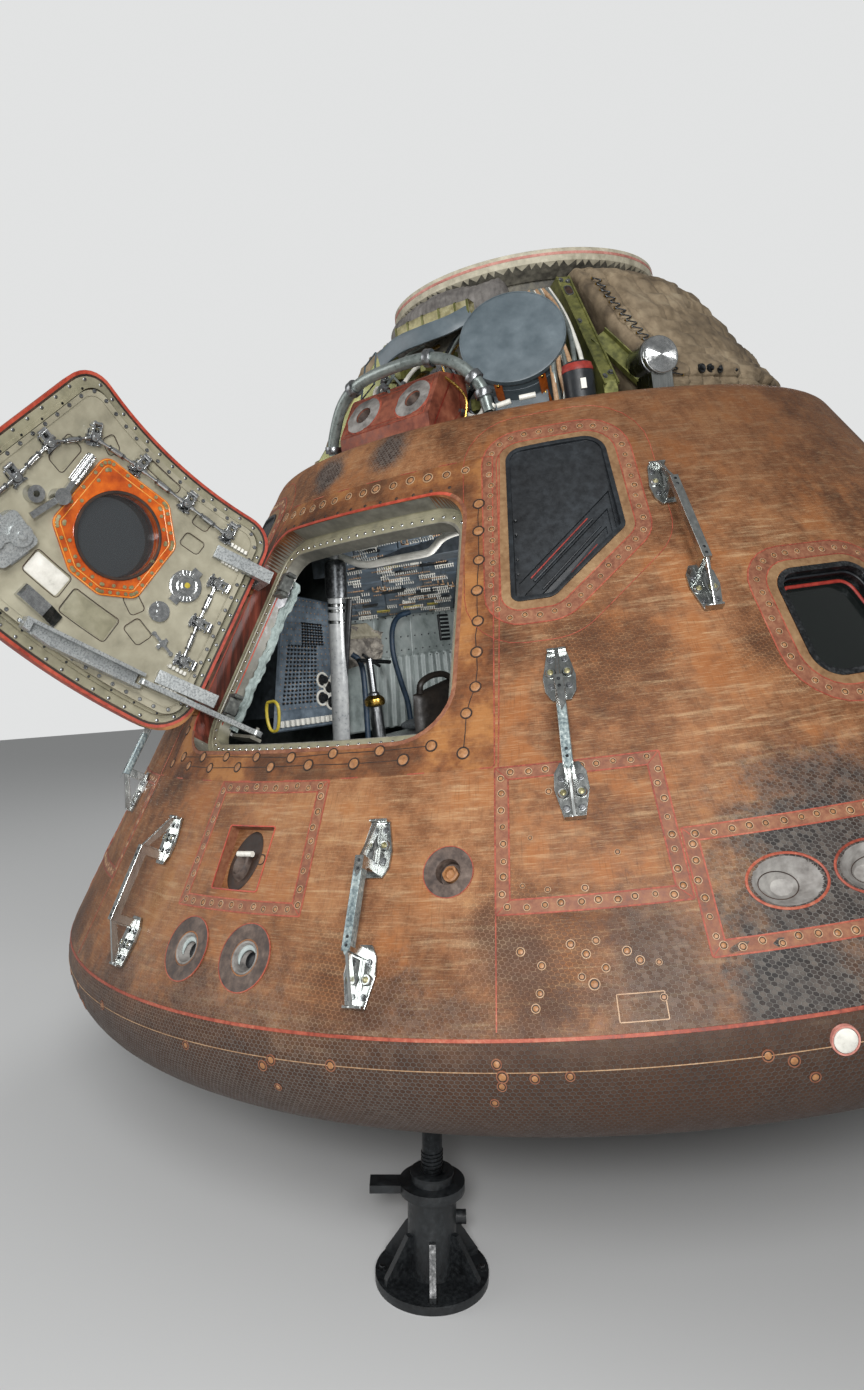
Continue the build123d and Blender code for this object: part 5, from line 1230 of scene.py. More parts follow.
# Closed section in radius and height, carried round the axis; pushed outward by long soft folds that lie
# level, sunk along upright seams, gathered in scallops along its foot, and drawn in at both ends.
def chutePack(name, firstPhi, lastPhi, slant, seed):
    low, top, inset = packs["low"], packs["top"], packs["inset"]
    knee = low + 0.085

    def line(z):
        return coneRadius(z) - inset / cosCone

    outline = [(packs["inner"], low), (line(knee) - 0.014, low), (line(knee), knee),
        (line(top - 0.05), top - 0.05),
               (line(top) - 0.045, top), (packs["inner"], top)]
    section = roundedOutline(outline, [0.03, 0.02, 0.05, 0.05, 0.03, 0.03], 0.0, 24, 8)
    ahead = np.roll(section, -1, axis=0) - np.roll(section, 1, axis=0)
    normal = np.stack([ahead[:, 1], -ahead[:, 0]], axis=1) / np.linalg.norm(ahead, axis=1, keepdims=True)
    u = np.linspace(0, 1, packs["columns"])[:, None]
    radius, z = section[None, :, 0], section[None, :, 1]
    first = firstPhi + slant * easeTo(top - z, 0.0, top - low)
    phi = first + (lastPhi - first) * u
    slope = (z - low) / (top - low)
    outer = easeTo(normal[None, :, 0], 0.1, 0.6)
    seamAt = np.array([0.045, 0.1, 0.3, 0.53, 0.77, 0.955])
    seamAway = np.abs(u[:, :, None] + 0.012 * np.sin(9 * slope + seed)[:, :, None] - seamAt).min(axis=2)
    panel = 1 - np.exp(-seamAway / 0.012)
    folds = softNoise(phi * 0.1 + slope * 2.2, slope * 11 + phi * 0.03, seed)
    folds = 1.25 * (0.5 - np.abs(folds)) + 0.45 * folds
    small = 0.6 - 2 * np.abs(softNoise(phi * 0.42 - slope * 5, slope * 27 + phi * 0.1, seed + 1))
    scallop = np.abs(np.sin(np.radians(phi) * 22 + 1.4 * softNoise(phi * 0.2, slope * 3, seed + 2)))
    foot = easeTo(0.26 - slope, 0.0, 0.12) * easeTo(slope, 0.02, 0.08)
    quilt = (np.abs(np.sin(math.pi * (slope * 9 + 0.12 * softNoise(phi * 0.12, slope * 4, seed + 5)))) ** 0.35
             * np.abs(np.sin(math.pi * (u * 9 + 0.1 * softNoise(phi * 0.1, slope * 5, seed + 6)))) ** 0.22)
    wrinkle = softNoise(phi * 0.3, slope * 60 + 0.8 * np.sin(phi * 0.3), seed + 7)
    push = outer * (0.012 * folds * panel + 0.003 * small + 0.011 * quilt + 0.0022 * wrinkle + 0.014
        * (panel - 1) - 0.008)
    push = push + foot * outer * 0.014 * (scallop - 0.45)
    push = push - outer * 0.01 * np.exp(-((slope - 0.27) / 0.016) ** 2)
    close = np.minimum(u, 1 - u) * np.radians(lastPhi - firstPhi) * 0.9
    roundIn = 0.03 * (1 - np.sqrt(np.clip(1 - (1 - np.clip(close / 0.03, 0, 1)) ** 2, 0, 1)))
    radius = radius + normal[None, :, 0] * (push - roundIn)
    height = z + normal[None, :, 1] * (push - roundIn) + 0 * u
    points = levelPoint(phi, radius, height)
    ends = np.stack([np.broadcast_to(points[i].mean(axis=0), points[i].shape) for i in (0, -1)])
    points = np.concatenate([ends[:1], points, ends[1:]])
    piece = addMesh(name + "_cover", (points.reshape(-1, 3), gridFaces(len(points), len(section), False,
        True)),
                    packCloth)
    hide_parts(name)
    return piece


packCloth = surface("packCottonDusty", "#3A3024 #594C3B #73644F #8B7B64 #9D9078", grain=26, blotch=5.5,
                    mixing=0.42, rough=(0.75, 0.95), bump=0.5, deep=0.0012, spread=0.2)
bagCloth = surface("bagNylonGrey", "#45413F #5E5A57 #74706C #878380", grain=40, blotch=8, rough=(0.6, 0.85),
                   bump=0.5, deep=0.001)
chutePack("chute_pack_right", 48.6, 131.0, 7.0, 3)
chutePack("chute_pack_rear", 139.0, 221.0, 0.0, 11)
chutePack("chute_pack_left", 229.0, 311.0, 0.0, 19)
print("packs done")

# Lacing down the right pack's near edge, and its eyelets
t = np.linspace(0.06, 0.97, 34)
laceZ = 2.02 - t * 0.47
lacePhi = 51.0 + 6.8 * easeTo(2.04 - laceZ, 0.0, 0.53) + np.where(np.arange(34) % 2, 2.1, 0.0)
laceR = coneRadius(laceZ) - packs["inset"] / cosCone + 0.01
laceR = np.where(laceZ > 1.975, laceR - 0.03, laceR)
lace = smoothPath(levelPoint(lacePhi, laceR, laceZ), 5)
outside = lace * np.array([1, 1, 0])
outside = unit(outside)
addMesh("pack_lacing", swept(lace, circle(0.0022, 6), side=outside), darkSteel)
eyelet = lathe([(3.5, 0), (4, 3), (8.5, 3), (9.5, -4)], 14)
addMesh("pack_eyelets", scatter(eyelet, levelPoint(lacePhi, laceR, laceZ) - 0.002 * outside[::5][:34],
    levelAxes(lacePhi), 0.45),
        brass)
hemPhi = [66.0, 68.5, 71.0, 76.0]
button = lathe([(0, 9), (6, 9), (8, 6), (8.5, 3), (14, 3), (15.5, -6)], 16)
addMesh("pack_hem_bolts", scatter(button, levelPoint(hemPhi, coneRadius(1.592) - 0.074, 1.592),
    levelAxes(hemPhi)),
        darkSteel)


# Padded tube along an arc: oval section with stitched ribs every few centimetres and soft dents
def bagTube():
    u = np.linspace(0, 1, 300)[:, None]
    v = roundTurn(56)[None, :]
    phi = -36 + 62 * u
    ribs = np.abs(np.sin(u * math.pi * 26 + 0.6 * softNoise(u * 9, v * 1.2, 5)))
    puff = 1 + 0.055 * ribs ** 0.6 + 0.05 * softNoise(u * 14, v * 0.95, 6) + 0.018 * softNoise(u * 70, v * 5,
        7)
    ends = np.sqrt(np.clip(1 - np.clip(1 - np.minimum(u, 1 - u) * 14, 0, 1) ** 2, 1e-4, 1))
    sag = 0.01 * softNoise(u * 5, 0 * v, 8)
    radius = 0.503 + 0.052 * np.cos(v) * puff * ends
    z = 1.99 + 0.07 * np.sin(v) * puff * ends + sag
    return levelPoint(phi, radius, z).reshape(-1, 3), gridFaces(300, 56, False, True)


bag = addMesh("uprighting_bag_cover", bagTube(), bagCloth)
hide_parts("uprighting_bag")


def tipped(axes, degrees):  # frame turned about its first axis, so that its way out tips upwards
    across, up, out = axes
    a = math.radians(degrees)
    return np.stack([across, math.cos(a) * up - math.sin(a) * out, math.sin(a) * up + math.cos(a) * out])


def pathRound(rows, perRun=8):  # smooth line through rows of phi, radius, z
    rows = np.array(rows, float)
    return smoothPath(levelPoint(*rows.T), perRun)


def outwardOf(path):
    flat = path * np.array([1, 1, 0])
    return unit(flat)


def hose(path, radius, sides=12):
    return swept(path, circle(radius, sides), side=outwardOf(path))


# Large pipe arching over the pitch engines
arch = pathRound([(-18.2, 0.925, 1.535), (-17, 0.93, 1.582), (-12, 0.93, 1.678), (-5.2, 0.93, 1.722),
    (4.9, 0.93, 1.731),
                  (11.9, 0.93, 1.723), (17, 0.93, 1.681), (20.5, 0.93, 1.608), (21.6, 0.93, 1.525)], 9)
addMesh("arch_pipe", hose(arch, 0.019, 20), pipeAlloy)
flange = lathe([(19, -12), (27, -12), (28, -10), (28, 10), (27, 12), (19, 12)], 24)
at = np.array([3, 24, 44, 60, 66])
along = np.gradient(arch, axis=0)[at]
along = unit(along)
first = outwardOf(arch)[at]
second = np.cross(along, first)
addMesh("arch_pipe_collars", scatter(flange, arch[at], np.stack([first, second, along], axis=1)), satinSteel)

# Gold-green box bar round the tunnel, with ribs, over a dark duct
arc = np.linspace(-16, 14, 60)
boxSection = roundedOutline(rectangle(0.026, 0.024), [0.004] * 4, 0.0, 2, 3)
bar = levelPoint(arc, 0.6, 1.952 + 0.0 * arc)
addMesh("box_bar", swept(bar, boxSection, side=outwardOf(bar)), goldAlloy)
ribSection = boxSection * 1.09
ribs = []
for phi in (-15.6, -9.5, -3.0, 3.6, 9.4, 13.6):
    short = levelPoint(np.linspace(phi - 0.35, phi + 0.35, 4), 0.6, np.full(4, 1.952))
    ribs.append(swept(short, ribSection, side=outwardOf(short)))
addMesh("box_bar_ribs", joined(*ribs), oliveAlloy)
duct = pathRound([(-17, 0.7, 1.86), (-9, 0.69, 1.885), (0, 0.68, 1.89), (8, 0.66, 1.9), (14, 0.62, 1.93)], 10)
ductSection = roundedOutline(rectangle(0.006, 0.03), [0.003] * 4, 0.0, 2, 3)
addMesh("flat_duct", swept(duct, ductSection, side=outwardOf(duct)), mortarPaint)
wedgePlate = [(-12.5, 0.845, 1.7), (-12.0, 0.815, 1.815), (-8.6, 0.8, 1.85), (-7.6, 0.84, 1.735)]
corner = levelPoint(*np.array(wedgePlate).T)
addMesh("side_plate", loops(corner + outwardOf(corner) * 0.004, corner, corner - outwardOf(corner) * 0.004),
    mortarPaint)

# Clutter between the engines' box and the mortar: thin hoses, couplings and brackets
hoses = []
for i in range(26):
    a = chance.uniform(-13, 20)
    b = a + chance.uniform(-9, 9)
    r, z = chance.uniform(0.62, 0.83), chance.uniform(1.56, 1.78)
    rows = [(a, r, 1.53), (a + 1.0, r + 0.01, (1.53 + z) / 2), (a * 0.5 + b * 0.5, r + 0.02, z),
        (b, r, z - 0.02),
            (b + 1.5, r - 0.1, z + 0.08), (b + 1.0, r - 0.2, z + 0.13)]
    hoses.append((pathRound(rows, 6), chance.uniform(0.0035, 0.009)))
for i, material in enumerate((pipeAlloy, darkSteel, whiteEnamel, brass)):
    addMesh("bay_hoses_%d" % i, joined(*[hose(p, r, 8) for p, r in hoses[i::4]]), material)
coupling = lathe([(6, -16), (10.5, -15), (11, -4), (12.5, -3), (12.5, 3), (11, 4), (10.5, 15), (6, 16)], 6)
spots, frames = [], []
for path, radius in hoses:
    i = chance.integers(6, len(path) - 6)
    run = path[i + 1] - path[i - 1]
    run = unit(run)
    out = outwardOf(path)[i]
    side = np.cross(run, out)
    side = unit(side)
    spots.append(path[i])
    frames.append(np.stack([np.cross(side, run), side, run]))
addMesh("bay_couplings", scatter(coupling, spots, np.array(frames)), satinSteel)
boxes = []
for i in range(16):
    phi, r, z = chance.uniform(-14, 19), chance.uniform(0.6, 0.76), chance.uniform(1.53, 1.86)
    size = chance.uniform(0.02, 0.06, 3)
    shape = block(*size)
    boxes.append(scatter(shape, levelPoint(phi, r, z), levelAxes(phi)))
boxPiece = addMesh("bay_brackets", joined(*boxes), oliveAlloy, smooth=False)
roundEdges(boxPiece, 0.002)

# Drogue mortar: rim of its lid, clamp bands, straps with rivets, and the pins at its foot
mortarPhi = 27.0
mortarFrame = tipped(levelAxes(mortarPhi)[0], 21)
mortarAt = levelPoint(mortarPhi, 0.8, 1.77)


def onMortar(name, shape, material):
    return addMesh(name, scatter(shape, mortarAt, mortarFrame), material)


onMortar("mortar_lid_face", lathe([(0, 1.2), (159, 1.2), (161.2, 0.6), (161.6, -0.4)], 96), mortarPaint)
onMortar("mortar_lid_rim", lathe([(161.8, 1.6), (164.4, 1.6), (166.2, 0.2), (166.4, -16.6), (164, -17.6),
    (157.5, -18)], 96), mortarPaint)
for i, z in enumerate((-0.026, -0.062, -0.205)):
    onMortar("mortar_band_%d" % i, revolved([(0.1572, z - 0.007), (0.1592, z - 0.0062), (0.1592, z + 0.0062),
        (0.1572, z + 0.007)], 96), satinSteel if i == 0 else mortarPaint)
strapShapes, strapRivets = [], []
for angle in (-112.0, -62.0):
    b = math.radians(angle)
    radial = np.array([math.cos(b), math.sin(b), 0])
    tangent = np.array([-math.sin(b), math.cos(b), 0])
    rows = np.array([(0.16, -0.022), (0.1615, -0.04), (0.1625, -0.08), (0.163, -0.125), (0.17, -0.15),
        (0.174, -0.17)])
    path = rows[:, :1] * radial + rows[:, 1:] * np.array([0, 0, 1.0])
    flat = roundedOutline(rectangle(0.013, 0.0022), [0.001] * 4, 0.0, 1, 2)
    strapShapes.append(swept(smoothPath(path, 4), flat, side=tangent))
    strapRivets += [(radial * r + np.array([0, 0, z]), radial, tangent) for r,
        z in ((0.1652, -0.115), (0.1665, -0.138), (0.1622, -0.03))]
onMortar("mortar_straps", joined(*strapShapes), orangeStrap)
rivetFrames = np.array([np.stack([along, np.cross(out, along), out]) for _, out, along in strapRivets])
onMortar("strap_rivets", scatter(lathe([(0, 5), (4, 4.4), (6.2, 1.8), (6.6, -2)], 14),
                                 [spot for spot, _, _ in strapRivets], rivetFrames), brass)
whiteRod = [rod(levelPoint(23.2, 0.935, 1.535), levelPoint(25.8, 0.935, 1.542), 0.0085),
    rod(levelPoint(27.4, 0.935, 1.546), levelPoint(30.4, 0.935, 1.548), 0.0085),
            rod(levelPoint(22.0, 0.93, 1.53), levelPoint(22.6, 0.93, 1.545), 0.01)]
addMesh("foot_pins", joined(*whiteRod), whiteEnamel)

# Canister with a red band, and the hoses behind it
canisterAt = levelPoint(38.7, 0.905, 1.563)
canisterAxes = levelAxes(38.7)[:, [0, 2, 1]] * np.array([1, -1, 1])[:, None]
canister = lathe([(0, 66), (34, 66), (40, 60), (44, 58), (44, 48), (46, 46), (46, -50), (40, -52), (0, -52)],
    40)
addMesh("canister", scatter(canister, canisterAt, canisterAxes), blackPaint)
redBand = lathe([(44.5, 36), (47.2, 37), (47.2, 47), (45, 50), (44.6, 58.2), (44, 59)], 40)
addMesh("canister_band", scatter(redBand, canisterAt, canisterAxes), signalRed)
addMesh("canister_clip", scatter(block(0.016, 0.03, 0.008), levelPoint(38.9, 0.954, 1.555), levelAxes(38.9)),
    whiteEnamel, smooth=False)
bundle = []
for i in range(9):
    phi = 34.5 + i * 0.75 + chance.normal(0, 0.3)
    rows = [(phi, 0.86 - 0.006 * i, 1.53), (phi + chance.normal(0, 0.6), 0.84, 1.64),
        (phi + chance.normal(0, 0.8), 0.78, 1.76),
            (phi + chance.normal(0, 0.8), 0.7, 1.86), (phi - 1.5, 0.6, 1.96)]
    bundle.append(hose(pathRound(rows, 7), chance.uniform(0.004, 0.01), 10))
for i, material in enumerate((ringPale, pipeAlloy, whiteEnamel)):
    addMesh("right_hoses_%d" % i, joined(*bundle[i::3]), material)

# Diagonal olive channel from the beam to the pilot mortar's foot
ends = levelPoint([46.8, 56.0], [0.765, 0.86], [1.745, 1.53])
channel = np.linspace(ends[0], ends[1], 12)
web = np.array([(-0.03, -0.01), (0.03, -0.01), (0.03, 0.012), (0.026, 0.012), (0.026, -0.006),
    (-0.026, -0.006), (-0.026, 0.012), (-0.03, 0.012)])
addMesh("diagonal_channel", swept(channel, web[:, ::-1], side=outwardOf(channel)), oliveAlloy)

# Beam's slot, bolts and edge flanges
beamPhi = 45.0
radial = levelAxes(beamPhi)[0]
slope = np.array([0.13 - 0.46, 0, 2.01 - 1.57])
slope = unit(slope)
alongBeam = radial[2] * slope[0] + radial[1] * slope[2]
offBeam = radial[2] * slope[2] - radial[1] * slope[0]
beamFoot = levelPoint(beamPhi, 0.89, 1.57)
beamFrame = np.stack([radial[0], alongBeam, offBeam])


def onBeam(name, shape, spots, material):
    spots = np.array(spots, float)
    return addMesh(name, scatter(shape, beamFoot + spots @ beamFrame, beamFrame), material)


slot = roundedOutline(rectangle(0.011, 0.022), [0.01] * 4, 0.0, 3, 6)
rows = [atHeight(slot * k, h) for k, h in ((1.25, -0.001), (1.2, 0.0022), (1.0, 0.0022), (0.98, -0.001))]
onBeam("beam_slot", loops(*rows), [(0.0, 0.47, 0.0)], satinSteel)
# a dark sheet fills the slot: painted shade for its open inside
rows = [atHeight(slot * k, 0.0006) for k in (0.98, 0.001)]
onBeam("beam_slot_hole", loops(*rows), [(0.0, 0.47, 0.0)], plugDarkAndShade)
bolt = lathe([(0, 7), (6.5, 7), (7.5, 5.8), (7.5, 2), (11, 1.8), (11.5, -1)], 6)
onBeam("beam_bolts", bolt, [(-0.012, 0.02, 0.0), (0.012, 0.035, 0.0), (-0.012, 0.3, 0.0), (0.012, 0.52, 0.0),
    (-0.012, 0.53, 0.0)], satinSteel)
lip = roundedOutline(rectangle(0.003, 0.004), [0.001] * 4, 0.0, 1, 2)
edges = [swept(beamFoot + np.array([(x, y, 0.002) for y in np.linspace(-0.02, 0.545, 8)]) @ beamFrame, lip,
    side=radial[0]) for x in (-0.0205, 0.0205)]
addMesh("beam_edges", joined(*edges), oliveAlloy)

# Pilot mortar's turned lid: fine rings and a dished middle
turnedLid = [(0, 0.003)] + [(0.004 + 0.001 * i, 0.003 + 0.0004 * (i % 2) - 0.0000012 * i * i)
    for i in range(48)] + [(0.0535, 0.0012), (0.056, -0.0004), (0.0576, -0.0024), (0.0578, -0.012)]
pilotAt, pilotFrame = levelPoint(54.5, 0.935, 1.622), levelAxes(54.5)
addMesh("pilot_lid", scatter(revolved(turnedLid, 72), pilotAt, pilotFrame), chrome)
addMesh("pilot_collar", scatter(lathe([(57.5, -13), (60, -15), (60.4, -28), (57.5, -30)], 60), pilotAt,
    pilotFrame), satinSteel)

# Pitch engines: charred rings round both cups, sealant lines on their box, and a red flap beside it
middle = -1.5
boxFrame = levelAxes(middle)[0]
cupFrame = tipped(boxFrame, 33)
cupSpots = []
for angle in (-8.3, 4.9):
    by = math.radians(angle - middle) * 0.93
    cupSpots.append(levelPoint(middle, 0.79, 1.5103) + by * boxFrame[0] + 0.12 * boxFrame[1] + 0.0955
        * boxFrame[2])
faceAt = np.array(cupSpots)
cup = lathe([(30, 2), (26.2, -12), (14.2, -40.5), (0, -40.8)], 48)
addMesh("pitch_cups", scatter(cup, faceAt, cupFrame), charGrey)


# Ring with an uneven outer edge: height and reach vary smoothly round it
def raggedRing(profile, seed, uneven=0.08, sides=72):
    profile = np.array(profile, float)
    turn = roundTurn(sides)
    wave = softNoise(np.cos(turn) * 2 + 9, np.sin(turn) * 2 + 9, seed)
    grow = 1 + uneven * wave * (profile[:, :1] > profile[:, 0].mean())
    radius = profile[:, :1] * grow
    points = np.stack([radius * np.cos(turn), radius * np.sin(turn), profile[:, 1:] + 0 * turn], axis=-1)
    return points.reshape(-1, 3), gridFaces(len(profile), sides, wrapColumns=True)


charRing = [(0.07, -0.001), (0.069, 0.001), (0.056, 0.0018), (0.043, 0.0042), (0.033, 0.0036),
    (0.0298, 0.001), (0.029, -0.002)]
paleEdge = [(0.0735, -0.001), (0.0725, 0.0012), (0.0695, 0.0014), (0.069, -0.001)]
for i in (0, 1):
    addMesh("pitch_char_%d" % i, scatter(raggedRing(charRing, 40 + i), faceAt[i], cupFrame), cupGrey)
    addMesh("pitch_edge_%d" % i, scatter(raggedRing(paleEdge, 40 + i), faceAt[i], cupFrame), salmonLine)
faceMiddle = faceAt.mean(axis=0)
outline = patchCorners(-0.184, 0.176, -0.078, 0.074)
frameLines = []
for inset in (0.0, 0.016):
    far, near = roundedOutline(outline, [0.004] * 4, inset - 0.0012), roundedOutline(outline, [0.004] * 4,
        inset + 0.0012)
    frameLines.append(loops(*[atHeight(line, h) for line, h in ((far, -0.001), (far, 0.001), (near, 0.001),
        (near, -0.001))]))
addMesh("pitch_box_lines", scatter(joined(*frameLines), faceMiddle, cupFrame), salmonLine)
flap = np.array([(0.182, 1.52, 0.93), (0.187, 1.7, 0.8), (0.205, 1.66, 0.81), (0.232, 1.56, 0.86),
    (0.222, 1.52, 0.9)])
flapPoints = levelPoint(np.degrees(flap[:, 0] / flap[:, 2]) - 0.8, flap[:, 2], flap[:, 1])
addMesh("red_flap", loops(flapPoints + outwardOf(flapPoints) * 0.003, flapPoints,
    flapPoints - outwardOf(flapPoints) * 0.003), signalRed)

# Ring on top of the tunnel: pink sealant line and the joint under it
top = capsule["ringZ"] + 0.08
addMesh("ring_pink_line", revolved([(0.499, top - 0.0215), (0.501, top - 0.021), (0.501, top - 0.012),
    (0.499, top - 0.0115)], 160), pinkLine)
addMesh("ring_lip", revolved([(0.4985, top + 0.0002), (0.496, top + 0.0022), (0.47, top + 0.0024),
    (0.468, top + 0.0002)], 160), ringPaint)
print("bay done")


# Details that stand on the CAD's own surfaces

def toCapsule(points):
    return (np.asarray(points, float) - shift) @ leanTurn


def depthUnder(points):  # how far places in the capsule's axes lie under the cone
    radius = np.linalg.norm(points[:, :2], axis=1)
    return (coneRadius(points[:, 2]) - radius) * cosCone


def between(points, high, low):  # places deeper than the first depth and not as deep as the second
    return (depthUnder(points) > high) & (depthUnder(points) < low)


# Another material on the faces of a CAD piece that a test picks: it gets their middles in the capsule's axes
def repaint(name, material, test):
    mesh = nodes[name].data
    middles = np.zeros(len(mesh.polygons) * 3)
    mesh.polygons.foreach_get("center", middles)
    picked = test(toCapsule(middles.reshape(-1, 3)))
    mesh.materials.append(material)
    slots = np.zeros(len(mesh.polygons), int)
    mesh.polygons.foreach_get("material_index", slots)
    slots[picked] = len(mesh.materials) - 1
    mesh.polygons.foreach_set("material_index", slots)
    mesh.update()


# Places on a CAD piece under given phi and z, found by a ray along the cone's inward direction
def settle(name, phi, z, lift=0.0):
    piece = nodes[name]
    toPiece = piece.matrix_world.inverted()
    found = []
    for spot, axes in zip(conePoint(phi, z, 0.05), coneAxes(phi)):
        start, inward = Vector(toFrame(spot)), Vector(leanTurn @ -axes[2])
        hit, place, normal, _ = piece.ray_cast(toPiece @ start, toPiece.to_3x3() @ inward)
        found.append(toCapsule(piece.matrix_world @ place) if hit else spot)
    return np.array(found) + coneAxes(phi)[:, 2] * lift


# Rounds the sharp edges of a CAD piece by modifiers: corners that coincide are welded first
def soften(name, width, degrees=35.0):
    piece = nodes[name]
    weld = piece.modifiers.new("weld", "WELD")
    weld.merge_threshold = 0.00001
    roundEdges(piece, width, degrees=degrees)


# Cuts one shape out of a piece for good, and rounds what is left
def carve(piece, cutterShape, rounded):
    cutter = addMesh(piece.name + "_cutter", cutterShape, piece.data.materials[0], asIs)
    cut = piece.modifiers.new("cut", "BOOLEAN")
    cut.operation, cut.solver, cut.object = "DIFFERENCE", "EXACT", cutter
    graph = bpy.context.evaluated_depsgraph_get()
    carved = bpy.data.meshes.new_from_object(piece.evaluated_get(graph))
    piece.modifiers.clear()
    piece.data = carved
    bpy.data.objects.remove(cutter)
    roundEdges(piece, rounded, 3)


for name in nodes:
    if name.startswith(("handrail", "gusset", "jack_base", "hinge_arm",
            "window_hood")) or name in ("stay_link", "hatch_gearbox", "stay_channel"):
        soften(name, 0.0016 if name.startswith(("handrail", "hinge", "stay", "hatch")) else 0.0022)

# Pitch engines' housing: profile (out, up) with its sloping front, cut by two cups
housing = {"phi": -1.5, "out": 0.79, "low": 1.5103, "half": 0.19}
profile = roundedOutline([(-0.08, 0.0), (0.14, 0.0), (0.14, 0.051), (0.0498, 0.19), (-0.08, 0.19)],
    [0, 0.004, 0.01, 0.012, 0.006], 0.0, 2, 5)
housingFrame = levelAxes(housing["phi"])[0]
housingAt = levelPoint(housing["phi"], housing["out"], housing["low"])
rows = []
half = housing["half"]
for across, shrink in ((-half, 0.94), (-half, 0.985), (0.004 - half, 1.0), (half - 0.004, 1.0), (half, 0.985),
        (half, 0.94)):
    middle = np.array([0.02, 0.09])
    flat = middle + (profile - middle) * shrink
    rows.append(housingAt + across * housingFrame[0] + flat[:, :1] * housingFrame[2] + flat[:,
        1:] * housingFrame[1])
ends = [np.broadcast_to(rows[i].mean(axis=0), rows[i].shape) for i in (0, -1)]
points, faces = loops(ends[0], *rows, ends[1])
housingPiece = addMesh("pitch_housing_sloped", (points, faces), housingRed)
work = bmesh.new()
work.from_mesh(housingPiece.data)
bmesh.ops.remove_doubles(work, verts=work.verts, dist=0.00005)
work.to_mesh(housingPiece.data)
work.free()
cutters = scatter(lathe([(0, -45), (14, -44.8), (27.2, -10), (30, 4), (32, 20), (0, 20)], 48), faceAt,
    cupFrame)
carve(housingPiece, (toFrame(cutters[0]), cutters[1]), 0.0015)
sharpen(housingPiece, 30)
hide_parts("pitch_housing")

# Roll engines' cups, low engines, steam port and vent recess
for side in ("right", "left"):
    repaint("roll_panel_" + side, cupGrey, lambda p: between(p, 0.0015, 0.05))
turnAt = roundTurn(72)
for side, sign in (("right", 1), ("left", -1)):
    edges, inner = [], []
    for by, grow in ((-0.095, 1.0), (0.095, 1.0)):
        phi = sign * 45.2 + math.degrees(by / coneRadius(0.29))
        for halfLong, halfWide, width, group in ((0.085, 0.058, 0.0032, edges), (0.046, 0.03, 0.0012, inner)):
            across = halfLong * np.cos(turnAt) + (0.012 * np.sign(by) * sign if group is inner else 0)
            up = halfWide * np.sin(turnAt)
            spotPhi = phi + np.degrees(across / coneRadius(0.29))
            spotZ = 0.29 + up * cosCone
            path = settle("roll_panel_" + side, spotPhi, spotZ, 0.0004)
            group.append(swept(path, circle(width, 6), closed=True, side=coneAxes(spotPhi)[:, 2]))
    addMesh("roll_cup_edges_" + side, joined(*edges), salmonLine)
    addMesh("roll_cup_lines_" + side, joined(*inner), darkEdge)
ringRows = [(0.079, -0.001), (0.0785, 0.0008), (0.056, 0.0012), (0.044, 0.0006), (0.0405, -0.004),
    (0.038, -0.012)]
lineRows = [(0.0812, -0.001), (0.081, 0.0012), (0.0786, 0.0014), (0.0782, -0.001)]
lowEngines = np.array([(-3.3, 0.194), (3.4, 0.194)])
steamPort = (19.5, 0.364)
portSpots = conePoint(*np.array([*lowEngines, steamPort]).T)
repaint("crew_heat_shield", charGrey, lambda p: between(p, 0.002, 0.055)
        & (np.linalg.norm(p[:, None] - portSpots, axis=2).min(axis=1) < 0.062))
addMesh("low_engine_rings", onCone(revolved(ringRows, 60), *lowEngines.T, 0.0004), charGrey)
addMesh("low_engine_lines", onCone(revolved(lineRows, 60), *lowEngines.T, 0.0004), salmonLine)
nozzle = lathe([(40, -3), (38.5, 1), (34, -1), (30, -16), (20, -35), (0, -35.2)], 48)
addMesh("low_engine_nozzles", onCone(nozzle, *lowEngines.T), cupGrey)
steamRing = lathe([(57.2, -1), (56.8, 1.2), (33, 1.8), (29, 0.8), (27, -6), (26.5, -30), (0, -31)], 56)
addMesh("steam_port_ring", onCone(steamRing, *steamPort), charGrey)
addMesh("steam_port_line", onCone(lathe([(59.2, -1), (59, 1.3), (57.2, 1.5), (56.8, -1)], 56), *steamPort),
    salmonLine)
addMesh("steam_port_core", onCone(raggedRing([(0.018, -0.03), (0.0172, -0.014), (0.012, -0.013),
    (0.0102, -0.02), (0.0, -0.021)], 77, 0.12), *steamPort), plugPale)
repaint("vent_panel", sealantBand, lambda p: between(p, 0.002, 0.029))
vent = [(-math.degrees(0.085 / coneRadius(z)), z) for z in (0.324, 0.462)]
ventCorners = [vent[0], (-vent[0][0], 0.324), (-vent[1][0], 0.462), vent[1]]
addMesh("vent_edge", coneBand(ventCorners, 0.006, -0.0022, 0.001, 0.0012), redEdge)
ovalTurn = math.radians(-14)
oval = np.stack([0.046 * np.cos(turnAt), 0.073 * np.sin(turnAt)], axis=1)
oval = oval @ np.array([[math.cos(ovalTurn), math.sin(ovalTurn)], [-math.sin(ovalTurn), math.cos(ovalTurn)]])
ventRows = [atHeight(oval * k, h) for k, h in ((1.1, -0.0001), (1.04, 0.0015), (0.97, 0.001), (0.9, 0.0002),
    (0.001, 0.0002))]


def ventAt(x, z, lift=0.0):  # place on the vent recess's floor: phi, z and lift
    return math.degrees(x / coneRadius(z)), z, lift - 0.0296


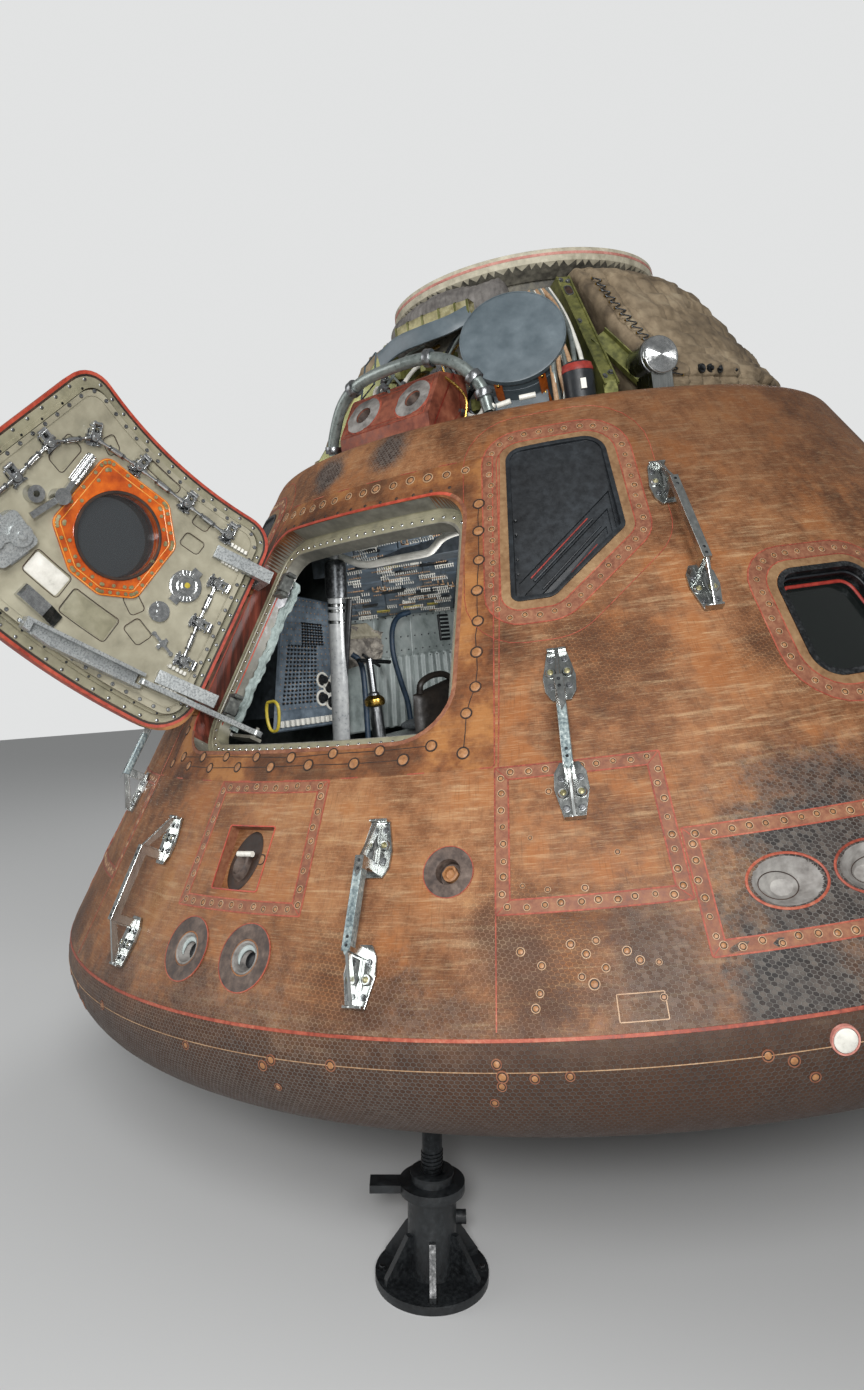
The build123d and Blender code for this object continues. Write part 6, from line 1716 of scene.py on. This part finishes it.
addMesh("vent_oval", onCone(loops(*ventRows), *ventAt(-0.022, 0.392)), darkEdge)
spout = [atHeight(oval * k + [0.004, h * 0.5], h) for k, h in ((0.52, 0.0), (0.5, 0.012), (0.42, 0.016),
    (0.36, 0.01), (0.001, 0.0006))]
addMesh("vent_spout", onCone(loops(*spout), *ventAt(-0.026, 0.378, 0.0002)), charGrey)
addMesh("vent_bar", onCone(rod((-0.028, 0, 0.014), (0.026, 0.002, 0.014), 0.0075), *ventAt(-0.012, 0.404)),
    whiteEnamel)
addMesh("vent_small_ring", onCone(lathe([(11.5, 0), (11.8, 1.2), (14.2, 1.2), (14.5, 0)], 32),
    *ventAt(0.036, 0.398)), darkEdge)
print("engines done")

repaint("hatch_frame", jambGrey, lambda p: depthUnder(p) > 0.03)
repaint("tunnel_ring", deckPaint, lambda p: p[:, 2] < capsule["ringZ"] + 0.034)
# Pale crescent inside each low engine, a painted highlight on the lit side of its inner wall, round a dark
# core that is painted shade deep in its throat
crescentTurn = np.radians(np.linspace(35, 215, 30))
crescent = np.stack([0.0262 * np.cos(crescentTurn), 0.0262 * np.sin(crescentTurn), np.full(30, -0.011)],
    axis=1)
crescentShape = swept(crescent, circle(0.0046, 10) * [1.0, 1.5], side=(0, 0, 1.0),
    scale=np.sin(np.linspace(0.05, math.pi - 0.05, 30)) ** 0.6)
addMesh("low_engine_crescents", onCone(crescentShape, *lowEngines.T), lockerPaintAndHighlight)
addMesh("low_engine_cores", onCone(lathe([(19, -26), (15, -24.5), (0, -24.3)], 32), *lowEngines.T),
    switchDarkAndShade)

# Windows: seals round the side panes; thin lines and screws in the upper pockets
for side, sign in (("right", 1), ("left", -1)):
    corners = panels["sideWindow" + side.capitalize()][0]
    for inset, depth, radius, material, label in ((0.0215, 0.046, 0.006, signalRed, "seal"),
            (0.0105, 0.02, 0.0035, blackPaint, "bead")):
        line = coneOutline(corners, 0.06, inset, 14, 9)
        addMesh("side_window_%s_%s" % (label, side), swept(conePoint(*line, -depth), circle(radius, 10),
            closed=True, side=coneAxes(line[0])[:, 2]),
                material)
    pocket = np.array(panels["pocket" + side.capitalize()][0])
    low, high = (pocket[1], pocket[2]) if sign > 0 else (pocket[0], pocket[4])
    foot = np.array([(29.4, 0.938), (38.6, 1.098)]) * [sign, 1]
    spots = conePoint(*foot.T)
    run = (spots[1] - spots[0]) / np.linalg.norm(spots[1] - spots[0])
    out = coneAxes(foot[:, 0].mean())[2]
    inward = np.cross(out, run)
    inward *= np.sign(inward[2])
    t = np.linspace(0, 1, 40)[:, None]
    for i, (offset, start, end, radius, material) in enumerate(((0.112, 0.1, 0.93, 0.0022, signalRed),
            (0.1, 0.1, 0.95, 0.004, blackPaint),
                                                                 (0.072, 0.1, 0.96, 0.003, blackPaint),
                                                                 (0.046, 0.14, 0.8, 0.003, signalRed))):
        flat = spots[0] + (spots[1] - spots[0]) * (start + (end - start) * t) + inward * offset
        phi = np.degrees(np.arctan2(flat[:, 0], -flat[:, 1]))
        path = settle("window_hood_" + side, phi, flat[:, 2], 0.0015)
        steady = path[0] + (path[-1] - path[0]) * t
        addMesh("pocket_line_%d_%s" % (i, side), swept(steady, circle(radius, 8), side=out), material)
addMesh("pocket_screws", onCone(lathe([(0, 2), (3, 2), (4.2, 0.8), (4.6, -1)], 10),
                                [25.7, 25.7, 25.7, 25.7, -25.7, -25.7, -25.7, -25.7],
                                [1.02, 1.06, 1.13, 1.17] * 2, -0.018), satinSteel)
print("windows done")

# Handrails: nuts and lugs on the feet, tape on some bars, pointed bright ends
rails = {  # phi, low z, high z, taped part of the bar from its low end
    "front_right": (29.0, 0.444, 0.803, (0.0, 0.66)),
    "front_left": (-29.0, 0.444, 0.803, (0.0, 0.66)),
    "side_right": (44.5, 0.853, 1.254, None),
    "side_left": (-44.5, 0.853, 1.254, None),
    "low_right": (13.7, 0.117, 0.468, (0.05, 0.86)),
    "low_left": (-12.0, 0.117, 0.468, None),
}
nut = lathe([(0, 6), (3.2, 6), (3.4, 4), (6.2, 3.8), (6.8, 3), (6.8, 0.6), (8.6, 0.4), (8.8, -1)], 12)
lug = lathe([(6.5, 3), (7.5, 6.2), (10.5, 6.4), (12.5, 4), (13, -1)], 20)
lugCore = lathe([(0, 4.6), (4.5, 4.2), (6.6, 2.6), (7, 0)], 16)
nutSpots, lugSpots, railFrames, lugFrames, tapes, clips = [], [], [], [], [], []
barLine = rectangle(0.0116, 0.0116)
for phi, low, high, taped in rails.values():
    axes = coneAxes(phi)
    at = conePoint(phi, (low + high) / 2)
    half = (high - low) / cosCone / 2 - 0.105
    for way in (1, -1):
        footFrame = axes * np.array([way, way, 1])[:, None]
        for x, y in ((-0.021, 0.008), (0.021, 0.008), (-0.017, 0.08), (0.017, 0.08)):
            nutSpots.append(at + np.array([x, half + y, 0.0082]) @ footFrame)
            railFrames.append(footFrame)
        for x in (-0.02, 0.02):
            lugSpots.append(at + np.array([x, half + 0.044, 0.0082]) @ footFrame)
            lugFrames.append(footFrame)
        for y in (-0.012, -0.03):
            clips.append(at + np.array([0, half + y, 0.0812]) @ footFrame)
    if taped:
        tapeLine = roundedOutline(barLine, [0.003] * 4, 0.0, 3, 3)
        start, end = (-half + 2 * half * part for part in taped)
        point = 0.02 * (1 - np.abs(tapeLine[:, 0]) / 0.0116)
        rows = [np.column_stack([tapeLine[:, 0] * k, np.full(len(tapeLine), y) - point * s,
            0.07 + tapeLine[:, 1] * k])
                for k, y, s in ((0.94, start, 1), (1.0, start + 0.0006, 1), (1.0, (start + end) / 2, 0),
                (1.0, end - 0.0006, 1), (0.94, end, 1))]
        points, faces = loops(*rows)
        tapes.append((at + points @ axes, faces))
addMesh("rail_nuts", scatter(nut, nutSpots, np.array(railFrames)), satinSteel)
addMesh("rail_lugs", scatter(lug, lugSpots, np.array(lugFrames)), scuffedBright)
addMesh("rail_lug_cores", scatter(lugCore, lugSpots, np.array(lugFrames)), goldAlloy)
addMesh("rail_rivets", scatter(lathe([(0, 1.6), (3, 1.4), (4.2, 0), (4.3, -1)], 12), clips,
    np.repeat(np.array(railFrames)[::4], 2, axis=0)), darkSteel)
addMesh("rail_tape", joined(*tapes), wornTape)
print("rails done")

# Jacks: bolt heads on the feet, threads on the screws and a grease rim
jacks = {"radius": 1.47, "turn": math.radians(39.0), "boltRadius": 0.127, "screw": 0.026, "pitch": 0.0095}
hexBolt = lathe([(0, 9), (8, 9), (9.2, 7.8), (9.2, 1.8), (13.5, 1.6), (13.8, -1)], 6)
boltSpots, threads, rims = [], [], []
for azimuth, top, padLow in ((12.4, 0.25, 0.33), (132.4, 0.52, 0.61), (252.4, 0.25, 0.33)):
    a = math.radians(azimuth)
    foot = np.array([shift[0] + jacks["radius"] * math.sin(a), shift[1] - jacks["radius"] * math.cos(a), 0.0])
    turn = jacks["turn"] + np.radians(np.arange(4) * 90.0)
    boltSpots.append(foot + np.stack([jacks["boltRadius"] * np.cos(turn), jacks["boltRadius"] * np.sin(turn),
        np.full(4, 0.022)], axis=1))
    length = padLow - top - 0.018
    coils = np.linspace(0, length / jacks["pitch"] * 2 * math.pi, int(length / jacks["pitch"] * 20) + 2)
    path = foot + np.stack([jacks["screw"] * np.cos(coils), jacks["screw"] * np.sin(coils),
        top + 0.018 + length * coils / coils[-1]], axis=1)
    threads.append(swept(path, [(-0.003, -0.001), (0.003, -0.001), (0.0012, 0.0026), (-0.0012, 0.0026)],
        side=(0, 0, 1.0)))
    rims.append(scatter(lathe([(53.5, 0), (56, 0.6), (56, 6), (52.5, 8), (40, 8.5), (27, 4)], 48),
        foot + [0, 0, top + 0.0175]))
addMesh("jack_bolts", scatter(hexBolt, np.concatenate(boltSpots)), darkSteel, asIs)
addMesh("jack_threads", joined(*threads), oiledSteel, asIs)
addMesh("jack_rims", joined(*rims), jackPaint, asIs)

# Left side of the hatchway: silver strip, torn foam along it, hinge seats and a yellow ring
z = np.linspace(0.735, 1.175, 120)
edgePhi = -18.56 + np.degrees(0.0388 / coneRadius(z))
strip = np.stack([conePoint(cutPhi(edgePhi, z, lift), z, lift) for lift in (-0.0655, -0.066, -0.108,
    -0.1085)])
addMesh("jamb_strip", (strip.reshape(-1, 3), gridFaces(4, 120)), jambViolet)
redRows = [conePoint(cutPhi(edgePhi + np.degrees(by / coneRadius(z)), z, lift), z, lift) for by,
    lift in ((0.0006, -0.07), (0.0022, -0.071), (0.0022, -0.074), (0.0006, -0.075))]
addMesh("jamb_red_line", (np.stack(redRows).reshape(-1, 3), gridFaces(4, 120)), redEdge)
u = np.linspace(0, 1, 26)[:, None]
ragged = 0.012 * softNoise(z * 26, 3.0, 71) + 0.006 * softNoise(z * 80, 5.0, 72)
depthAt = 0.104 + ragged[None, :] * (1 - u) + (0.034 + 0.6 * ragged[None, :]) * u
bulge = 0.009 * np.sin(math.pi * u) ** 0.6 + 0.004 * softNoise(z[None, :] * 60, u * 5, 73)
foamPhi = edgePhi + np.degrees(bulge / coneRadius(z))
foamZ = np.broadcast_to(z, foamPhi.shape)
addMesh("jamb_foam", (conePoint(cutPhi(foamPhi, foamZ, -depthAt), foamZ, -depthAt).reshape(-1, 3),
    gridFaces(26, 120)), paleFoam)
ringSpots = np.array([(-0.392, 0.742), (-0.358, 0.742), (-0.345, 0.715), (-0.362, 0.655), (-0.395, 0.655),
    (-0.404, 0.7)])
ringPath = smoothPath([(x, -1.235, height) for x, height in np.concatenate([ringSpots, ringSpots[:2]])],
    6)[:-6]
addMesh("yellow_ring", swept(ringPath, circle(0.0052, 10), side=(0.0, 1.0, 0.0)), yellowPaint)

# Hinge seats: stepped block with ribs and bolts beside each arm, on the frame


def seatPlate(wide, high, thick):
    rows = ((0.0, -0.002), (0.0, thick - 0.0012), (0.0012, thick), (min(wide, high) * 0.49, thick))
    outline = rectangle(wide / 2, high / 2)
    return loops(*[np.column_stack([roundedOutline(outline, [0.004] * 4, inset, 1, 4),
        np.full(20, h)]) for inset, h in rows])


for label, along in (("upper", 0.217), ("lower", -0.205)):
    parts = []

    def byHinge(x, y):  # place x to the hinge line's right and y above the arm: phi and z
        z = hatch["hingeZ"] + (along + y) * cosCone
        return hatch["hingePhi"] + math.degrees(x / coneRadius(z)), z

    for x, y, wide, high, depth, thick in ((0.085, 0.0, 0.075, 0.06, 0.066, 0.01),
            (0.11, 0.034, 0.05, 0.012, 0.066, 0.026),
                                           (0.11, -0.034, 0.05, 0.012, 0.066, 0.026),
                                           (0.12, 0.0, 0.016, 0.05, 0.066, 0.034)):
        parts.append(onCone(seatPlate(wide, high, thick), *byHinge(x, y), -depth))
    bolts = np.array([byHinge(x, y) for x, y in ((0.062, 0.02), (0.062, -0.02), (0.094, 0.018),
        (0.094, -0.018))])
    addMesh("hinge_seat_" + label, joined(*parts), castGrey)
    addMesh("hinge_bolts_" + label, onCone(hexBolt, *bolts.T, -0.057, 0.7), chrome)
print("jacks and jamb done")


# Cabin as it shows through the hatchway

# Flat or ruled panel from its corners (low left, low right, high right, high left as one looks at it):
# a place is the corners blended by u across and v up, raised along the panel's normal
class Panel:
    def __init__(self, lowLeft, lowRight, highRight, highLeft):
        self.corners = np.array([lowLeft, lowRight, highRight, highLeft], float)
        across = self.corners[1] + self.corners[2] - self.corners[0] - self.corners[3]
        up = self.corners[2] + self.corners[3] - self.corners[0] - self.corners[1]
        across = unit(across)
        out = np.cross(across, up)
        out = unit(out)
        self.frame = np.stack([across, np.cross(out, across), out])

    def spot(self, u, v, height=0.0):
        u, v, height = (np.asarray(k, float)[..., None] for k in (u, v, height))
        a, b, c, d = self.corners
        return a * (1 - u) * (1 - v) + b * u * (1 - v) + c * u * v + d * (1 - u) * v + self.frame[2] * height

    def sheet(self, relief, rows=60,
            columns=60):  # surface whose height is a function of u and v, with closed edges
        u, v = np.meshgrid(np.linspace(0, 1, columns), np.linspace(0, 1, rows))
        height = relief(u, v) + 0.0 * u
        edge = np.zeros_like(u, bool)
        edge[[0, -1]] = True
        edge[:, [0, -1]] = True
        return self.spot(u, v, np.where(edge, -0.004, height)).reshape(-1, 3), gridFaces(rows, columns)

    def put(self, shape, u, v, height=0.0, sizes=1.0, turn=0.0):
        u, v, height = np.broadcast_arrays(*(np.atleast_1d(np.asarray(k, float)) for k in (u, v, height)))
        a = math.radians(turn)
        first = self.frame[0] * math.cos(a) + self.frame[1] * math.sin(a)
        second = self.frame[1] * math.cos(a) - self.frame[0] * math.sin(a)
        return scatter(shape, self.spot(u, v, height), np.stack([first, second, self.frame[2]]), sizes)


def plate(wide, high, thick, corner=0.004, bevelBy=0.0012):  # rounded plate standing on its own middle
    outline = rectangle(wide / 2, high / 2)
    rows = [(0.0, 0.0), (0.0, thick - bevelBy), (bevelBy, thick)]
    lines = [np.column_stack([roundedOutline(outline, [corner] * 4, inset, 1, 4), np.full(20, h)]) for inset,
        h in rows]
    lines.append(lines[-1] * np.array([0.001, 0.001, 1]))
    return loops(*lines)


def grooves(value, at, width):  # 1 on lines at given places, 0 between
    return np.exp(-(np.abs(np.asarray(value)[..., None] - np.array(at)).min(axis=-1) / width) ** 4)


toggle = lathe([(0, 15), (2.2, 14.6), (2.4, 10), (1.4, 4), (4, 3.6), (4.4, 0)], 10)
knob = lathe([(0, 12), (7, 11.8), (8.2, 10), (8.6, 2), (11, 1.5), (11.5, 0)], 18)
dome = lathe([(0, 3), (1.6, 2.6), (2.4, 1), (2.6, 0)], 8)

# Panels over the couch: raised plates with gaps, toggles in rows, guards, dark displays and lit-looking rows
ceiling = Panel((-0.8, -0.389, 0.994), (-0.8, 0.366, 0.998), (0.15, -0.8, 1.262), (-0.44, -0.8, 1.25))
seamU, seamV = (0.0, 0.17, 0.36, 0.52, 0.7, 0.86, 1.0), (0.0, 0.16, 0.34, 0.5, 0.66, 0.82, 1.0)
addMesh("ceiling_panel", ceiling.sheet(lambda u, v: 0.006 - 0.005 * np.maximum(grooves(u, seamU, 0.006),
    grooves(v, seamV, 0.008))
                                       + 0.003 * (softNoise(u * 6, v * 6, 31) > 0), 150, 150), panelPaint)
toggleSpots, domeSpots = [], []
for row in np.arange(0.04, 0.98, 0.042):
    for cluster in chance.uniform(0.02, 0.86, 5):
        count = int(chance.integers(4, 11))
        spots = cluster + np.arange(count) * 0.018
        kept = np.stack([spots, np.full(count, row)], axis=1)[spots < 0.97]
        (toggleSpots if chance.random() < 0.55 else domeSpots).append(kept)
toggleSpots, domeSpots = np.concatenate(toggleSpots), np.concatenate(domeSpots)
addMesh("ceiling_toggles", ceiling.put(toggle, *toggleSpots.T, 0.005), whiteEnamel)
addMesh("ceiling_screws", ceiling.put(dome, *domeSpots.T, 0.008, 1.4), ringPale)
darks = [(0.66, 0.3, 0.15, 0.05), (0.44, 0.36, 0.1, 0.036), (0.35, 0.86, 0.06, 0.03), (0.2, 0.2, 0.09, 0.03),
         (0.8, 0.62, 0.11, 0.03), (0.56, 0.58, 0.08, 0.028), (0.88, 0.2, 0.06, 0.04)]
addMesh("ceiling_displays", joined(*[ceiling.put(plate(w, h, 0.004), a, b, 0.008) for a, b, w, h in darks]),
    switchDarkAndShade)
stripes = [(a + 0.013 * i, b) for a, b, n in ((0.28, 0.1, 9), (0.52, 0.12, 12), (0.74, 0.13, 8),
    (0.4, 0.66, 10), (0.62, 0.8, 9)) for i in range(n)]
stripes = np.array(stripes)
addMesh("ceiling_stripes", ceiling.put(block(0.0045, 0.022, 0.004), *stripes.T, 0.01, 1.0, 12),
        yellowPaint, smooth=False)
loop = smoothPath([(-0.01, -0.014, 0.004), (-0.01, -0.014, 0.02), (-0.006, 0.01, 0.03), (0.006, 0.01, 0.03),
    (0.01, -0.014, 0.02), (0.01, -0.014, 0.004)], 6)
loopShape = swept(loop, circle(0.0028, 8), side=(0.0, 0.3, 1.0))
addMesh("switch_guards", ceiling.put(loopShape, [0.86, 0.95, 0.3, 0.36, 0.58], [0.44, 0.4, 0.46, 0.46, 0.92],
    0.006), ringPale)
whiteTube = smoothPath([(-0.4, -0.872, 1.215), (-0.363, -0.868, 1.203), (-0.313, -0.862, 1.182),
    (-0.262, -0.86, 1.158), (-0.215, -0.86, 1.149), (-0.172, -0.86, 1.148),
                        (-0.07, -0.86, 1.148), (0.034, -0.86, 1.148), (0.07, -0.862, 1.162),
                        (0.105, -0.866, 1.182), (0.162, -0.87, 1.192), (0.26, -0.87, 1.195)], 6)
addMesh("grab_tube", swept(whiteTube, circle(0.0125, 18), side=(0.0, 0.3, 1.0)), whiteEnamel)

# Breaker panel on the left: slanted rows of dark buttons, dials and a row of keys
breakers = Panel((-0.868, -0.8, 0.59), (-0.868, -0.4, 0.57), (-0.868, -0.4, 1.08), (-0.868, -0.66, 1.13))
addMesh("breaker_panel", breakers.sheet(lambda u, v: 0.004 - 0.003 * np.maximum(grooves(u, (0.0, 0.5, 1.0),
    0.01), grooves(v, (0.0, 0.14, 0.6, 0.8, 1.0), 0.006)), 100, 60),
        panelPaint)
rows = np.array([(0.1 + 0.058 * i + 0.004 * j, 0.2 + 0.03 * j) for i in range(9) for j in range(15)]
                + [(0.4 + 0.05 * i, 0.64 + 0.022 * j) for i in range(8) for j in range(8)])
addMesh("breaker_buttons", breakers.put(lathe([(0, 8), (3.4, 7.8), (4, 6), (4, 1.5), (5.8, 1), (6, 0)], 10),
                                        *rows.T, 0.003), switchDarkAndShade)
dials = np.array([(0.7, 0.36), (0.8, 0.3), (0.68, 0.22), (0.82, 0.18), (0.92, 0.36), (0.92, 0.25)])
addMesh("breaker_dials", breakers.put(knob, *dials.T, 0.003, 2.0), switchDarkAndShade)
addMesh("breaker_dial_rings", breakers.put(lathe([(24, 1), (24.5, 4.5), (32.5, 4.5), (33, 1)], 26), *dials.T,
    0.003), whiteEnamel)
dots = np.array([(a, b) for a in np.arange(0.05, 1.0, 0.075) for b in np.arange(0.16, 0.98, 0.045)])
addMesh("breaker_screws", breakers.put(dome, *dots.T, 0.004), ringPale)
keys = np.array([(0.08 + 0.07 * i, 0.055) for i in range(12)])
addMesh("breaker_keys", breakers.put(plate(0.016, 0.026, 0.012, 0.003), *keys.T, 0.004), whiteEnamel)

# Pale ribbed lockers: upright ribs by a rounded wave, a flat band above with a seam and screws
lockers = Panel((-0.862, -0.44, 0.52), (-0.862, 0.56, 0.47), (-0.862, 0.56, 1.0), (-0.862, -0.34, 1.0))
addMesh("ribbed_lockers", lockers.sheet(lambda u, v: 0.004 + 0.01
    * np.clip(np.cos(u * 2 * math.pi * 17) * 1.6, -0.6, 1) * (v < 0.62) * (u > 0.22)
                                        - 0.004 * np.maximum(grooves(v, (0.64, 0.82), 0.005),
                                        grooves(u, (0.22, 0.5), 0.003)), 70, 400),
        lockerPaintAndHighlight)
addMesh("vent_frame", lockers.put(plate(0.075, 0.125, 0.01, 0.006), 0.765, 0.835, 0.004), switchDarkAndShade)
addMesh("vent_slats", lockers.put(plate(0.062, 0.0075, 0.004, 0.002), np.full(6, 0.765),
    0.745 + 0.036 * np.arange(6), 0.0145), lockerPaintAndHighlight)
screws = np.array([(a, b) for a in np.arange(0.03, 1, 0.055) for b in (0.6, 0.67, 0.79, 0.97)])
addMesh("locker_screws", lockers.put(dome, *screws.T, 0.005, 1.5), satinSteel)

# Worn fabric-covered fittings before the lockers, a brass-ended post, two hoses and a dark case
ledge = Panel((-0.8, -0.42, 0.79), (-0.79, -0.215, 0.815), (-0.79, -0.185, 0.925), (-0.8, -0.4, 0.975))
addMesh("worn_cover", ledge.sheet(lambda u, v: 0.014 + 0.018 * softNoise(u * 4, v * 4,
    51) + 0.006 * softNoise(u * 17, v * 15, 52), 60, 60), wornCloth)
shelf = Panel((-0.78, -0.4, 0.915), (-0.78, -0.19, 0.9), (-0.8, -0.27, 0.975), (-0.8, -0.385, 0.972))
addMesh("pale_shelf", shelf.sheet(lambda u, v: 0.012 + 0.0 * u, 12, 12), ringPaint)
for i, rows in enumerate(([(-0.7, -0.085, 0.995), (-0.72, -0.13, 0.985), (-0.72, -0.175, 0.955),
        (-0.72, -0.2, 0.9), (-0.72, -0.205, 0.815), (-0.72, -0.18, 0.705),
                           (-0.72, -0.155, 0.615), (-0.72, -0.15, 0.5)],
                          [(-0.74, -0.44, 0.85), (-0.72, -0.424, 0.824), (-0.72, -0.41, 0.773),
                          (-0.72, -0.415, 0.675), (-0.72, -0.433, 0.5)])):
    path = smoothPath(rows, 10)
    addMesh("blue_hose_%d" % i, swept(path, circle(0.0115, 14), side=(1.0, 0.0, 0.0)), blueHose)
post = lathe([(0, -160), (26, -160), (26, -20), (30, -16), (38, -12), (40, 0), (38, 12), (30, 20), (22, 26),
    (22, 34), (15, 40), (15, 170), (0, 170)], 32)
postAt = [(-0.6, -0.497, 0.655)]
addMesh("post_body", scatter(post, postAt), satinSteel)
addMesh("post_collar", scatter(lathe([(30.5, -16.5), (39.2, -12.5), (41.2, 0), (39.2, 12.5), (30.5, 20.5),
    (22.5, 26.5)], 32), postAt), brass)
crossbar = [rod((-0.6, -0.56, 0.826), (-0.6, -0.375, 0.8), 0.008),
    rod((-0.6, -0.53, 0.845), (-0.6, -0.44, 0.79), 0.006)]
addMesh("post_crossbar", joined(*crossbar), darkSteel)
casePanel = Panel((-0.5, -0.392, 0.5), (-0.5, -0.165, 0.48), (-0.5, -0.12, 0.7), (-0.5, -0.375, 0.66))
addMesh("dark_case", casePanel.sheet(lambda u, v: 0.03 * (1 - (2 * u - 1) ** 8) * (1 - (2 * v - 1) ** 8)
    + 0.002 * softNoise(u * 9, v * 9, 61), 40, 40), darkLeather)
handle = smoothPath([(-0.49, -0.35, 0.662), (-0.48, -0.345, 0.7), (-0.48, -0.28, 0.722), (-0.48, -0.2, 0.722),
    (-0.48, -0.15, 0.7), (-0.49, -0.14, 0.69)], 7)
addMesh("case_handle", swept(handle, circle(0.013, 12), side=(1.0, 0.0, 0.0)), darkLeather)

# Couch strut: polished sleeve rings, dark collar and its thin rod
strutFoot, strutHead = np.array([-0.495, -0.88, 0.12]), np.array([-0.32, -0.88, 1.412])
strutRun = (strutHead - strutFoot) / np.linalg.norm(strutHead - strutFoot)
side = np.array([0.0, 1.0, 0.0])
strutFrame = np.stack([np.cross(side, strutRun), side, strutRun])
collarAt = strutFoot + (strutHead - strutFoot) * ((1.135 - 0.12) / (1.412 - 0.12))
addMesh("strut_collar", scatter(lathe([(30.5, -80), (37.2, -78), (37.6, 30), (36, 38), (30, 48), (16, 52)],
    48), collarAt, strutFrame), darkSteel)
addMesh("strut_rings", joined(*[scatter(revolved([(0.03, z), (0.0322, z + 0.002), (0.0322, z + 0.01),
    (0.03, z + 0.012)], 48), collarAt, strutFrame) for z in (-0.11, -0.13, -0.168)]),
        chrome)
addMesh("strut_edge", rod(collarAt + [0.038, 0.012, -0.09], strutFoot + [0.05, 0.012, 0.46], 0.012),
    switchDarkAndShade)

# Couch: cushions of oval section with seams across, on a rounded pan with tube legs
def cushion(x, seed):
    t = np.linspace(-1, 1, 97)[:, None]
    v = roundTurn(40)[None, :]
    ends = np.clip(1 - np.abs(t) ** 14, 1e-4, 1) ** 0.5
    puff = 0.8 + 0.17 * np.abs(np.sin(t * math.pi * 3)) ** 0.5 + 0.03 * softNoise(t * 9, v * 1.3, seed)

    def flat(wave, power):  # wave with flattened crests
        return np.sign(wave) * np.abs(wave) ** power

    wide = 0.217 * flat(np.cos(v), 0.35) * ends ** 0.3
    tall = 0.5245 + 0.025 * flat(np.sin(v), 0.6) * puff * ends
    return np.stack(np.broadcast_arrays(x + wide, 0.25 + 0.522 * t, tall), axis=-1).reshape(-1,
        3), gridFaces(97, 40, False, True)


couchCloth = surface("couchWovenCloth", "#3B3F42 #555A5D #6C7174 #83888A", grain=120, blotch=9, mixing=0.6,
    rough=(0.75, 0.95), bump=0.6, deep=0.001)
cushions = addMesh("couch_cushions", joined(*[cushion(x, i) for i, x in enumerate((-0.5, 0.0, 0.5))]),
    couchCloth)
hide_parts("couch")
couchFloor = 0.1206
pan = scatter(plate(1.5, 1.25, 0.06, 0.05, 0.008), [(0.0, 0.2, 0.44)])
legs = [rod((x, y, couchFloor), (x, y, 0.4405), 0.025, 24) for x in (-0.6, 0.6) for y in (-0.25, 0.65)]
addMesh("couch_frame", joined(pan, *legs), satinTube)

print("cabin done")


# Camera, light and floor

camera = {
    "place": (1.823, -3.185, 1.6155),
    "forward": (-0.63, 0.777, 0.0),
    "lens": 24.757,
    "shiftX": 0.01243,
    "shiftY": -0.03525,
}
lamps = [
    # name, place, target, size, watts
    ("key", (4.2, -5.2, 4.6), (0.0, 0.0, 1.6), 2.4, 235.0),
    ("flash", (1.95, -3.65, 2.0), (-0.3, -0.6, 1.9), 0.5, 62.0),
    ("cabin", tuple(toFrame((0.36, -0.7, 0.86))), tuple(toFrame((-0.6, -0.4, 1.02))), 0.25, 7.0),
    ("fill", (-4.5, -5.0, 3.2), (0.0, 0.0, 1.4), 4.0, 100.0),
    ("back", (-2.5, 5.5, 5.0), (0.0, 0.0, 1.8), 4.0, 170.0),
]
backdrop = {"colour": "#E9EAEA", "seen": 0.93, "light": 0.36}


def stand(data, name, place, towards):  # camera or lamp at its place, looking along a direction
    piece = bpy.data.objects.new(name, data)
    piece.location = place
    piece.rotation_euler = Vector(towards).to_track_quat("-Z", "Y").to_euler()
    scene.collection.objects.link(piece)
    return piece


view = bpy.data.cameras.new("photoCamera")
view.lens, view.sensor_width = camera["lens"], 36.0
view.shift_x, view.shift_y = camera["shiftX"], camera["shiftY"]
scene.camera = stand(view, "photoCamera", camera["place"], camera["forward"])
for name, place, target, size, watts in lamps:
    lamp = bpy.data.lights.new(name, "AREA")
    lamp.shape, lamp.size, lamp.energy = "DISK", size, watts
    stand(lamp, name, place, Vector(target) - Vector(place))

world = bpy.data.worlds.new("studio")
scene.world = world
world.use_nodes = True
background = world.node_tree.nodes["Background"]
background.inputs["Color"].default_value = paint(backdrop["colour"])
cameraRay = addNode(world.node_tree, "LightPath", out=0)
strength = addNode(world.node_tree, "MapRange", cameraRay, 0.0, 1.0, backdrop["light"], backdrop["seen"])
world.node_tree.links.new(strength, background.inputs["Strength"])

reach = 14.0
mesh = bpy.data.meshes.new("floor")
mesh.from_pydata([(-reach, -reach, 0), (reach, -reach, 0), (reach, reach, 0), (-reach, reach, 0)], [],
    [(0, 1, 2, 3)])
floor = bpy.data.objects.new("floor", mesh)
scene.collection.objects.link(floor)
mesh.materials.append(newMaterial("paleFloor", Roughness=0.6, Base_Color="#CFD0D0")[0])
scene.view_settings.view_transform = "Standard"
